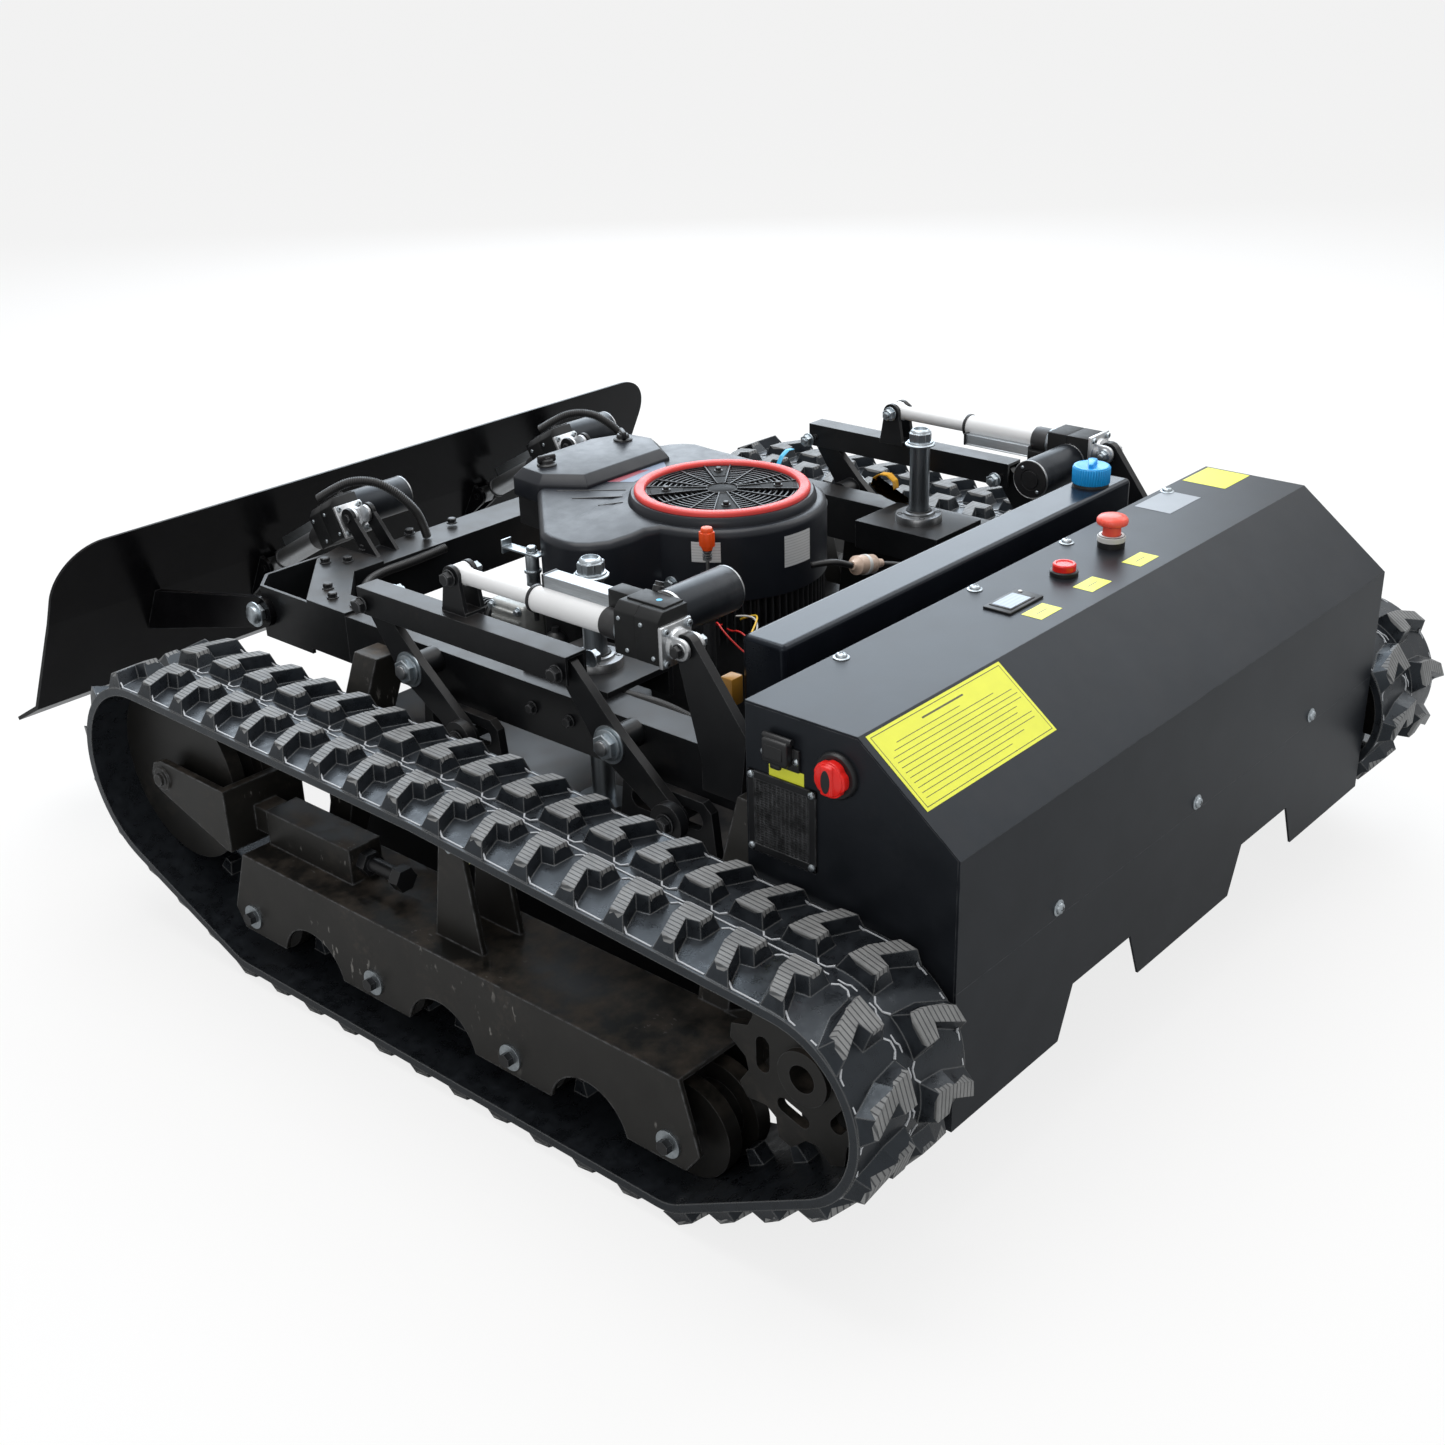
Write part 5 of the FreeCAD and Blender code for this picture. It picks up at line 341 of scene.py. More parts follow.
def make_finishes(colours):
    """Every finish of the mower, by a short name."""
    c = {name: tuple(getattr(colours, name)) for name in MowerColours.__annotations__}
    dust = c["dust"]
    FINISHES.update({
        "frame": powder_coat("Satin black powder coat", c["frame_paint"], 0.34, dust=dust, dusty=0.14,
                             specular=0.28),
        # Bluish painted reflection tint
        "cabinet": powder_coat("Cabinet powder coat", c["cabinet_paint"], 0.36, 1.2, 0.02, dust, 0.05,
                               worn=0.25, specular=0.26, painted_reflection_tint=(0.76, 0.88, 1.0)),
        "track_frame": powder_coat("Dusty powder coat", linear("#1b1a18"), 0.4, 2.0, 0.03, dust, 0.62, 3.6,
                                   0.5, 0.34, scratched=0.6),
        # Bluish painted reflection tint
        "tank": powder_coat("Glossy tank enamel", c["tank_paint"], 0.22, 6.0, 0.02, dust, 0.04, worn=0.3,
                            specular=0.27, painted_reflection_tint=(0.76, 0.88, 1.0)),
        "blade": powder_coat("Glossy blade enamel", c["blade_paint"], 0.24, 5.0, 0.02, dust, 0.06,
                             worn=0.2, specular=0.11),
        "belt": track_rubber("Moulded track rubber", c["rubber"], False, c["rubber_worn"]),
        "lug": track_rubber("Worn ribbed lug rubber", c["rubber"], True, c["rubber_worn"]),
        "flash": moulded_plastic("Scuffed rubber flash", linear("#b0b3b7"), 0.5, 1.2, 0.03, 1.2),
        "zinc": zinc_plate("Bright zinc plate", c["zinc"]),
        "steel": bare_metal("Turned steel", linear("#a9abad"), 0.34),
        "post": bare_metal("Ground steel post", linear("#9aa1a7"), 0.34, 1.2, (1, 1, 0.02), 0.004),
        "cutter": bare_metal("Ground cutter steel", linear("#8c8a86"), 0.4),
        "black_bolt": powder_coat("Black oxide steel", linear("#17181a"), 0.36, 1.0, 0.01, worn=0.6,
                                  edge_mm=0.6),
        "aluminium": bare_metal("Clear anodised extrusion", c["aluminium"], 0.4, 0.6, (1, 0.03, 1), 0.006),
        "cast_aluminium": cast_metal("Die cast aluminium", linear("#c4c6c8"), 1.0, 0.42, 1.2, 0.06),
        "enamel": enamel("White enamelled tube", c["enamel"], 0.3),
        "gearbox": moulded_plastic("Gear case moulding", linear("#131415"), 0.5, specular=0.3),
        # Bluish painted reflection tint
        "motor": powder_coat("Motor can enamel", linear("#16181c"), 0.34, 2.0, 0.015, worn=0.3,
                             specular=0.26, painted_reflection_tint=(0.8, 0.9, 1.0)),
        "collar": cast_metal("Dark moulded collar", linear("#3a3a3b"), 0.5, 0.45, 1.2, 0.05),
        "fan": cast_metal("Black cast fan", linear("#0b0b0c"), 0.0, 0.6),
        "grille": moulded_plastic("Dark grille moulding", linear("#1b1c1e"), 0.36, 1.5, 0.01,
                                  specular=0.36),
        "grille_plate": moulded_plastic("Matt grille plate", linear("#0c0d0e"), 0.55, 1.5, 0.01,
                                        specular=0.12),
        # The stop head is a lighter red than the other buttons, for its sunlit look: painted light
        "stop": moulded_plastic("Red button plastic with painted sunlight", linear("#f25a49"), 0.3, 3.0, 0.01, 1.08),
        # The relay cover's amber is darkened to its shaded look: painted shade
        "relay": moulded_plastic("Amber relay cover with painted shade", linear("#b98531"), 0.4, 2.0, 0.01, 1.1),
        "hood_film": printed_film("Slate hood film", linear("#77849a")),
        "hood_red": printed_film("Dull red hood film", linear("#93404c")),
        "rail": bare_metal("Satin anodised rail", linear("#b4b9bd"), 0.45, 0.6, (1, 0.03, 1), 0.006),
        "moulding": moulded_plastic("Engine shroud moulding", c["moulding"], 0.36, 0.8, 0.02,
                                    specular=0.36),
        "ring": moulded_plastic("Faded red moulding", c["ring"], 0.4, 1.2, 0.02, 1.15),
        "black_plastic": moulded_plastic("Black moulded plastic", linear("#18191b"), 0.4),
        "knob": moulded_plastic("Orange moulded plastic", c["knob"], 0.34, 1.5, 0.02, 1.1),
        "cap": moulded_plastic("Blue cap moulding", c["cap"], 0.3, 2.0, 0.015, 1.15),
        "button": moulded_plastic("Red button plastic", c["button"], 0.22, 3.0, 0.01, 1.1),
        "white_plastic": moulded_plastic("White collar plastic", linear("#d9d9d7"), 0.3, 2.0, 0.01, 1.02),
        "conduit": moulded_plastic("Corrugated conduit plastic", linear("#1a1a1b"), 0.42, 1.5, 0.02),
        "nylon": moulded_plastic("Pale nylon roller", linear("#c9cc8a"), 0.4, 2.0, 0.02, 1.06),
        "wheel": powder_coat("Greasy black wheel", linear("#151412"), 0.45, 2.0, 0.05, dust,
                             0.6, worn=0.3),
        "cast_black": cast_metal("Black painted casting", linear("#222325"), 0.0, 0.48),
        "cast_grey": cast_metal("Grey engine casting", linear("#a9aba9"), 0.6, 0.48, 1.5, 0.1),
        "exhaust": cast_metal("Heat stained exhaust sheet", linear("#6d6259"), 0.8, 0.5, 2.5, 0.05),
        "label": printed_film("Yellow label film", c["label"]),
        "pale_label": printed_film("White label film", linear("#d9dbdc"), 4.0),
        "ink": printed_film("Dark label ink", linear("#4a4a20")),
        "grey_label": printed_film("Grey foil label", linear("#8e949b")),
        "strap": moulded_plastic("Yellow woven strap", c["strap"], 0.5, 1.2, 0.08, 1.2),
        "tie": moulded_plastic("Blue cable tie", linear("#3fb0dc"), 0.35, 2.0, 0.01, 1.1),
        "red_wire": moulded_plastic("Red wire sleeve", linear("#c32420"), 0.35, 2.0, 0.01, 1.1),
        "yellow_wire": moulded_plastic("Yellow wire sleeve", linear("#e0b52c"), 0.35, 2.0, 0.01, 1.1),
        "white_wire": moulded_plastic("White wire sleeve", linear("#d5d5d0"), 0.35, 2.0, 0.01, 1.02),
        "black_wire": moulded_plastic("Black wire sleeve", linear("#161617"), 0.4, 2.0, 0.01, 1.1),
        "fuel_filter": moulded_plastic("Cloudy fuel filter", linear("#cdb4a2"), 0.25, 4.0, 0.01, 1.1),
        "screen": screen_glass("Display screen"),
        "mesh": bare_metal("Dark vent mesh", linear("#3a3a3a"), 0.5),
    })


# Finish of each CAD node, those that a piece replaces among them
NODE_FINISHES = {
    "side_beam_left": "frame", "side_beam_right": "frame", "front_crossmember": "frame",
    "rear_crossmember": "frame", "guide_bearings": "frame", "track_frame_left": "track_frame",
    "track_frame_right": "track_frame", "track_left": "belt", "track_right": "belt",
    "cabinet_body": "cabinet", "cabinet_cover": "cabinet", "rear_skirt": "cabinet",
    "charging_socket": "black_plastic", "fuel_tank": "tank", "fasteners": "zinc",
    "cable_conduits": "conduit", "deck_shell": "frame", "guide_posts": "post",
    "engine_block": "cast_black",
    "blower_housing": "moulding", "filter_cover": "moulding", "fan_guard": "black_plastic",
    "muffler": "exhaust", "dipstick": "knob", "cutter_blade": "cutter", "dozer_blade": "blade",
    "fuel_cap": "cap", "emergency_stop": "stop", "push_button": "button", "isolator_knob": "button",
}
for _side, _ in SIDES:
    NODE_FINISHES.update({
        f"lift_lever_front_{_side}": "frame", f"lift_lever_rear_{_side}": "frame",
        f"sync_bar_{_side}": "frame", f"idler_fork_{_side}": "track_frame", f"sprocket_{_side}": "wheel",
        f"height_actuator_body_{_side}": "gearbox", f"blade_actuator_body_{_side}": "gearbox",
        f"height_actuator_rod_{_side}": "enamel", f"blade_actuator_rod_{_side}": "steel",
        f"idler_{_side}": "wheel", f"carrier_roller_{_side}": "nylon",
        **{f"road_wheel_{k}_{_side}": "wheel" for k in range(1, 5)},
    })


# Pieces

class Piece:
    """One piece while it is made: a bmesh in millimetres whose parts each take a finish."""

    def __init__(self, name, body, slot=None, place=None):
        self.name, self.body, self.slot = name, body, slot
        self.bm = bmesh.new()
        self.place = place or Matrix()
        self.finishes = []
        self.current = 0

    def use(self, finish):
        """The parts that follow take this finish."""
        if finish not in self.finishes:
            self.finishes.append(finish)
        self.current = self.finishes.index(finish)
        return self

    def settle(self, verts, faces, place=None):
        """Give the new faces the finish, and put the new points in place."""
        for face in self.bm.faces:
            if face not in faces:
                face.material_index = self.current
        moved = self.place @ (place or Matrix())
        bmesh.ops.transform(self.bm, matrix=moved,
                            verts=[vert for vert in self.bm.verts if vert not in verts])

    def present(self):
        """What the mesh holds before a part is added."""
        return set(self.bm.verts), set(self.bm.faces)

    def drum(self, start, end, radius, tip=None, sides=40, bevel=0.0, steps=2):
        """A round bar between two points; tip is its radius at the end."""
        present = self.present()
        start, end = Vector(start), Vector(end)
        way = end - start
        tip = radius if tip is None else tip
        made = bmesh.ops.create_cone(self.bm, cap_ends=True, segments=sides, radius1=radius, radius2=tip,
                                     depth=way.length)["verts"]
        if bevel:
            rims = {edge for vert in made for edge in vert.link_edges
                    if abs(edge.verts[0].co.z - edge.verts[1].co.z) < 1e-6}
            self.bevel(rims, bevel, steps)
        self.settle(*present, aimed((start + end) / 2, way))
        return self

    def bevel(self, edges, offset, steps=2, clamp=True):
        """Round edges off."""
        bmesh.ops.bevel(self.bm, geom=list(edges), offset=offset, offset_type="OFFSET", segments=steps,
                        profile=0.5, affect="EDGES", clamp_overlap=clamp, material=-1)

    def hexagon(self, start, end, across, bevel=0.8):
        """A six-sided head; across is its width over the flats."""
        return self.drum(start, end, across / math.sqrt(3), sides=6, bevel=bevel, steps=1)

    def slab(self, low, high, bevel=0.0, steps=2, place=None):
        """A block between two corners, its edges rounded."""
        present = self.present()
        low, high = Vector(low), Vector(high)
        spread = Matrix.Translation((low + high) / 2) @ Matrix.Diagonal((*(high - low), 1))
        made = bmesh.ops.create_cube(self.bm, size=1, matrix=spread)["verts"]
        if bevel:
            self.bevel({edge for vert in made for edge in vert.link_edges}, bevel, steps)
        self.settle(*present, place)
        return self

    def raised(self, outline, axis, low, high):
        """Draw a flat outline out along an axis; gives its foot and its top's points."""
        at = "XYZ".index(axis)
        foot = self.bm.faces.new([self.bm.verts.new((*pair[:at], low, *pair[at:])) for pair in outline])
        made = bmesh.ops.extrude_face_region(self.bm, geom=[foot], use_keep_orig=True)["geom"]
        tops = [item for item in made if isinstance(item, bmesh.types.BMVert)]
        bmesh.ops.translate(self.bm, vec=[(high - low) * (k == at) for k in range(3)], verts=tops)
        return foot, tops

    def level(self, items, height):
        """The edges or faces that lie at one height."""
        return [item for item in items if all(abs(vert.co.z - height) < 0.01 for vert in item.verts)]

    def plate(self, outline, axis, low, high, bevel=0.0, steps=2, place=None):
        """A flat outline given a thickness along one axis, its edges rounded."""
        present = self.present()
        foot, tops = self.raised(outline, axis, low, high)
        if bevel:
            self.bevel({edge for vert in [*foot.verts, *tops] for edge in vert.link_edges}, bevel, steps)
        self.settle(*present, place)
        return self

    def turned(self, outline, start=(0, 0, 0), heading=(0, 0, 1), steps=48):
        """Turn an outline of (radius, height) points round a line."""
        present = self.present()
        verts = [self.bm.verts.new((radius, 0, height)) for radius, height in outline]
        edges = [self.bm.edges.new(pair) for pair in zip(verts, verts[1:])]
        bmesh.ops.spin(self.bm, geom=verts + edges, cent=(0, 0, 0), axis=(0, 0, 1), angle=math.tau,
                       steps=steps, use_merge=True, use_duplicate=False)
        fresh = [vert for vert in self.bm.verts if vert not in present[0]]
        bmesh.ops.remove_doubles(self.bm, verts=fresh, dist=1e-4)
        self.settle(*present, aimed(start, heading))
        return self

    def done(self, angle=30, replaces=()):
        """Make the object, at the origin in metres, with smooth faces and sharp corners."""
        bmesh.ops.recalc_face_normals(self.bm, faces=self.bm.faces[:])
        bmesh.ops.scale(self.bm, vec=(MM, MM, MM), verts=self.bm.verts[:])
        mesh = bpy.data.meshes.new(self.name)
        self.bm.to_mesh(mesh)
        self.bm.free()
        for finish in self.finishes:
            mesh.materials.append(FINISHES[finish])
        mesh.shade_smooth()
        mesh.set_sharp_from_angle(angle=math.radians(angle))
        item = bpy.data.objects.new(self.name, mesh)
        bpy.context.scene.collection.objects.link(item)
        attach(item, self.body)
        if replaces:
            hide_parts(*replaces)
        return item


def aimed(at, heading, axis="Z", up="Y"):
    """The matrix that stands a part at a point with its axis along a heading."""
    return Matrix.Translation(at) @ Vector(heading).to_track_quat(axis, up).to_matrix().to_4x4()


def lobed(centre, count, radius_at):
    """Points of a ring whose radius is worked out at each step."""
    steps = ((math.tau * k / count, radius_at(k)) for k in range(count))
    return [(centre[0] + radius * math.cos(turn), centre[1] + radius * math.sin(turn))
            for turn, radius in steps]


def ring_points(radius, count, centre=(0, 0), start=0.0, sweep=math.tau):
    """Points of a circle, or of an arc with both its ends."""
    whole = abs(sweep - math.tau) < 1e-6
    share = count if whole else count - 1
    return [(centre[0] + radius * math.cos(start + sweep * k / share),
             centre[1] + radius * math.sin(start + sweep * k / share)) for k in range(count)]


def bolt_head(piece, at, heading, across, tall=None, washer=None, finish="zinc", nut=False):
    """A hexagon head or nut with its washer, standing on a surface at a point."""
    at, heading = Vector(at), Vector(heading).normalized()
    tall = tall or across * 0.6
    piece.use(finish)
    if washer:
        piece.drum(at, at + heading * 2, washer, bevel=0.4, steps=1)
        at = at + heading * 2
    piece.hexagon(at, at + heading * tall, across)
    if nut:
        piece.drum(at + heading * tall * 0.9, at + heading * (tall + across * 0.22),
                   across * 0.3, bevel=0.8)
    else:
        piece.turned([(across * 0.44, 0), (across * 0.42, 0.5), (0, 0.7)], at + heading * tall,
                     heading, 24)
    return piece


# Operators

class MOWER_OT_stage(bpy.types.Operator):
    """Set the camera, the floor and the soft studio light"""
    bl_idname = "mower.stage"
    bl_label = "Camera, floor and light"

    def execute(self, context):
        scene = context.scene
        scene.view_settings.view_transform = "Standard"
        lens = bpy.data.cameras.new("photo_camera")
        lens.lens, lens.sensor_width, lens.sensor_fit = 44.94, 36, "HORIZONTAL"
        camera = bpy.data.objects.new("photo_camera", lens)
        heading, dip, roll = math.radians(48.24), math.radians(25.22), math.radians(-1.615)
        camera.matrix_world = (Matrix.Translation((-1.804, -1.673, 1.336))
                               @ Matrix.Rotation(-heading, 4, "Z")
                               @ Matrix.Rotation(math.pi / 2 - dip, 4, "X")
                               @ Matrix.Rotation(roll, 4, "Z"))
        scene.collection.objects.link(camera)
        scene.camera = camera

        world = bpy.data.worlds.new("studio")
        world.use_nodes = True
        tree = world.node_tree
        path = add(tree, "LightPath").node.outputs
        seen = add(tree, "Math", {0: path["Is Camera Ray"], 1: path["Is Transmission Ray"]}, **LARGER)
        glossy = add(tree, "Math", {0: path["Is Glossy Ray"], 1: 0.62}, **TIMES)
        white = add(tree, "Math", {0: seen, 1: glossy}, **LARGER)
        strength = add(tree, "Math", {0: white, 1: 0.5}, **LARGER)
        fill(tree, tree.nodes["Background"], {"Color": (1, 1, 1), "Strength": strength})
        scene.world = world

        floor_mesh = bpy.data.meshes.new("studio_floor")
        bm = bmesh.new()
        bmesh.ops.create_grid(bm, x_segments=1, y_segments=1, size=30)
        bm.to_mesh(floor_mesh)
        bm.free()
        floor = bpy.data.objects.new("studio_floor", floor_mesh)
        floor.location.z = -0.0005
        scene.collection.objects.link(floor)
        floor_mesh.materials.append(self.floor_finish())

        for name, place, aim, size, power in (
                ("top_light", (-0.2, 0.4, 3.8), (0, 0, 0.3), 3.2, 85),
                ("sheen_panel", (2.9, 2.7, 2.7), (0, 0, 0.5), 4.4, 166),
                ("slant_light", (2.9, -1.1, 3.3), (0, -0.4, 0.4), 3.0, 44),
                ("camera_light", (-3.8, -2.2, 2.4), (0, -0.2, 0.3), 2.4, 22)):
            lamp = bpy.data.lights.new(name, "AREA")
            lamp.shape, lamp.size, lamp.energy = "DISK", size, power
            lamp.color = (0.8, 0.9, 1.0) if name == "sheen_panel" else (1, 1, 1)
            item = bpy.data.objects.new(name, lamp)
            item.matrix_world = aimed(place, Vector(aim) - Vector(place), "-Z")
            scene.collection.objects.link(item)
        return {"FINISHED"}

    def floor_finish(self):
        """A white floor that keeps the shadow: most of it is always white to the camera."""
        material, tree, _ = started("White studio floor")
        finished(material, {"Base Color": linear("#efefee"), "Roughness": 0.9, "Specular IOR Level": 0.0})
        path = add(tree, "LightPath").node.outputs
        mirrored = path["Is Glossy Ray"]
        seen = add(tree, "Math", {0: path["Is Camera Ray"], 1: mirrored}, **LARGER)
        seen = add(tree, "Math", {0: seen, 1: path["Is Transmission Ray"]}, **LARGER)
        # Dimmer in a mirror than to the camera, so that the floor doesn't whiten the dark paint
        dimmed = add(tree, "MapRange", {0: mirrored, 3: 1.0, 4: 0.2})
        glow = add(tree, "Emission", {"Color": (1, 1, 1), "Strength": dimmed})
        fainter = add(tree, "MapRange", {0: mirrored, 3: 0.8, 4: 0.6})
        share = add(tree, "Math", {0: seen, 1: fainter}, **TIMES)
        matt = tree.nodes["Principled BSDF"].outputs[0]
        mixed = add(tree, "MixShader", {0: share, 1: matt, 2: glow})
        fill(tree, tree.nodes["Material Output"], {"Surface": mixed})
        return material


# Route of each conduit as the source of the solids has it
CONDUITS = {
    "blade_conduit": ((-264, 500, 503), (-254, 479, 518), (-234, 457, 531), (-212, 429, 530),
                      (-191, 412, 513), (-172, 399, 488), (-156, 398, 463), (-149, 397, 432)),
    "right_blade_conduit": ((194, 500, 503), (204, 479, 518), (224, 457, 531), (246, 429, 530),
                            (267, 412, 513), (286, 399, 488), (302, 398, 463), (306, 397, 434)),
    "left_beam_conduit": ((-370, -120, 408), (-371, -160, 416), (-371, -205, 421), (-371, -255, 425),
                          (-372, -310, 427), (-373, -365, 418), (-372, -410, 398)),
    "frame_conduit": ((-152, 353.9, 424), (-215, 354.5, 420), (-286, 353.6, 422), (-332, 326, 420),
                      (-369, 272, 421), (-372, 205, 418), (-371.6, 135, 421), (-372.2, 70, 417)),
}


def route_of(name, points):
    """The smooth line that a conduit follows."""
    curve = bpy.data.curves.new(name + "_route", "CURVE")
    curve.dimensions = "3D"
    spline = curve.splines.new("NURBS")
    spline.points.add(len(points) - 1)
    for point, place in zip(spline.points, points):
        point.co = (*(Vector(place) * MM), 1)
    spline.order_u = 3
    spline.use_endpoint_u = True
    spline.resolution_u = 24
    holder = bpy.data.objects.new(name + "_route", curve)
    bpy.context.scene.collection.objects.link(holder)
    bpy.context.view_layer.update()
    line = bpy.data.meshes.new_from_object(holder.evaluated_get(bpy.context.evaluated_depsgraph_get()))
    path = [vert.co.copy() for vert in line.vertices]
    bpy.data.meshes.remove(line)
    bpy.data.objects.remove(holder)
    bpy.data.curves.remove(curve)
    return path


def hose(name, path, radii, finish, body, sides=14):
    """A tube that follows a path, with a radius at each of its points."""
    bm = bmesh.new()
    rings = []
    side = Vector(UP)
    for k, place in enumerate(path):
        way = (path[min(k + 1, len(path) - 1)] - path[max(k - 1, 0)]).normalized()
        side = (side - way * way.dot(side)).normalized()
        made = bmesh.ops.create_circle(bm, segments=sides, radius=radii[k],
                                       cap_ends=k in (0, len(path) - 1))
        turn = Matrix((side, way.cross(side), way)).transposed().to_4x4()
        bmesh.ops.transform(bm, matrix=Matrix.Translation(place) @ turn, verts=made["verts"])
        rings.append(made["verts"])
    for first, second in zip(rings, rings[1:]):
        loops = [edge for ring in (first, second) for vert in ring for edge in vert.link_edges
                 if edge.other_vert(vert) in ring]
        bmesh.ops.bridge_loops(bm, edges=list(set(loops)))
    bmesh.ops.recalc_face_normals(bm, faces=bm.faces[:])
    mesh = bpy.data.meshes.new(name)
    bm.to_mesh(mesh)
    bm.free()
    mesh.materials.append(FINISHES[finish])
    mesh.shade_smooth()
    item = bpy.data.objects.new(name, mesh)
    bpy.context.scene.collection.objects.link(item)
    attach(item, body)
    return item


def resampled(path, step):
    """Points read along a line at an even spacing."""
    walked = [0.0]
    for first, second in zip(path, path[1:]):
        walked.append(walked[-1] + (second - first).length)
    count = max(2, round(walked[-1] / step))
    places, k = [], 0
    for j in range(count + 1):
        goal = walked[-1] * j / count
        while k < len(path) - 2 and walked[k + 1] < goal:
            k += 1
        share = (goal - walked[k]) / (walked[k + 1] - walked[k])
        places.append(path[k].lerp(path[k + 1], share))
    return places, walked[-1]


class MOWER_OT_conduits(bpy.types.Operator):
    """Lay the corrugated conduits along their routes"""
    bl_idname = "mower.conduits"
    bl_label = "Corrugated conduits"

    def execute(self, context):
        sizes = context.scene.mower_sizes
        for name, points in CONDUITS.items():
            path = route_of(name, points)
            places, long = resampled(path, sizes.conduit_pitch / 4)
            rib = 1.3 * MM
            crest, root = sizes.conduit / 2, sizes.conduit / 2 - rib
            radii = [crest if k % 4 < 2 else root for k in range(len(places))]
            item = hose(name, places, radii, "conduit", "chassis")
            if name == "blade_conduit":
                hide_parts("cable_conduits")
        return {"FINISHED"}


class MOWER_OT_node_finishes(bpy.types.Operator):
    """Give every solid of the frame its finish"""
    bl_idname = "mower.node_finishes"
    bl_label = "Finishes of the solids"

    def execute(self, context):
        for name, item in NODES.items():
            if name not in NODE_FINISHES:
                raise RuntimeError(f"{name} has no finish")
            item.data.materials.clear()
            item.data.materials.append(FINISHES[NODE_FINISHES[name]])
        for side, sign in SIDES:
            self.split(NODES[f"track_{side}"], "lug", self.lug_tops(NODES[f"track_{side}"].data))
        loose = NODES["fasteners"]
        # The wheel bolts outside the track frames, and the tensioners' bolts between them
        self.split(loose, "black_bolt", lambda at: abs(at.x) > 0.6775
                   or 0.19 < at.z < 0.223 and -0.08 < at.y < 0.11)
        return {"FINISHED"}

    def split(self, item, finish, chosen):
        """Give the faces whose middle is chosen a second finish."""
        item.data.materials.append(FINISHES[finish])
        slot = len(item.data.materials) - 1
        for face in item.data.polygons:
            if chosen(face.center):
                face.material_index = slot

    def lug_tops(self, mesh, reach=4.5 * MM):
        """Tells the faces that lie within reach of the belt's outermost line, seen from the side."""
        places = sorted({(round(vert.co.y, 4), round(vert.co.z, 4)) for vert in mesh.vertices})
        hull = []
        for line in (places, places[::-1]):
            half = []
            for place in line:
                while len(half) > 1 and self.turn(half[-2], half[-1], place) <= 0:
                    half.pop()
                half.append(place)
            hull += half[:-1]
        walls = [(Vector(first), (Vector(second) - Vector(first)).normalized())
                 for first, second in zip(hull, hull[1:] + hull[:1])]

        def chosen(at):
            flat = Vector((at.y, at.z))
            return min(abs((flat - start).cross(way)) for start, way in walls) < reach
        return chosen

    def turn(self, first, second, third):
        """Above zero where the way from the first by the second to the third bends left."""
        (x, y), (u, v) = ((place[0] - first[0], place[1] - first[1]) for place in (second, third))
        return x * v - y * u


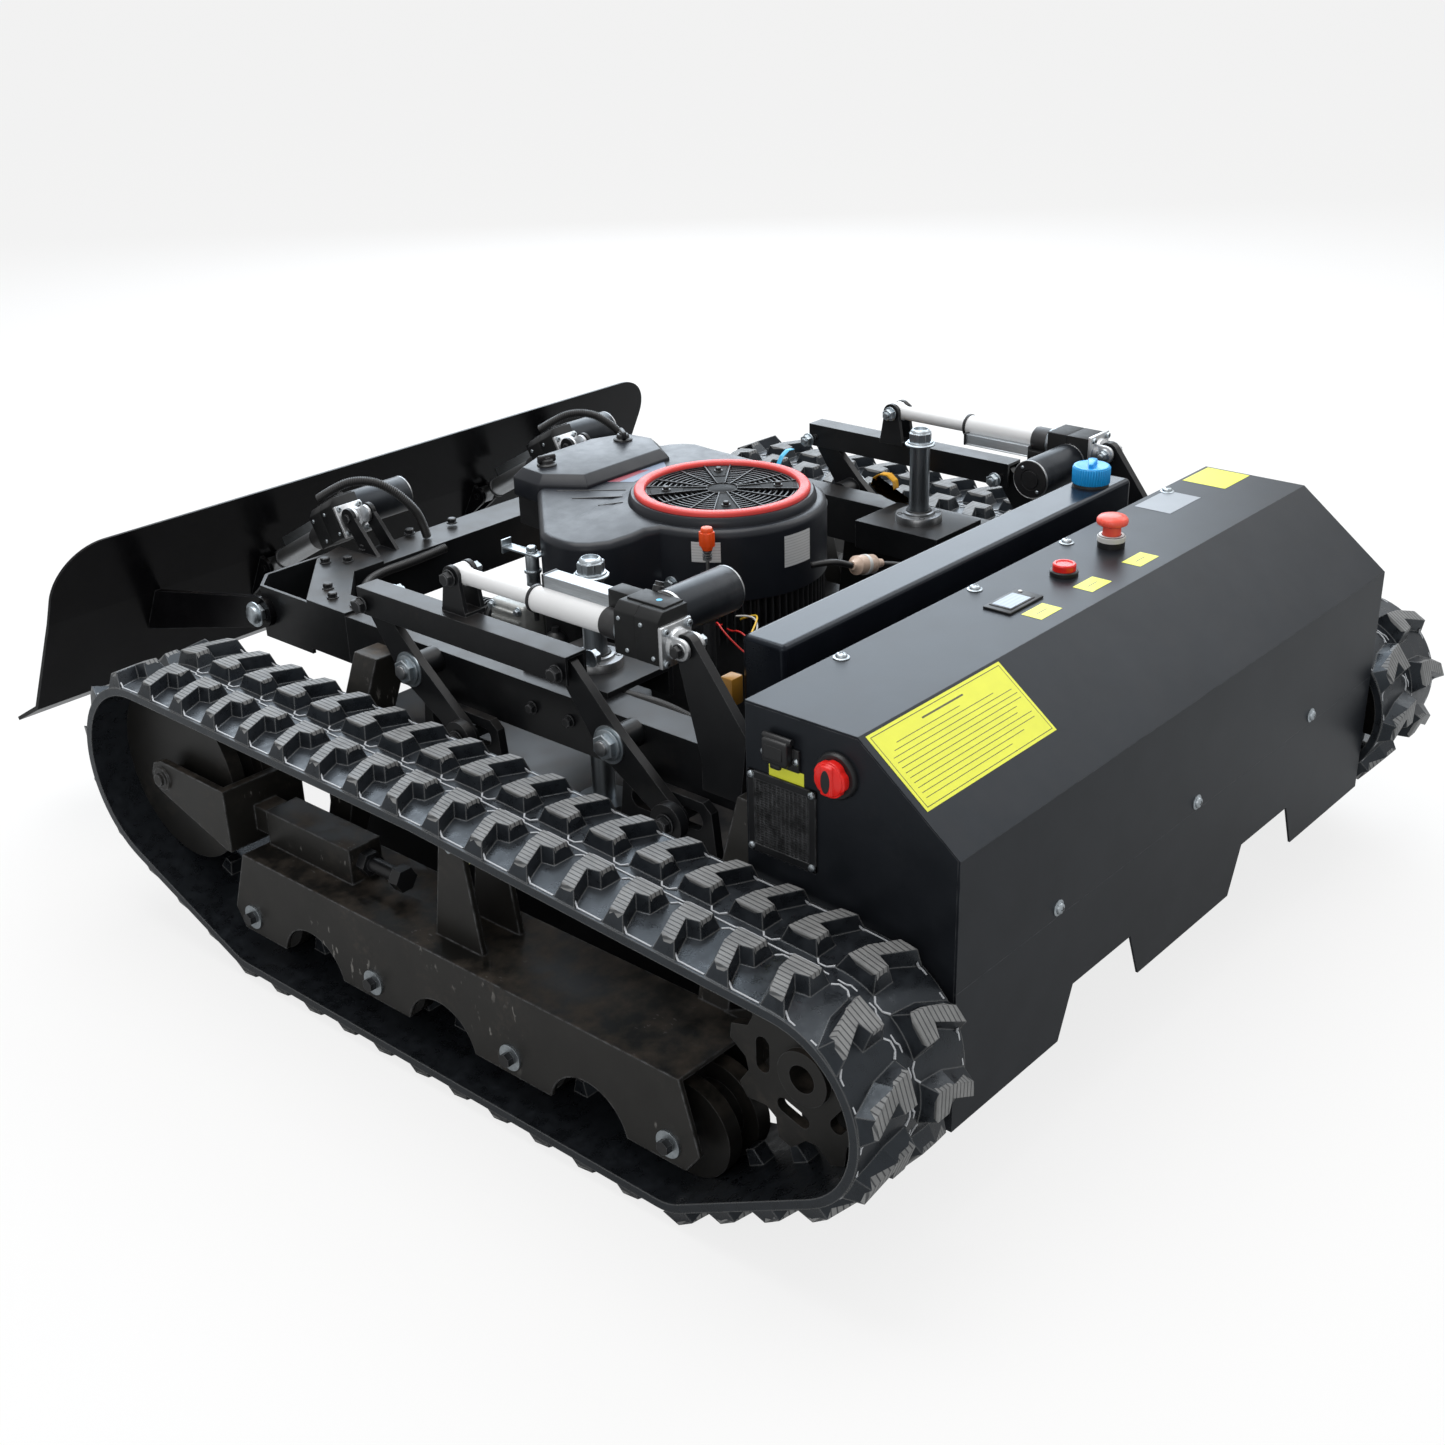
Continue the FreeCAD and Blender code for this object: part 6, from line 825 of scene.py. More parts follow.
class MOWER_OT_actuators(bpy.types.Operator):
    """Build the two height actuators and the two blade actuators"""
    bl_idname = "mower.actuators"
    bl_label = "Linear actuators"

    def execute(self, context):
        for side, sign in SIDES:
            lifted = Matrix.Translation((sign * 455, -421, 563))
            if sign > 0:
                lifted = lifted @ Matrix.Rotation(math.pi, 4, "Y")
            self.case(f"height_actuator_case_{side}", f"height_actuator_body_{side}", lifted, 122,
                      "enamel", 31 if sign < 0 else 22)
            self.rod(f"height_actuator_shaft_{side}", f"height_actuator_rod_{side}", lifted, 215, 378,
                     "enamel", 10.6)
            tipped = (Matrix.Translation((sign * 229, 453, 477))
                      @ Matrix.Rotation(math.radians(-28.9), 4, "X"))
            self.case(f"blade_actuator_case_{side}", f"blade_actuator_body_{side}", tipped, 116,
                      "aluminium")
            self.rod(f"blade_actuator_shaft_{side}", f"blade_actuator_rod_{side}", tipped, 180, 277.5,
                     "steel", 9.6)
        return {"FINISHED"}

    def case(self, name, node, place, tube, tube_finish, rail=31):
        """Gear case, motor, collar and a tube of that length, with its rail up to that height."""
        case = Piece(name, node, "engine_metal", place)
        end = 123 + tube
        # Gear case: two moulded halves, a pad under the motor's shoulder, a nose round the collar
        case.use("gearbox")
        case.plate([(-25, -22), (25, -22), (25, 40), (-15, 40), (-25, 30)], "Y", 22, 57, 1.4)
        case.plate([(-24.4, -21.4), (24.4, -21.4), (24.4, 39.4), (-14.8, 39.4), (-24.4, 29.6)],
                   "Y", 56, 59)
        case.plate([(-25, -22), (25, -22), (25, 40), (-15, 40), (-25, 30)], "Y", 58, 90, 1.4)
        case.slab((-8, 27, 39), (24, 84, 42.5), 1.2)
        case.slab((1, 88, 12), (25, 123, 40), 1.4)
        self.screw(case, (1, 104, 19), (-1, 0, 0), 3.2)
        case.turned([(0, 88), (21.5, 88), (21.5, 94), (19.5, 97), (0, 97)], (0, 0, 0), FORWARD)
        for x, z in ((-19, -16), (19, -16), (-19, 22), (19, 34)):
            self.screw(case, (x, 90, z), FORWARD, 3.4)
        for y, z in ((30, -14), (48, 22), (70, -14), (82, 22)):
            self.screw(case, (-25, y, z), (-1, 0, 0), 2.8)
        # A small painted inspection dot
        case.use("tie").drum((6, 47, 42.4), (6, 47, 42.8), 3.6, sides=20)
        # Rear plate with its screws and the boss of the clevis
        case.use("cast_aluminium")
        case.slab((-25, 16.5, -25), (25, 22.5, 25), 1.6)
        case.turned([(0, 0), (19, 0), (18, 5), (13.5, 8), (0, 8)], (0, 16.5, 0), (0, -1, 0), 40)
        for x in (-19, 19):
            for z in (-19, 19):
                case.use("zinc").drum((x, 16.5, z), (x, 12.8, z), 4.2, sides=20, bevel=0.6)
                case.use("black_bolt").hexagon((x, 12.9, z), (x, 12.5, z), 3.6, 0)
        case.use("cast_aluminium")
        for x in (-15, 9):
            cheek = [(14, -13), (14, 13)] + ring_points(13, 17, (0, 0), math.pi / 2, math.pi)
            case.plate(cheek, "X", x, x + 6, 1.5)
            case.turned([(5.2, 0), (9, 0), (8.4, 1.2), (5.2, 1.2)], (x if x < 0 else x + 6, 0, 0),
                        (-1 if x < 0 else 1, 0, 0), 28)
        bolt_head(case, (-16, 0, 0), (-1, 0, 0), 13, 6.5, 8.5, "black_bolt")
        bolt_head(case, (16, 0, 0), RIGHT, 13, 7.5, 8.5, "zinc", nut=True)
        # Collar, tube with its rail, and the seal at its end
        case.use("collar").turned([(0, 95), (18.5, 95), (18.5, 120), (17.8, 121.5), (17.8, 123), (0, 123)],
                                  (0, 0, 0), FORWARD)
        case.use(tube_finish).turned([(0, 122), (16, 122), (16, end - 4), (0, end - 4)], (0, 0, 0),
                                     FORWARD, 56)
        case.use("rail").plate([(3, 14), (14, 6), (25, 6), (25, 20), (26.6, 20.6), (26.6, rail),
                                (3, rail)], "Y", 122, end - 13, 0.8, 2)
        case.use("black_plastic")
        case.turned([(0, end - 5), (17.4, end - 5), (17.4, end - 1), (16.4, end), (0, end)],
                    (0, 0, 0), FORWARD)
        case.plate([(2.4, 13), (13, 5), (27.2, 5), (27.2, rail + 0.6), (2.4, rail + 0.6)], "Y", end - 14,
                   end - 10.5, 0.6, 1)
        # Motor across the gear case: pale flange, can with a rolled rim, end cap with two screws
        centre = (0, 53, 18)
        case.use("cast_aluminium").turned([(0, 24), (27.6, 24), (27.6, 28.5), (0, 28.5)], centre, RIGHT)
        case.use("motor").turned([(0, 28), (28, 28), (28, 125), (27.4, 126.5), (26.6, 126.5),
                                  (26.6, 125.4), (0, 125.4)], centre, RIGHT, 56)
        case.use("steel").turned([(26.7, 125), (28.15, 125), (28.15, 127), (27.2, 127.6), (26.7, 127.2)],
                                 centre, RIGHT, 56)
        case.use("black_plastic")
        case.turned([(0, 125), (26.4, 125), (26, 127.6), (15, 128.4), (14.6, 127.2), (13.4, 127.2),
                     (13, 128.9), (0, 129)], centre, RIGHT, 48)
        for turn in (-0.9, 2.24):
            self.screw(case, (128, 53 + 20.5 * math.cos(turn), 18 + 20.5 * math.sin(turn)), RIGHT, 2.6)
        # Cable gland where the lead goes in
        case.use("black_plastic")
        case.turned([(0, 0), (6.5, 0), (6.5, 6), (5, 7), (5, 11), (0, 11)], (30, 72, 40), (0.4, 0, 1), 24)
        return case.done(replaces=(node,))

    def screw(self, piece, at, heading, radius):
        """A pan head screw with a cross recess."""
        piece.use("zinc")
        at, heading = Vector(at), Vector(heading)
        piece.turned([(radius, 0), (radius, radius * 0.25), (radius * 0.75, radius * 0.55),
                      (radius * 0.2, radius * 0.62), (0, radius * 0.45)], at, heading, 16)

    def rod(self, name, node, place, start, long, finish, radius):
        """The rod from start to its eye at long, with the bush in its eye."""
        rod = Piece(name, node, "steel_rod", place)
        rod.use(finish)
        rod.turned([(0, start), (radius, start), (radius, long - 17), (radius + 1.4, long - 14),
                    (radius + 1.4, long - 10), (0, long - 10)], (0, 0, 0), FORWARD)
        rod.turned([(9, -10), (12.8, -10), (14, -8.6), (14, 8.6), (12.8, 10), (9, 10), (9, -10)],
                   (0, long, 0), RIGHT)
        rod.use("steel").turned([(5.3, -10.6), (9.2, -10.6), (9.2, 10.6), (5.3, 10.6), (5.3, -10.6)],
                                (0, long, 0), RIGHT, 32)
        return rod.done(replaces=(node,))


def shroud_outline(grow=0.0):
    """The blower housing from above: a round rear, a wide slanted wing at the left, a flat nose."""
    arc = ring_points(146 + grow, 33, (0, SHAFT_Y), math.radians(180 + 6), math.radians(168))
    right = [(153, -70), (163, -36), (170, 20), (174, 93), (178, 132), (168, 152), (150, 168), (132, 174)]
    left = [(-119, 170), (-132, 162), (-239, 45), (-248, 24), (-251, -8), (-248, -28), (-236, -46),
            (-213, -63), (-184, -76), (-162, -80)]
    return arc + [(x + grow, y) for x, y in right] + [(x - grow, y) for x, y in left]


class MOWER_OT_blower_housing(bpy.types.Operator):
    """Build the engine's moulded blower housing with its rounded shoulder and raised ring seat"""
    bl_idname = "mower.blower_housing"
    bl_label = "Blower housing"

    def execute(self, context):
        housing = Piece("blower_housing_shell", "deck", "black_plastic")
        housing.use("moulding")
        bm = housing.bm
        foot, _ = housing.raised(shroud_outline(), "Z", 449, 548)
        housing.bevel(housing.level(bm.edges, 548), 11, 6, clamp=False)
        bmesh.ops.delete(bm, geom=housing.level(bm.faces, 548) + [foot], context="FACES_ONLY")
        flat = housing.level([edge for edge in bm.edges if edge.is_boundary], 548)
        ring = bmesh.ops.create_circle(bm, segments=96, radius=132, cap_ends=False,
                                       matrix=Matrix.Translation((0, SHAFT_Y, 548)))["verts"]
        loop = [edge for edge in bm.edges if edge.verts[0] in set(ring) and edge.verts[1] in set(ring)]
        bmesh.ops.bridge_loops(bm, edges=flat + loop)
        # The wing falls a little towards its shoulder
        for vert in bm.verts:
            if vert.co.x < -150 and vert.co.z > 500:
                vert.co.z -= 9 * min(1, (-150 - vert.co.x) / 60)
        top = BVHTree.FromBMesh(bm)
        # Raised seat of the intake ring, and the well behind the grille
        housing.turned([(132, 548), (131.2, 553), (129.8, 557), (127, 560), (106, 560.4), (106, 512),
                        (0, 512)], (0, SHAFT_Y, 0), steps=96)
        # Three cooling slots beside the ring
        housing.use("black_plastic")
        for start, end in (((-118, 136), (-54, 61)), ((-125, 98), (-78, 44)), ((-121, 50), (-97, 25))):
            start, end = (top.ray_cast(Vector((*spot, 600)),
                                       Vector((0, 0, -1)))[0] for spot in (start, end))
            housing.slab((0, -1.9, -1.2), ((end - start).length, 1.9, 0.7), 0.4, 1,
                         aimed(start, end - start, "X", "Z"))
        housing.done(35, replaces=("blower_housing",))

        seam = Piece("blower_housing_seam", "deck", "black_plastic")
        seam.use("black_plastic").plate(shroud_outline(-4), "Z", 446, 449.4)
        seam.done(35)
        return {"FINISHED"}


class MOWER_OT_intake(bpy.types.Operator):
    """Build the red intake ring, the grille and the flywheel fan under it"""
    bl_idname = "mower.intake"
    bl_label = "Intake ring, grille and fan"

    def execute(self, context):
        centre = (0, SHAFT_Y, 0)
        ring = Piece("intake_ring", "deck", "red_plastic")
        ring.use("ring").turned([(107.4, 562), (108, 564.8), (110, 566.4), (118.8, 566.8), (121.6, 565.8),
                                 (123.2, 563.6), (123.2, 559), (107.4, 559), (107.4, 562)],
                                centre, steps=112)
        ring.done(40)

        bar = context.scene.mower_sizes.grille_bar / MM / 2
        grille = Piece("intake_grille", "deck", "black_plastic")
        grille.use("grille")
        for k in range(10):
            radius = 29 + 8 * k
            grille.turned([(radius - bar, 557), (radius + bar, 557), (radius + bar, 560),
                           (radius - bar, 560), (radius - bar, 557)], centre, steps=72)
        grille.use("grille_plate").turned([(0, 556), (21, 556), (21, 560.6), (20, 561.4),
                                           (0, 561.6)], centre)
        grille.use("grille").turned([(20.6, 556), (22.4, 556), (22.4, 561.6), (21, 562.4),
                                     (20.6, 556)], centre)
        grille.turned([(104, 554), (107, 554), (107, 561), (104, 561), (104, 554)], centre, steps=96)
        for k in range(4):
            turn = math.radians(45 + 90 * k)
            spin = Matrix.Translation(centre) @ Matrix.Rotation(turn, 4, "Z")
            grille.use("grille_plate")
            grille.plate([(20, -6), (105, -20), (105, 20), (20, 6)], "Z", 559.2, 561.2, 0.5, 1, spin)
            grille.use("grille")
            for edge in (-1, 1):
                grille.plate([(20, edge * 6), (105, edge * 20), (105, edge * 18), (20, edge * 4.4)], "Z",
                             561, 562.8, 0.3, 1, spin)
            grille.use("grille_plate").plate([(54, -8), (100, -14.5), (100, 14.5), (54, 8)], "Z", 561, 562,
                                             0.5, 1, spin)
            bolt_head(grille, spin @ Vector((78, 0, 561.6)), UP, 8, 3.6, 6.5, "black_bolt")
            grille.use("grille")
            for step in (31, 59):
                ray = Matrix.Translation(centre) @ Matrix.Rotation(turn + math.radians(step), 4, "Z")
                grille.slab((20, -1.3, 557.5), (105, 1.3, 561.4), 0.5, 1, ray)
        grille.done(40, replaces=("fan_guard",))

        fan = Piece("flywheel_fan", "cutter_blade", "cutter_steel")
        fan.use("fan")
        fan.turned([(0, 513), (98, 513), (98, 517), (40, 519), (30, 530), (0, 530)], centre, steps=64)
        for k in range(14):
            blade = Matrix.Translation(centre) @ Matrix.Rotation(math.tau * k / 14, 4, "Z")
            fan.plate([(34, -2), (60, 3), (96, 14), (96, 17), (60, 6), (34, 1)], "Z", 516, 541,
                      0.6, 1, blade)
        fan.use("zinc")
        bolt_head(fan, (0, SHAFT_Y, 530), UP, 24, 12, 16, "zinc", nut=True)
        fan.done(40)
        return {"FINISHED"}


class MOWER_OT_filter_cover(bpy.types.Operator):
    """Build the air filter cover with its wide bevel and two winged knobs"""
    bl_idname = "mower.filter_cover"
    bl_label = "Air filter cover"

    def outline(self, grow=0.0):
        """The cover from above."""
        right = [(86 + grow, 105 - grow), (126 + grow, 165), (119 + grow, 225), (58, 250 + grow)]
        return right + [(-x, y) for x, y in right[::-1]]

    def execute(self, context):
        cover = Piece("filter_cover_lid", "deck", "black_plastic")
        cover.use("moulding")
        bm = cover.bm
        cover.raised(self.outline(), "Z", 525, 565)
        cover.bevel(cover.level(bm.edges, 565), 13, 1)
        sharp = [edge for edge in bm.edges if len(edge.link_faces) == 2 and edge.calc_face_angle() > 0.3]
        cover.bevel(sharp, 1.6)
        # Lower shell with a shadow gap under the lid
        cover.use("black_plastic").plate(self.outline(-8), "Z", 480, 526)
        for sign in (-1, 1):
            at = Vector((sign * 79.5, 194, 565))
            cover.use("black_plastic")
            cover.turned([(14.5, -0.5), (14.5, 2), (12.5, 3.5), (10, 3.8), (9.4, 8), (8, 9.5), (0, 9.8)],
                         at, steps=36)
            wing = Matrix.Translation(at) @ Matrix.Rotation(math.radians(35 * sign + 20), 4, "Z")
            cover.slab((-14.5, -3.6, 4), (14.5, 3.6, 15.5), 2.6, 3, wing)
            cover.slab((-4.5, -5.4, 4), (4.5, 5.4, 12.5), 2.2, 2, wing)
        cover.done(32, replaces=("filter_cover",))
        return {"FINISHED"}


class MOWER_OT_guide_posts(bpy.types.Operator):
    """Top the ground guide posts with flange nuts and bolt their bearing flanges down"""
    bl_idname = "mower.guide_posts"
    bl_label = "Guide posts"

    def execute(self, context):
        for side, sign in SIDES:
            at = Vector((sign * 348, -163, 0))
            nut = Piece(f"post_nut_{side}", "deck", "zinc_steel")
            nut.use("zinc")
            nut.turned([(7, 556), (22.5, 556), (22.5, 558), (21, 559.2), (7, 559.2)], at)
            nut.turned([(7, 559), (19.6, 559), (19, 561.5), (17, 562.4), (7, 562.4)], at)
            nut.hexagon(at + Vector((0, 0, 561.5)), at + Vector((0, 0, 575.5)), 31, 1.2)
            nut.turned([(14.6, 575), (14.2, 577.5), (11.6, 580), (10.6, 580.2), (10.2, 577), (0, 577)],
                       at, steps=40)
            nut.done(40)
            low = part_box("guide_bearings")[1].z / MM
            flange = Piece(f"bearing_flange_{side}", "chassis", "zinc_steel")
            flange.use("steel")
            flange.turned([(15.4, low - 11), (35.2, low - 11), (35.2, low - 0.8), (34.4, low + 0.2),
                           (24.5, low + 0.2), (24, low + 3.8), (21, low + 4.4), (15.4, low + 4.4)],
                          at, steps=64)
            for k in range(4):
                turn = math.radians(45 + 90 * k)
                hole = at + Vector((29.2 * math.cos(turn), 29.2 * math.sin(turn), low))
                flange.use("black_bolt").turned([(4.6, 0.2), (4.6, 0.7), (3.2, 0.7), (2.8, -1.5),
                                                 (0, -1.5)], hole, steps=24)
            flange.use("black_plastic").turned([(15.2, low + 4), (20, low + 4), (19, low + 6.4),
                                                (15.2, low + 6.4)], at)
            flange.done(40)
        return {"FINISHED"}


def pan_screw(piece, at, heading, radius=6.5, finish="zinc"):
    """A pan head screw with its cross recess, on a flat surface."""
    at, heading = Vector(at), Vector(heading).normalized()
    piece.use(finish)
    piece.turned([(radius, 0), (radius, radius * 0.22), (radius * 0.86, radius * 0.48),
                  (radius * 0.5, radius * 0.66), (0, radius * 0.7)], at, heading, 28)
    turn = aimed(at + heading * radius * 0.64, heading)
    piece.use("black_bolt")
    for low, high in (((-0.5, -0.09, 0), (0.5, 0.09, 0.08)), ((-0.09, -0.5, 0), (0.09, 0.5, 0.08))):
        piece.slab(Vector(low) * radius, Vector(high) * radius, 0, 1, turn)
    return piece


class MOWER_OT_controls(bpy.types.Operator):
    """Build the stop button, push button, isolator and display of the cabinet"""
    bl_idname = "mower.controls"
    bl_label = "Cabinet controls"

    def execute(self, context):
        top = CABINET_TOP
        stop = Piece("stop_head", "emergency_stop", "red_plastic")
        stop.use("stop").turned([(0, top + 16), (11.6, top + 16), (11.6, top + 27), (14, top + 29),
                                 (19, top + 30.5), (20, top + 33), (19.6, top + 37), (17, top + 40),
                                 (10, top + 41.6), (0, top + 42)], (133, -610, 0), steps=56)
        stop.done(50, replaces=("emergency_stop",))
        collar = Piece("stop_collar", "chassis", "black_plastic")
        collar.use("black_plastic").turned([(0, top), (17.4, top), (17.4, top + 8.4), (12.6, top + 8.4),
                                            (12.6, top + 2), (0, top + 2)], (133, -610, 0))
        collar.use("white_plastic").turned([(12.6, top + 8.4), (17.8, top + 8.4), (17.8, top + 14.6),
                                            (15.6, top + 16.4), (12.6, top + 16.4), (12.6, top + 8.4)],
                                           (133, -610, 0))
        collar.use("black_plastic").turned([(0, top), (17.4, top), (17.4, top + 5.2), (16, top + 6.4),
                                            (0, top + 6.4)], (11, -616, 0))
        collar.done(40)
        button = Piece("button_head", "push_button", "red_plastic")
        button.use("button").turned([(0, top + 6), (14.4, top + 6), (14.4, top + 13.4), (13, top + 15),
                                     (10.5, top + 15), (9.6, top + 13.8), (0, top + 13.4)], (11, -616, 0))
        button.done(40, replaces=("push_button",))

        face = CABINET_SIDE
        base = Piece("isolator_seat", "chassis", "black_plastic")
        base.use("black_plastic").turned([(0, 0), (26, 0), (26, 4), (24, 6.4), (0, 6.4)],
                                         (face, -670, 503), (-1, 0, 0), 56)
        base.done(40)
        knob = Piece("isolator_grip", "isolator_knob", "red_plastic")
        lobes = lobed((-670, 503), 60, lambda k: 20.2 - 1.6 * max(0, math.cos(5 * math.tau * k / 60)) ** 2)
        knob.use("button").plate(lobes, "X", face - 6.5, face - 15, 1.5)
        knob.turned([(0, 14), (18.4, 14), (17.6, 16.6), (15, 17.8), (0, 17.8)], (face, -670, 503),
                    (-1, 0, 0), 48)
        knob.slab((face - 21, -678, 486), (face - 14, -662, 520), 3, 3)
        oval = [(-670 + 5.6 * y, 503 + 13 * z) for y, z in ring_points(1, 24)]
        knob.use("black_plastic").plate(oval, "X", face - 20.8, face - 21.4)
        knob.done(40, replaces=("isolator_knob",))

        screen = Piece("display_panel", "chassis", "black_plastic")
        screen.use("black_plastic").slab((-142, -638, 552.5), (-70, -600, 556), 1.2)
        screen.slab((-134, -633.5, 555.5), (-82, -603.5, 557), 0.6)
        screen.use("screen").slab((-131, -631.5, 556.6), (-87, -605.5, 557.2), 0.2, 1)
        screen.use("white_plastic").drum((-76, -609, 555.6), (-76, -609, 557.4), 2.6, sides=20, bevel=0.5)
        screen.done(40)
        return {"FINISHED"}


class MOWER_OT_labels(bpy.types.Operator):
    """Stick the blank labels on the cabinet and the engine"""
    bl_idname = "mower.labels"
    bl_label = "Blank labels"

    def execute(self, context):
        film = context.scene.mower_sizes.film / MM
        top = CABINET_TOP
        small = Piece("cabinet_labels", "chassis")
        small.use("label")
        for left, rear, right, front in ((-131, -673, -86, -646), (-20, -674, 25, -647),
                                         (90, -676, 136, -650)):
            small.slab((left, rear, top), (right, front, top + film))
            small.use("ink").slab((left + 12, (rear + front) / 2 - 0.7, top),
                                  (right - 12, (rear + front) / 2 + 0.7, top + 0.05 + film))
            small.use("label")
        small.slab((429, -616, top), (503, -552, top + film))
        small.use("grey_label").slab((290, -608, top), (375, -555, top + film))
        small.use("label").slab((CABINET_SIDE - film, -626, 474), (CABINET_SIDE, -579, 490))
        small.done(20)

        # The wide label on the slanted face, with a rule round it and blank ruled lines
        sloped = Piece("slanted_label", "chassis")
        way = Vector((0, -127, -98)).normalized()
        out = Vector((0, -98, 127)).normalized()
        frame_of = Matrix((Vector(RIGHT), way, out)).transposed().to_4x4()
        frame_of.translation = Vector((0, -695, top))
        sloped.use("label").slab((-498, 3.5, 0), (-258, 101, film), 0, 1, frame_of)
        sloped.use("ink")
        lift = film + 0.05
        for low, high in (((-494, 7), (-262, 7.9)), ((-494, 96.6), (-262, 97.5)),
                          ((-494, 7), (-493.1, 97.5)), ((-262.9, 7), (-262, 97.5))):
            sloped.slab((*low, 0), (*high, lift), 0, 1, frame_of)
        sloped.slab((-414, 14.5, 0), (-340, 16.6, lift), 0, 1, frame_of)
        for k, (start, end) in enumerate(((-468, -356), (-478, -300), (-486, -272), (-486, -268),
                                          (-486, -268), (-486, -284), (-486, -290), (-486, -270),
                                          (-486, -272), (-486, -300), (-486, -330))):
            sloped.slab((start, 24 + 6.4 * k, 0), (end, 24.8 + 6.4 * k, lift), 0, 1, frame_of)
        sloped.done(20)

        # Bent labels round the blower housing's rear, and the two-tone strip on its top
        bent = Piece("engine_labels", "deck")
        for finish, start, sweep, low, high in (("pale_label", -104.5, 19, 486, 530),
                                                ("pale_label", -155.6, 15.5, 505, 533)):
            bent.use(finish)
            inner = ring_points(145.4, 9, (0, SHAFT_Y), math.radians(start), math.radians(sweep))
            outer = ring_points(146.7, 9, (0, SHAFT_Y), math.radians(start + sweep), math.radians(-sweep))
            bent.plate(inner + outer, "Z", low, high)
        bent.use("hood_film").plate([(-52, 112), (-24, 74), (56, 84), (80, 112)], "Z", 547.8, 548.3)
        bent.use("hood_red").plate([(-47, 106), (16, 108), (33, 96), (-36, 91)], "Z", 547.8, 548.4)
        bent.done(20)
        return {"FINISHED"}


class MOWER_OT_cabinet_fittings(bpy.types.Operator):
    """Build the vent, the charging socket and the screws of the cabinet"""
    bl_idname = "mower.cabinet_fittings"
    bl_label = "Cabinet fittings"

    def execute(self, context):
        face = CABINET_SIDE
        vent = Piece("side_vent", "chassis", "black_plastic")
        low, high, near, far = 379, 475, -551, -643
        vent.use("black_bolt")
        for a, b, c, d in ((near, near - 9, low, high), (far + 9, far, low, high),
                           (near, far, low, low + 9), (near, far, high - 9, high)):
            vent.slab((face - 3, b, c), (face, a, d), 0.5, 1)
        vent.use("mesh").slab((face - 0.8, far, low), (face, near, high))
        vent.use("black_bolt")
        for k in range(26):
            vent.slab((face - 2, far + 8, low + 10 + 3 * k), (face - 0.6, near - 8, low + 11.5 + 3 * k))
        for k in range(13):
            vent.slab((face - 2.2, far + 12 + 5.8 * k, low + 8),
                      (face - 0.6, far + 13.2 + 5.8 * k, high - 8))
        for y in (near - 5, far + 5):
            for z in (low + 5, high - 5):
                pan_screw(vent, (face - 3, y, z), (-1, 0, 0), 4.2)
        vent.done(30)

        socket = Piece("socket_flap", "chassis", "black_plastic")
        socket.use("black_plastic")
        socket.slab((face - 4, -622, 490), (face, -572, 516), 1.6)
        socket.slab((face - 15, -614, 497), (face - 2, -580, 525), 3.2, 3)
        socket.slab((face - 13.5, -604, 491), (face - 8, -590, 499), 2.4, 2)
        socket.drum((face - 7, -616, 525), (face - 7, -578, 525), 4, bevel=0.8)
        socket.plate([(-609, 504), (-585, 504), (-585, 519), (-609, 519)], "X", face - 15,
                     face - 16, 0.5, 1)
        for y in (-575.5, -618.5):
            pan_screw(socket, (face - 4, y, 503), (-1, 0, 0), 4.0)
        socket.done(40, replaces=("charging_socket",))

        screws = Piece("cover_screws", "chassis", "zinc_steel")
        for share in (-0.74, -0.2, 0.23, 0.77):
            at = Vector((483 * share, -559, 553))
            screws.use("zinc").turned([(0, 0), (9.6, 0), (9.6, 1.0), (8.8, 1.5), (0, 1.6)], at, steps=32)
            pan_screw(screws, at + Vector((0, 0, 1.4)), UP, 6.8)
        for x in (-313, 0, 313):
            at = Vector((x, -822, 312))
            screws.use("zinc").turned([(0, 0), (9.6, 0), (9.6, 1.0), (8.8, 1.5), (0, 1.6)], at,
                                      (0, -1, 0), 32)
            pan_screw(screws, at + Vector((0, -1.4, 0)), (0, -1, 0), 6.8)
        screws.done(40)
        return {"FINISHED"}


class MOWER_OT_fuel_cap(bpy.types.Operator):
    """Build the knurled fuel cap with its finger bar and keeper"""
    bl_idname = "mower.fuel_cap"
    bl_label = "Fuel cap"

    def execute(self, context):
        low, high = (corner.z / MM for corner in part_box("fuel_cap"))
        at = Vector((325, -467, 0))
        teeth = 44
        rim = lobed(at, teeth * 4, lambda k: 26.2 if k % 4 < 2 else 24.9)
        cap = Piece("fuel_cap_grip", "fuel_cap", "blue_plastic")
        cap.use("cap").plate(rim, "Z", low + 3, high - 3, 0.5, 1)
        cap.turned([(0, high - 3.2), (25, high - 3.2), (24.4, high - 1.2), (22, high - 0.4),
                    (20, high - 0.9), (0, high - 0.9)], at, steps=64)
        grip = Matrix.Translation(at) @ Matrix.Rotation(math.radians(25), 4, "Z")
        cap.plate([(-18, -3), *ring_points(7, 8, (9, 0), math.radians(-70), math.radians(140)), (-18, 3)],
                  "Z", high - 2, high + 5, 1.4, 2, grip)
        cap.use("black_plastic").turned([(0, low), (23.6, low), (22, low + 3.4), (0, low + 3.4)], at)
        cap.done(35, replaces=("fuel_cap",))
        collar = Piece("filler_collar", "chassis", "tank_plastic")
        collar.use("black_plastic").turned([(22, 558), (25, 558), (24.2, 562), (21.6, low - 0.6),
                                            (21, low - 0.6), (21, 558), (22, 558)], at)
        collar.use("zinc").drum((345, -437, 556), (345, -437, 572), 1.6, sides=16, bevel=0.3)
        collar.turned([(5.4, -0.9), (6.3, 0), (5.4, 0.9), (4.5, 0), (5.4, -0.9)], (345, -437, 572),
                      (1, 0.5, 0), 28)
        collar.done(40)
        return {"FINISHED"}


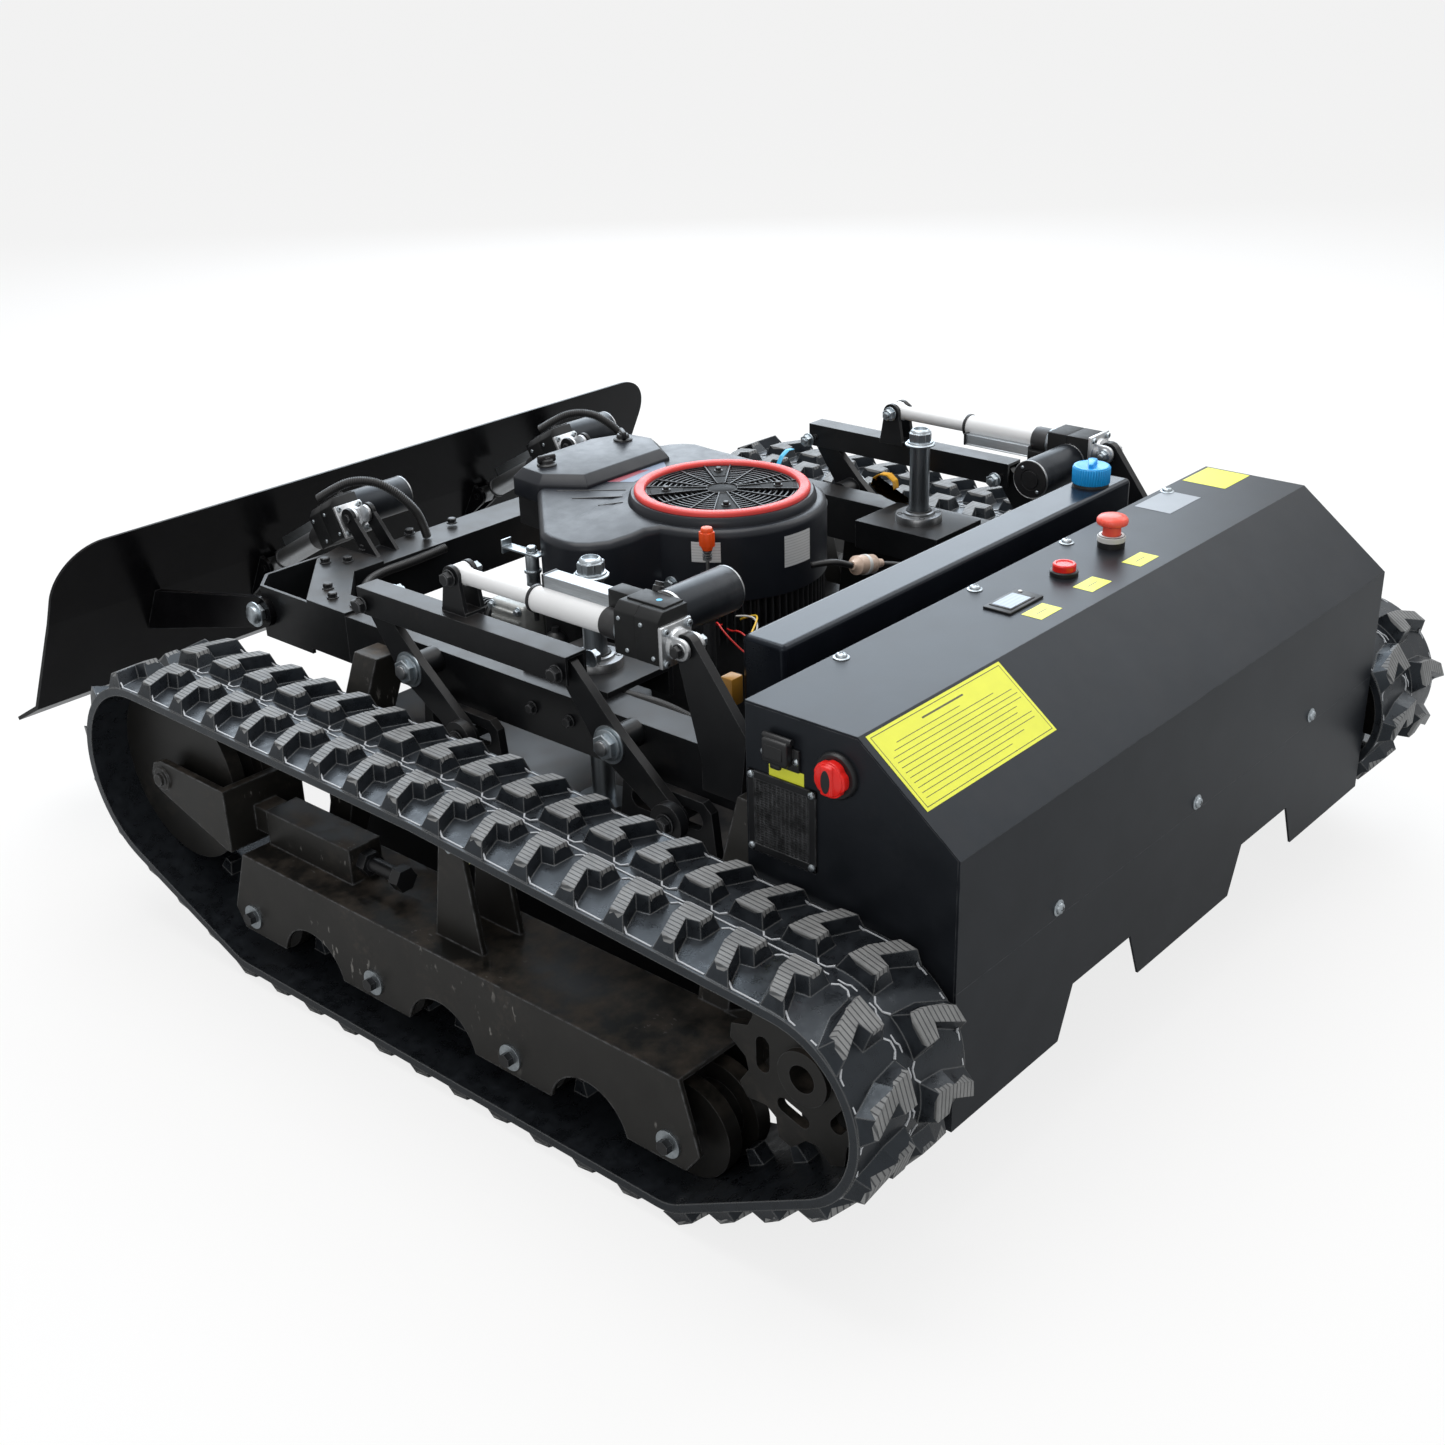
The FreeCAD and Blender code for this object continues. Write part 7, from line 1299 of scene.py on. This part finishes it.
class MOWER_OT_dipstick(bpy.types.Operator):
    """Build the dipstick with its fluted orange knob"""
    bl_idname = "mower.dipstick"
    bl_label = "Dipstick"

    def execute(self, context):
        at = Vector((-150, -178, 0))
        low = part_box("dipstick")[0].z / MM
        flutes = lobed(at, 48, lambda k: 9.6 + 1.1 * math.cos(6 * math.tau * k / 48))
        knob = Piece("dipstick_knob", "dipstick")
        knob.use("knob").plate(flutes, "Z", 541, 561, 1.6, 2)
        knob.turned([(0, 560), (8, 560), (8.6, 563), (7, 566.6), (3, 567.6), (0, 567.6)], at, steps=32)
        knob.turned([(0, 536), (6.6, 536), (7.6, 539), (7.6, 542), (0, 542)], at, steps=32)
        knob.use("steel").drum((at.x, at.y, low), (at.x, at.y, 537), 2.4, sides=16)
        for k in range(4):
            knob.turned([(2, 0), (6.4, 0.6), (6.4, 2.2), (2, 2.8), (2, 0)],
                        (at.x, at.y, 522 + 3.6 * k), steps=24)
        knob.done(40, replaces=("dipstick",))
        neck = Piece("dipstick_neck", "deck", "engine_metal")
        neck.use("black_plastic").turned([(8.6, 486), (9.6, 486), (10.6, 496), (10.6, 503), (9, 505),
                                          (8.6, 505), (8.6, 486)], at, steps=32)
        neck.done(40)
        return {"FINISHED"}


class MOWER_OT_linkage_bolts(bpy.types.Operator):
    """Bolt the levers, sync bars, blade hinges and frame covers"""
    bl_idname = "mower.linkage_bolts"
    bl_label = "Linkage and frame bolts"

    def execute(self, context):
        for side, sign in SIDES:
            out, inward = (sign, 0, 0), (-sign, 0, 0)
            for place, y in (("front", 53), ("rear", -307)):
                lever = Piece(f"lever_bolts_{place}_{side}", f"lift_lever_{place}_{side}", "zinc_steel")
                lever.use("zinc").turned([(10.6, 0), (24, 0), (24, 2), (10.6, 2), (10.6, 0)],
                                         (sign * 474.1, y, 416), out, 40)
                bolt_head(lever, (sign * 486.8, y - 97, 348), out, 19, 9, 13, "black_bolt")
                lever.done(40)
                pin = Piece(f"pivot_nut_{place}_{side}", "chassis", "zinc_steel")
                pin.use("zinc").drum((sign * 476.6, y, 416), (sign * 479, y, 416), 20, bevel=0.5)
                pin.hexagon((sign * 479, y, 416), (sign * 487, y, 416), 29, 1.0)
                pin.use("steel").drum((sign * 486, y, 416), (sign * 491, y, 416), 9.6, bevel=1.2)
                pin.done(40)
            bar = Piece(f"sync_bar_bolts_{side}", f"sync_bar_{side}", "zinc_steel")
            for y in (119, -241):
                bolt_head(bar, (sign * 489, y, 494), out, 17, 8, 11, "black_bolt")
                bolt_head(bar, (sign * 434, y, 494), inward, 17, 9, 11, "zinc", nut=True)
            bolt_head(bar, (sign * 473, -43, 563), out, 16, 8, 11, "black_bolt")
            bolt_head(bar, (sign * 437, -43, 563), inward, 16, 9, 11, "zinc", nut=True)
            bar.done(40)
            hinge = Piece(f"hinge_washer_{side}", "chassis", "zinc_steel")
            hinge.use("zinc").turned([(0, 0), (18.5, 0), (18.5, 2.2), (0, 2.2)],
                                     (sign * 450, 425, 394), out, 40)
            hinge.turned([(0, 2), (13.6, 2), (13, 7), (10.5, 8.6), (0, 9)],
                         (sign * 450, 425, 394), out, 40)
            hinge.done(40)
            covers = Piece(f"cover_bolts_{side}", "chassis", "frame_paint")
            for x, y in ((402, 251), (402, 302), (383, 337), (295, 404), (319, 426), (246, 426),
                         (159, 426), (86, 412)):
                bolt_head(covers, (sign * x, y, 433.6), UP, 12, 6, 8.5, "black_bolt")
            for y in (-196, -130):
                bolt_head(covers, (sign * 431, y, 398), out, 12, 6, 8.5, "black_bolt")
            covers.done(40)
        return {"FINISHED"}


class MOWER_OT_engine_fittings(bpy.types.Operator):
    """Build the fins, rocker covers, bracket, relay cover and housing bolts that show round the engine"""
    bl_idname = "mower.engine_fittings"
    bl_label = "Engine fittings"

    def execute(self, context):
        fins = Piece("rear_cooling_fins", "deck", "engine_metal")
        fins.use("cast_black")
        for k in range(25):
            turn = (Matrix.Translation((0, SHAFT_Y, 0))
                    @ Matrix.Rotation(math.radians(-142 + 4.4 * k), 4, "Z"))
            fins.slab((100, -1.3, 384), (143, 1.3, 448), 0.6, 1, turn)
        fins.slab((-70, -190, 388), (70, -150, 444), 4)
        fins.done(35)

        for side, sign in SIDES:
            head = Piece(f"rocker_cover_{side}", "deck", "engine_metal")
            head.use("cast_grey").slab((sign * 262, 66, 372), (sign * 218, 134, 430), 6, 3)
            for k in range(4):
                head.slab((sign * 266, 72, 380 + 12 * k), (sign * 258, 128, 385 + 12 * k), 1.4)
            for y in (74, 126):
                bolt_head(head, (sign * 262, y, 423), (sign, 0, 0), 9, 5, 6.5, "zinc")
            head.use("black_plastic").drum((sign * 246, 134, 396), (sign * 246, 186, 392), 21, 19, bevel=2)
            for k in range(6):
                head.turned([(20, 0), (23.4, 0.8), (23.4, 3.2), (20, 4), (20, 0)],
                            (sign * 246, 140 + 7.6 * k, 395.6 - 0.6 * k), (0, 1, -0.07), 36)
            head.done(40)

        bracket = Piece("throttle_bracket", "deck", "zinc_steel")
        bracket.use("zinc").slab((-246, 46, 502), (-228, 118, 505), 0.8)
        bracket.slab((-246, 115, 494), (-228, 118, 514), 0.8)
        bracket.drum((-237, 66, 462), (-237, 66, 502), 9.5, bevel=1)
        bracket.drum((-237, 66, 476), (-237, 66, 480), 12, bevel=0.6)
        bracket.hexagon((-237, 66, 450), (-237, 66, 463), 17)
        bolt_head(bracket, (-237, 66, 505), UP, 13, 6, 8, "zinc")
        bracket.use("black_bolt").drum((-237, 66, 405), (-237, 66, 451), 4, bevel=0.4)
        bracket.use("black_plastic").turned([(0, 0), (9, 1), (15, 8), (16, 16), (12, 24), (6, 27), (5, 34),
                                             (0, 34)], (-240, 26, 372), steps=32)
        bracket.drum((-236, 40, 470), (-200, 60, 476), 5, bevel=0.6)
        bracket.done(40)

        relay = Piece("relay_cover", "chassis", "black_plastic")
        relay.use("relay").slab((-396, -432, 470), (-376, -414, 505), 2.0)
        relay.slab((-393, -415, 473), (-379, -411, 494), 1.0)
        relay.done(40)

        bolts = Piece("housing_bolts", "deck", "zinc_steel")
        for degrees, z in ((-28, 470), (-30, 520), (-168, 470)):
            out = Vector((math.cos(math.radians(degrees)), math.sin(math.radians(degrees)), 0))
            bolt_head(bolts, Vector((0, SHAFT_Y, z)) + out * 145, out, 14, 8, 10, "zinc")
        bolts.done(40)
        return {"FINISHED"}


# Routes of the wires and hoses that lie round the engine
LEADS = {
    "red_wire_front": ("red_wire", 2.4, ((-150, -200, 436), (-176, -214, 446), (-196, -232, 464),
                                         (-202, -252, 452),
                                         (-192, -284, 424), (-178, -330, 404), (-176, -372, 398))),
    "red_wire_rear": ("red_wire", 2.4, ((-146, -206, 430), (-168, -232, 440), (-180, -258, 452),
                                        (-186, -288, 440),
                                        (-184, -330, 414), (-184, -372, 398))),
    "yellow_wire_loop": ("yellow_wire", 2.6, ((-128, -214, 440), (-150, -252, 462), (-176, -286, 478),
                                              (-206, -304, 476), (-232, -312, 462), (-244, -332, 436),
                                              (-242, -372, 398))),
    "white_wire_loop": ("white_wire", 2.6, ((-134, -212, 446), (-158, -258, 466), (-186, -294, 474),
                                            (-214, -312, 466), (-236, -326, 446), (-236, -372, 398))),
    "starter_lead": ("black_wire", 5.0, ((-120, -222, 420), (-150, -262, 440), (-186, -310, 446),
                                         (-214, -350, 424), (-216, -384, 398))),
    "breather_hose": ("black_wire", 9.0, ((-8, -238, 486), (4, -258, 492), (16, -272, 490),
                                          (30, -278, 483))),
    "fuel_hose": ("black_wire", 9.0, ((92, -282, 468), (116, -290, 462), (142, -318, 456),
                                      (156, -366, 454),
                                      (160, -411, 455))),
}


class MOWER_OT_leads(bpy.types.Operator):
    """Run the wires, the hoses and the fuel filter round the engine"""
    bl_idname = "mower.leads"
    bl_label = "Wires and hoses"

    def execute(self, context):
        filter_case = Piece("fuel_filter", "deck", "black_plastic")
        way = Vector((64, -3, -14)).normalized()
        filter_case.use("fuel_filter").turned([(0, 0), (6, 0), (7, 4), (13.4, 9), (13.4, 44), (7, 52),
                                               (6, 64), (0, 64)], (30, -278, 483), way, 40)
        filter_case.use("white_plastic").turned([(13.2, 24), (14.2, 24), (14.2, 30), (13.2, 30),
                                                 (13.2, 24)], (30, -278, 483), way, 40)
        filter_case = filter_case.done(40)
        for name, (finish, thick, points) in LEADS.items():
            path = route_of(name, points)
            places, long = resampled(path, 3 * MM)
            item = hose(name, places, [thick / 2 * MM] * len(places), finish, "deck", 12)
        return {"FINISHED"}


class MOWER_OT_ties(bpy.types.Operator):
    """Wrap the yellow strap and the ties round the frame"""
    bl_idname = "mower.ties"
    bl_label = "Straps and ties"

    def execute(self, context):
        strap = Piece("beam_strap", "chassis")
        strap.use("strap")
        curl = [(-124, 430.4), (-104, 432), (-84, 436), (-64, 440), (-46, 446), (-35, 456), (-38, 467),
                (-50, 475), (-65, 476), (-77, 468), (-79, 456)]
        strap.plate(curl + [(y - 0.8, z + 1.6) for y, z in curl[::-1]], "X", 398, 411, 0.3, 1)
        strap.done(60)
        tie = Piece("blue_tie", "chassis")
        tie.use("tie")
        for low, high in (((378.4, 166, 430), (431.6, 173, 431.6)), ((430, 166, 358), (431.6, 173, 431.6)),
                          ((378.4, 166, 358), (380, 173, 431.6))):
            tie.slab(low, high, 0.3, 1)
        tie.slab((398, 162, 430), (411, 177, 438), 1.4)
        tail = [(0, 0), (8, 12), (18, 24), (32, 31), (46, 30)]
        tie.plate([(408 + a, 434 + b) for a, b in tail + [(a, b + 1.6) for a, b in tail[::-1]]], "Y", 165,
                  174, 0.3, 1)
        tie.done(60)
        return {"FINISHED"}


# The belt in millimetres: its middle line's place across, half its width, and its lugs' spacing
TRACK_MID, HALF_BELT, LUG_PITCH = 608, 90, 72
# Wheels that the belt passes: how far forward, how high, and the radius of the belt's inner face there
TRACK_WHEELS = ((-569, 89.4, 60.4), (184, 89.4, 60.4), (365, 238, 128.4), (-203, 325, 36.4),
                (-729, 230, 103))
# Mould flash on one link, as (share of the half width, share of the pitch, height over the inner face)
FLASH_LINES = (((0.14, 0.33, 12), (0.07, 0.42, 11), (0.07, 0.56, 11), (0.14, 0.64, 11)),
               ((0.95, 0.07, 11), (0.95, 0.56, 11), (0.93, 0.6, 12), (0.915, 0.66, 16)))
FLASH_MIDDLE = ((-0.015, 0, 11), (-0.015, 0.45, 11), (0.02, 0.5, 11), (0.02, 0.95, 11), (-0.015, 1, 11))


class MOWER_OT_track_flash(bpy.types.Operator):
    """Lay the fine pale lines of mould flash over the belts, round their lugs"""
    bl_idname = "mower.track_flash"
    bl_label = "Mould flash of the tracks"

    def runs(self):
        """The arcs and straights of the belt, each with its length along the belt's middle."""
        middle = 5.5
        leaving = []
        for k, (y, z, radius) in enumerate(TRACK_WHEELS):
            next_y, next_z, next_radius = TRACK_WHEELS[(k + 1) % len(TRACK_WHEELS)]
            reach = math.hypot(next_y - y, next_z - z)
            leaving.append(math.atan2(next_z - z, next_y - y) - math.acos((radius - next_radius) / reach))
        turns = [(start, end + math.tau * math.ceil((start - end) / math.tau))
                 for start, end in zip(leaving[-1:] + leaving[:-1], leaving)]
        runs = []
        for k, ((y, z, radius), (start, end)) in enumerate(zip(TRACK_WHEELS, turns)):
            following, after = TRACK_WHEELS[(k + 1) % len(turns)], turns[(k + 1) % len(turns)][0]
            leave = Vector((0, y, z)) + self.spoke(end) * (radius + middle)
            meet = Vector((0, *following[:2])) + self.spoke(after) * (following[2] + middle)
            centre = Vector((0, y, z))
            runs.append((centre, radius, start, end, Vector(), (radius + middle) * (end - start)))
            runs.append((centre, radius, end, end, meet - leave, (meet - leave).length))
        return runs

    def spoke(self, angle):
        """The direction out of a wheel's middle at an angle, seen from the side."""
        return Vector((0, math.cos(angle), math.sin(angle)))

    def spot(self, runs, distance, across, out):
        """A point of the belt and its outward direction, by how far round the belt it lies."""
        distance %= sum(run[-1] for run in runs)
        for centre, radius, start, end, gap, long in runs:
            if distance <= long:
                break
            distance -= long
        share = distance / long
        outward = self.spoke(start + (end - start) * share)
        place = centre + outward * (radius + out) + gap * share
        return place + Vector((across * HALF_BELT, 0, 0)), outward

    def execute(self, context):
        runs = self.runs()
        total = sum(run[-1] for run in runs)
        links = round(total / LUG_PITCH)
        for side, sign in SIDES:
            flash = Piece(f"track_flash_{side}", "chassis", "track_rubber",
                          Matrix.Translation((sign * TRACK_MID, 0, 0)))
            flash.use("flash")
            for link in range(links):
                for row, shift in ((-1, 0.0), (1, 0.5)):
                    lines = FLASH_LINES + ((FLASH_MIDDLE,) if row > 0 else ())
                    for line in lines:
                        marks = [self.spot(runs, (link + shift - along) * total / links,
                                           sign * -row * across, out) for across, along, out in line]
                        for first, second in zip(marks, marks[1:]):
                            self.bead(flash, first, second)
            flash.done(30)
        return {"FINISHED"}

    def bead(self, piece, first, second):
        """A low rib, 2 mm wide, between two points of the belt, open below where the belt hides it."""
        present = piece.present()
        aside = (second[0] - first[0]).cross(first[1]).normalized()
        corners = [(point, normal, way) for point, normal in (first, second) for way in (-1, 1)]
        low, high = ([piece.bm.verts.new(point + normal * lift + aside * way) for point, normal, way in corners]
                     for lift in (-1.2, 0.9))
        for ring in ((high[0], high[1], high[3], high[2]), (low[0], low[1], high[1], high[0]),
                     (low[2], low[3], high[3], high[2]), (low[0], low[2], high[2], high[0]),
                     (low[1], low[3], high[3], high[1])):
            piece.bm.faces.new(ring)
        piece.settle(*present)


CLASSES = [MowerColours, MowerSizes, MOWER_OT_stage, MOWER_OT_conduits, MOWER_OT_node_finishes,
           MOWER_OT_actuators, MOWER_OT_blower_housing, MOWER_OT_intake, MOWER_OT_filter_cover,
           MOWER_OT_guide_posts, MOWER_OT_controls, MOWER_OT_labels, MOWER_OT_cabinet_fittings,
           MOWER_OT_fuel_cap, MOWER_OT_dipstick, MOWER_OT_linkage_bolts, MOWER_OT_engine_fittings,
           MOWER_OT_leads, MOWER_OT_ties, MOWER_OT_track_flash]


class MOWER_PT_dresser(bpy.types.Panel):
    """Lists the steps that dress the mower, and its sizes and colours"""
    bl_idname = "MOWER_PT_dresser"
    bl_label = "Slope mower"
    bl_space_type = "VIEW_3D"
    bl_region_type = "UI"
    bl_category = "Mower"

    def draw(self, context):
        for step in STEPS:
            self.layout.operator(step.bl_idname)
        for group in (context.scene.mower_sizes, context.scene.mower_colours):
            column = self.layout.column()
            for name in type(group).__annotations__:
                column.prop(group, name)


STEPS = [item for item in CLASSES if issubclass(item, bpy.types.Operator)]


def register():
    for item in CLASSES + [MOWER_PT_dresser]:
        bpy.utils.register_class(item)
    bpy.types.Scene.mower_colours = bpy.props.PointerProperty(type=MowerColours)
    bpy.types.Scene.mower_sizes = bpy.props.PointerProperty(type=MowerSizes)


def unregister():
    del bpy.types.Scene.mower_sizes, bpy.types.Scene.mower_colours
    for item in reversed(CLASSES + [MOWER_PT_dresser]):
        bpy.utils.unregister_class(item)


def main():
    register()
    make_finishes(bpy.context.scene.mower_colours)
    for step in STEPS:
        group, name = step.bl_idname.split(".")
        getattr(getattr(bpy.ops, group), name)()


if __name__ == "__main__":
    main()
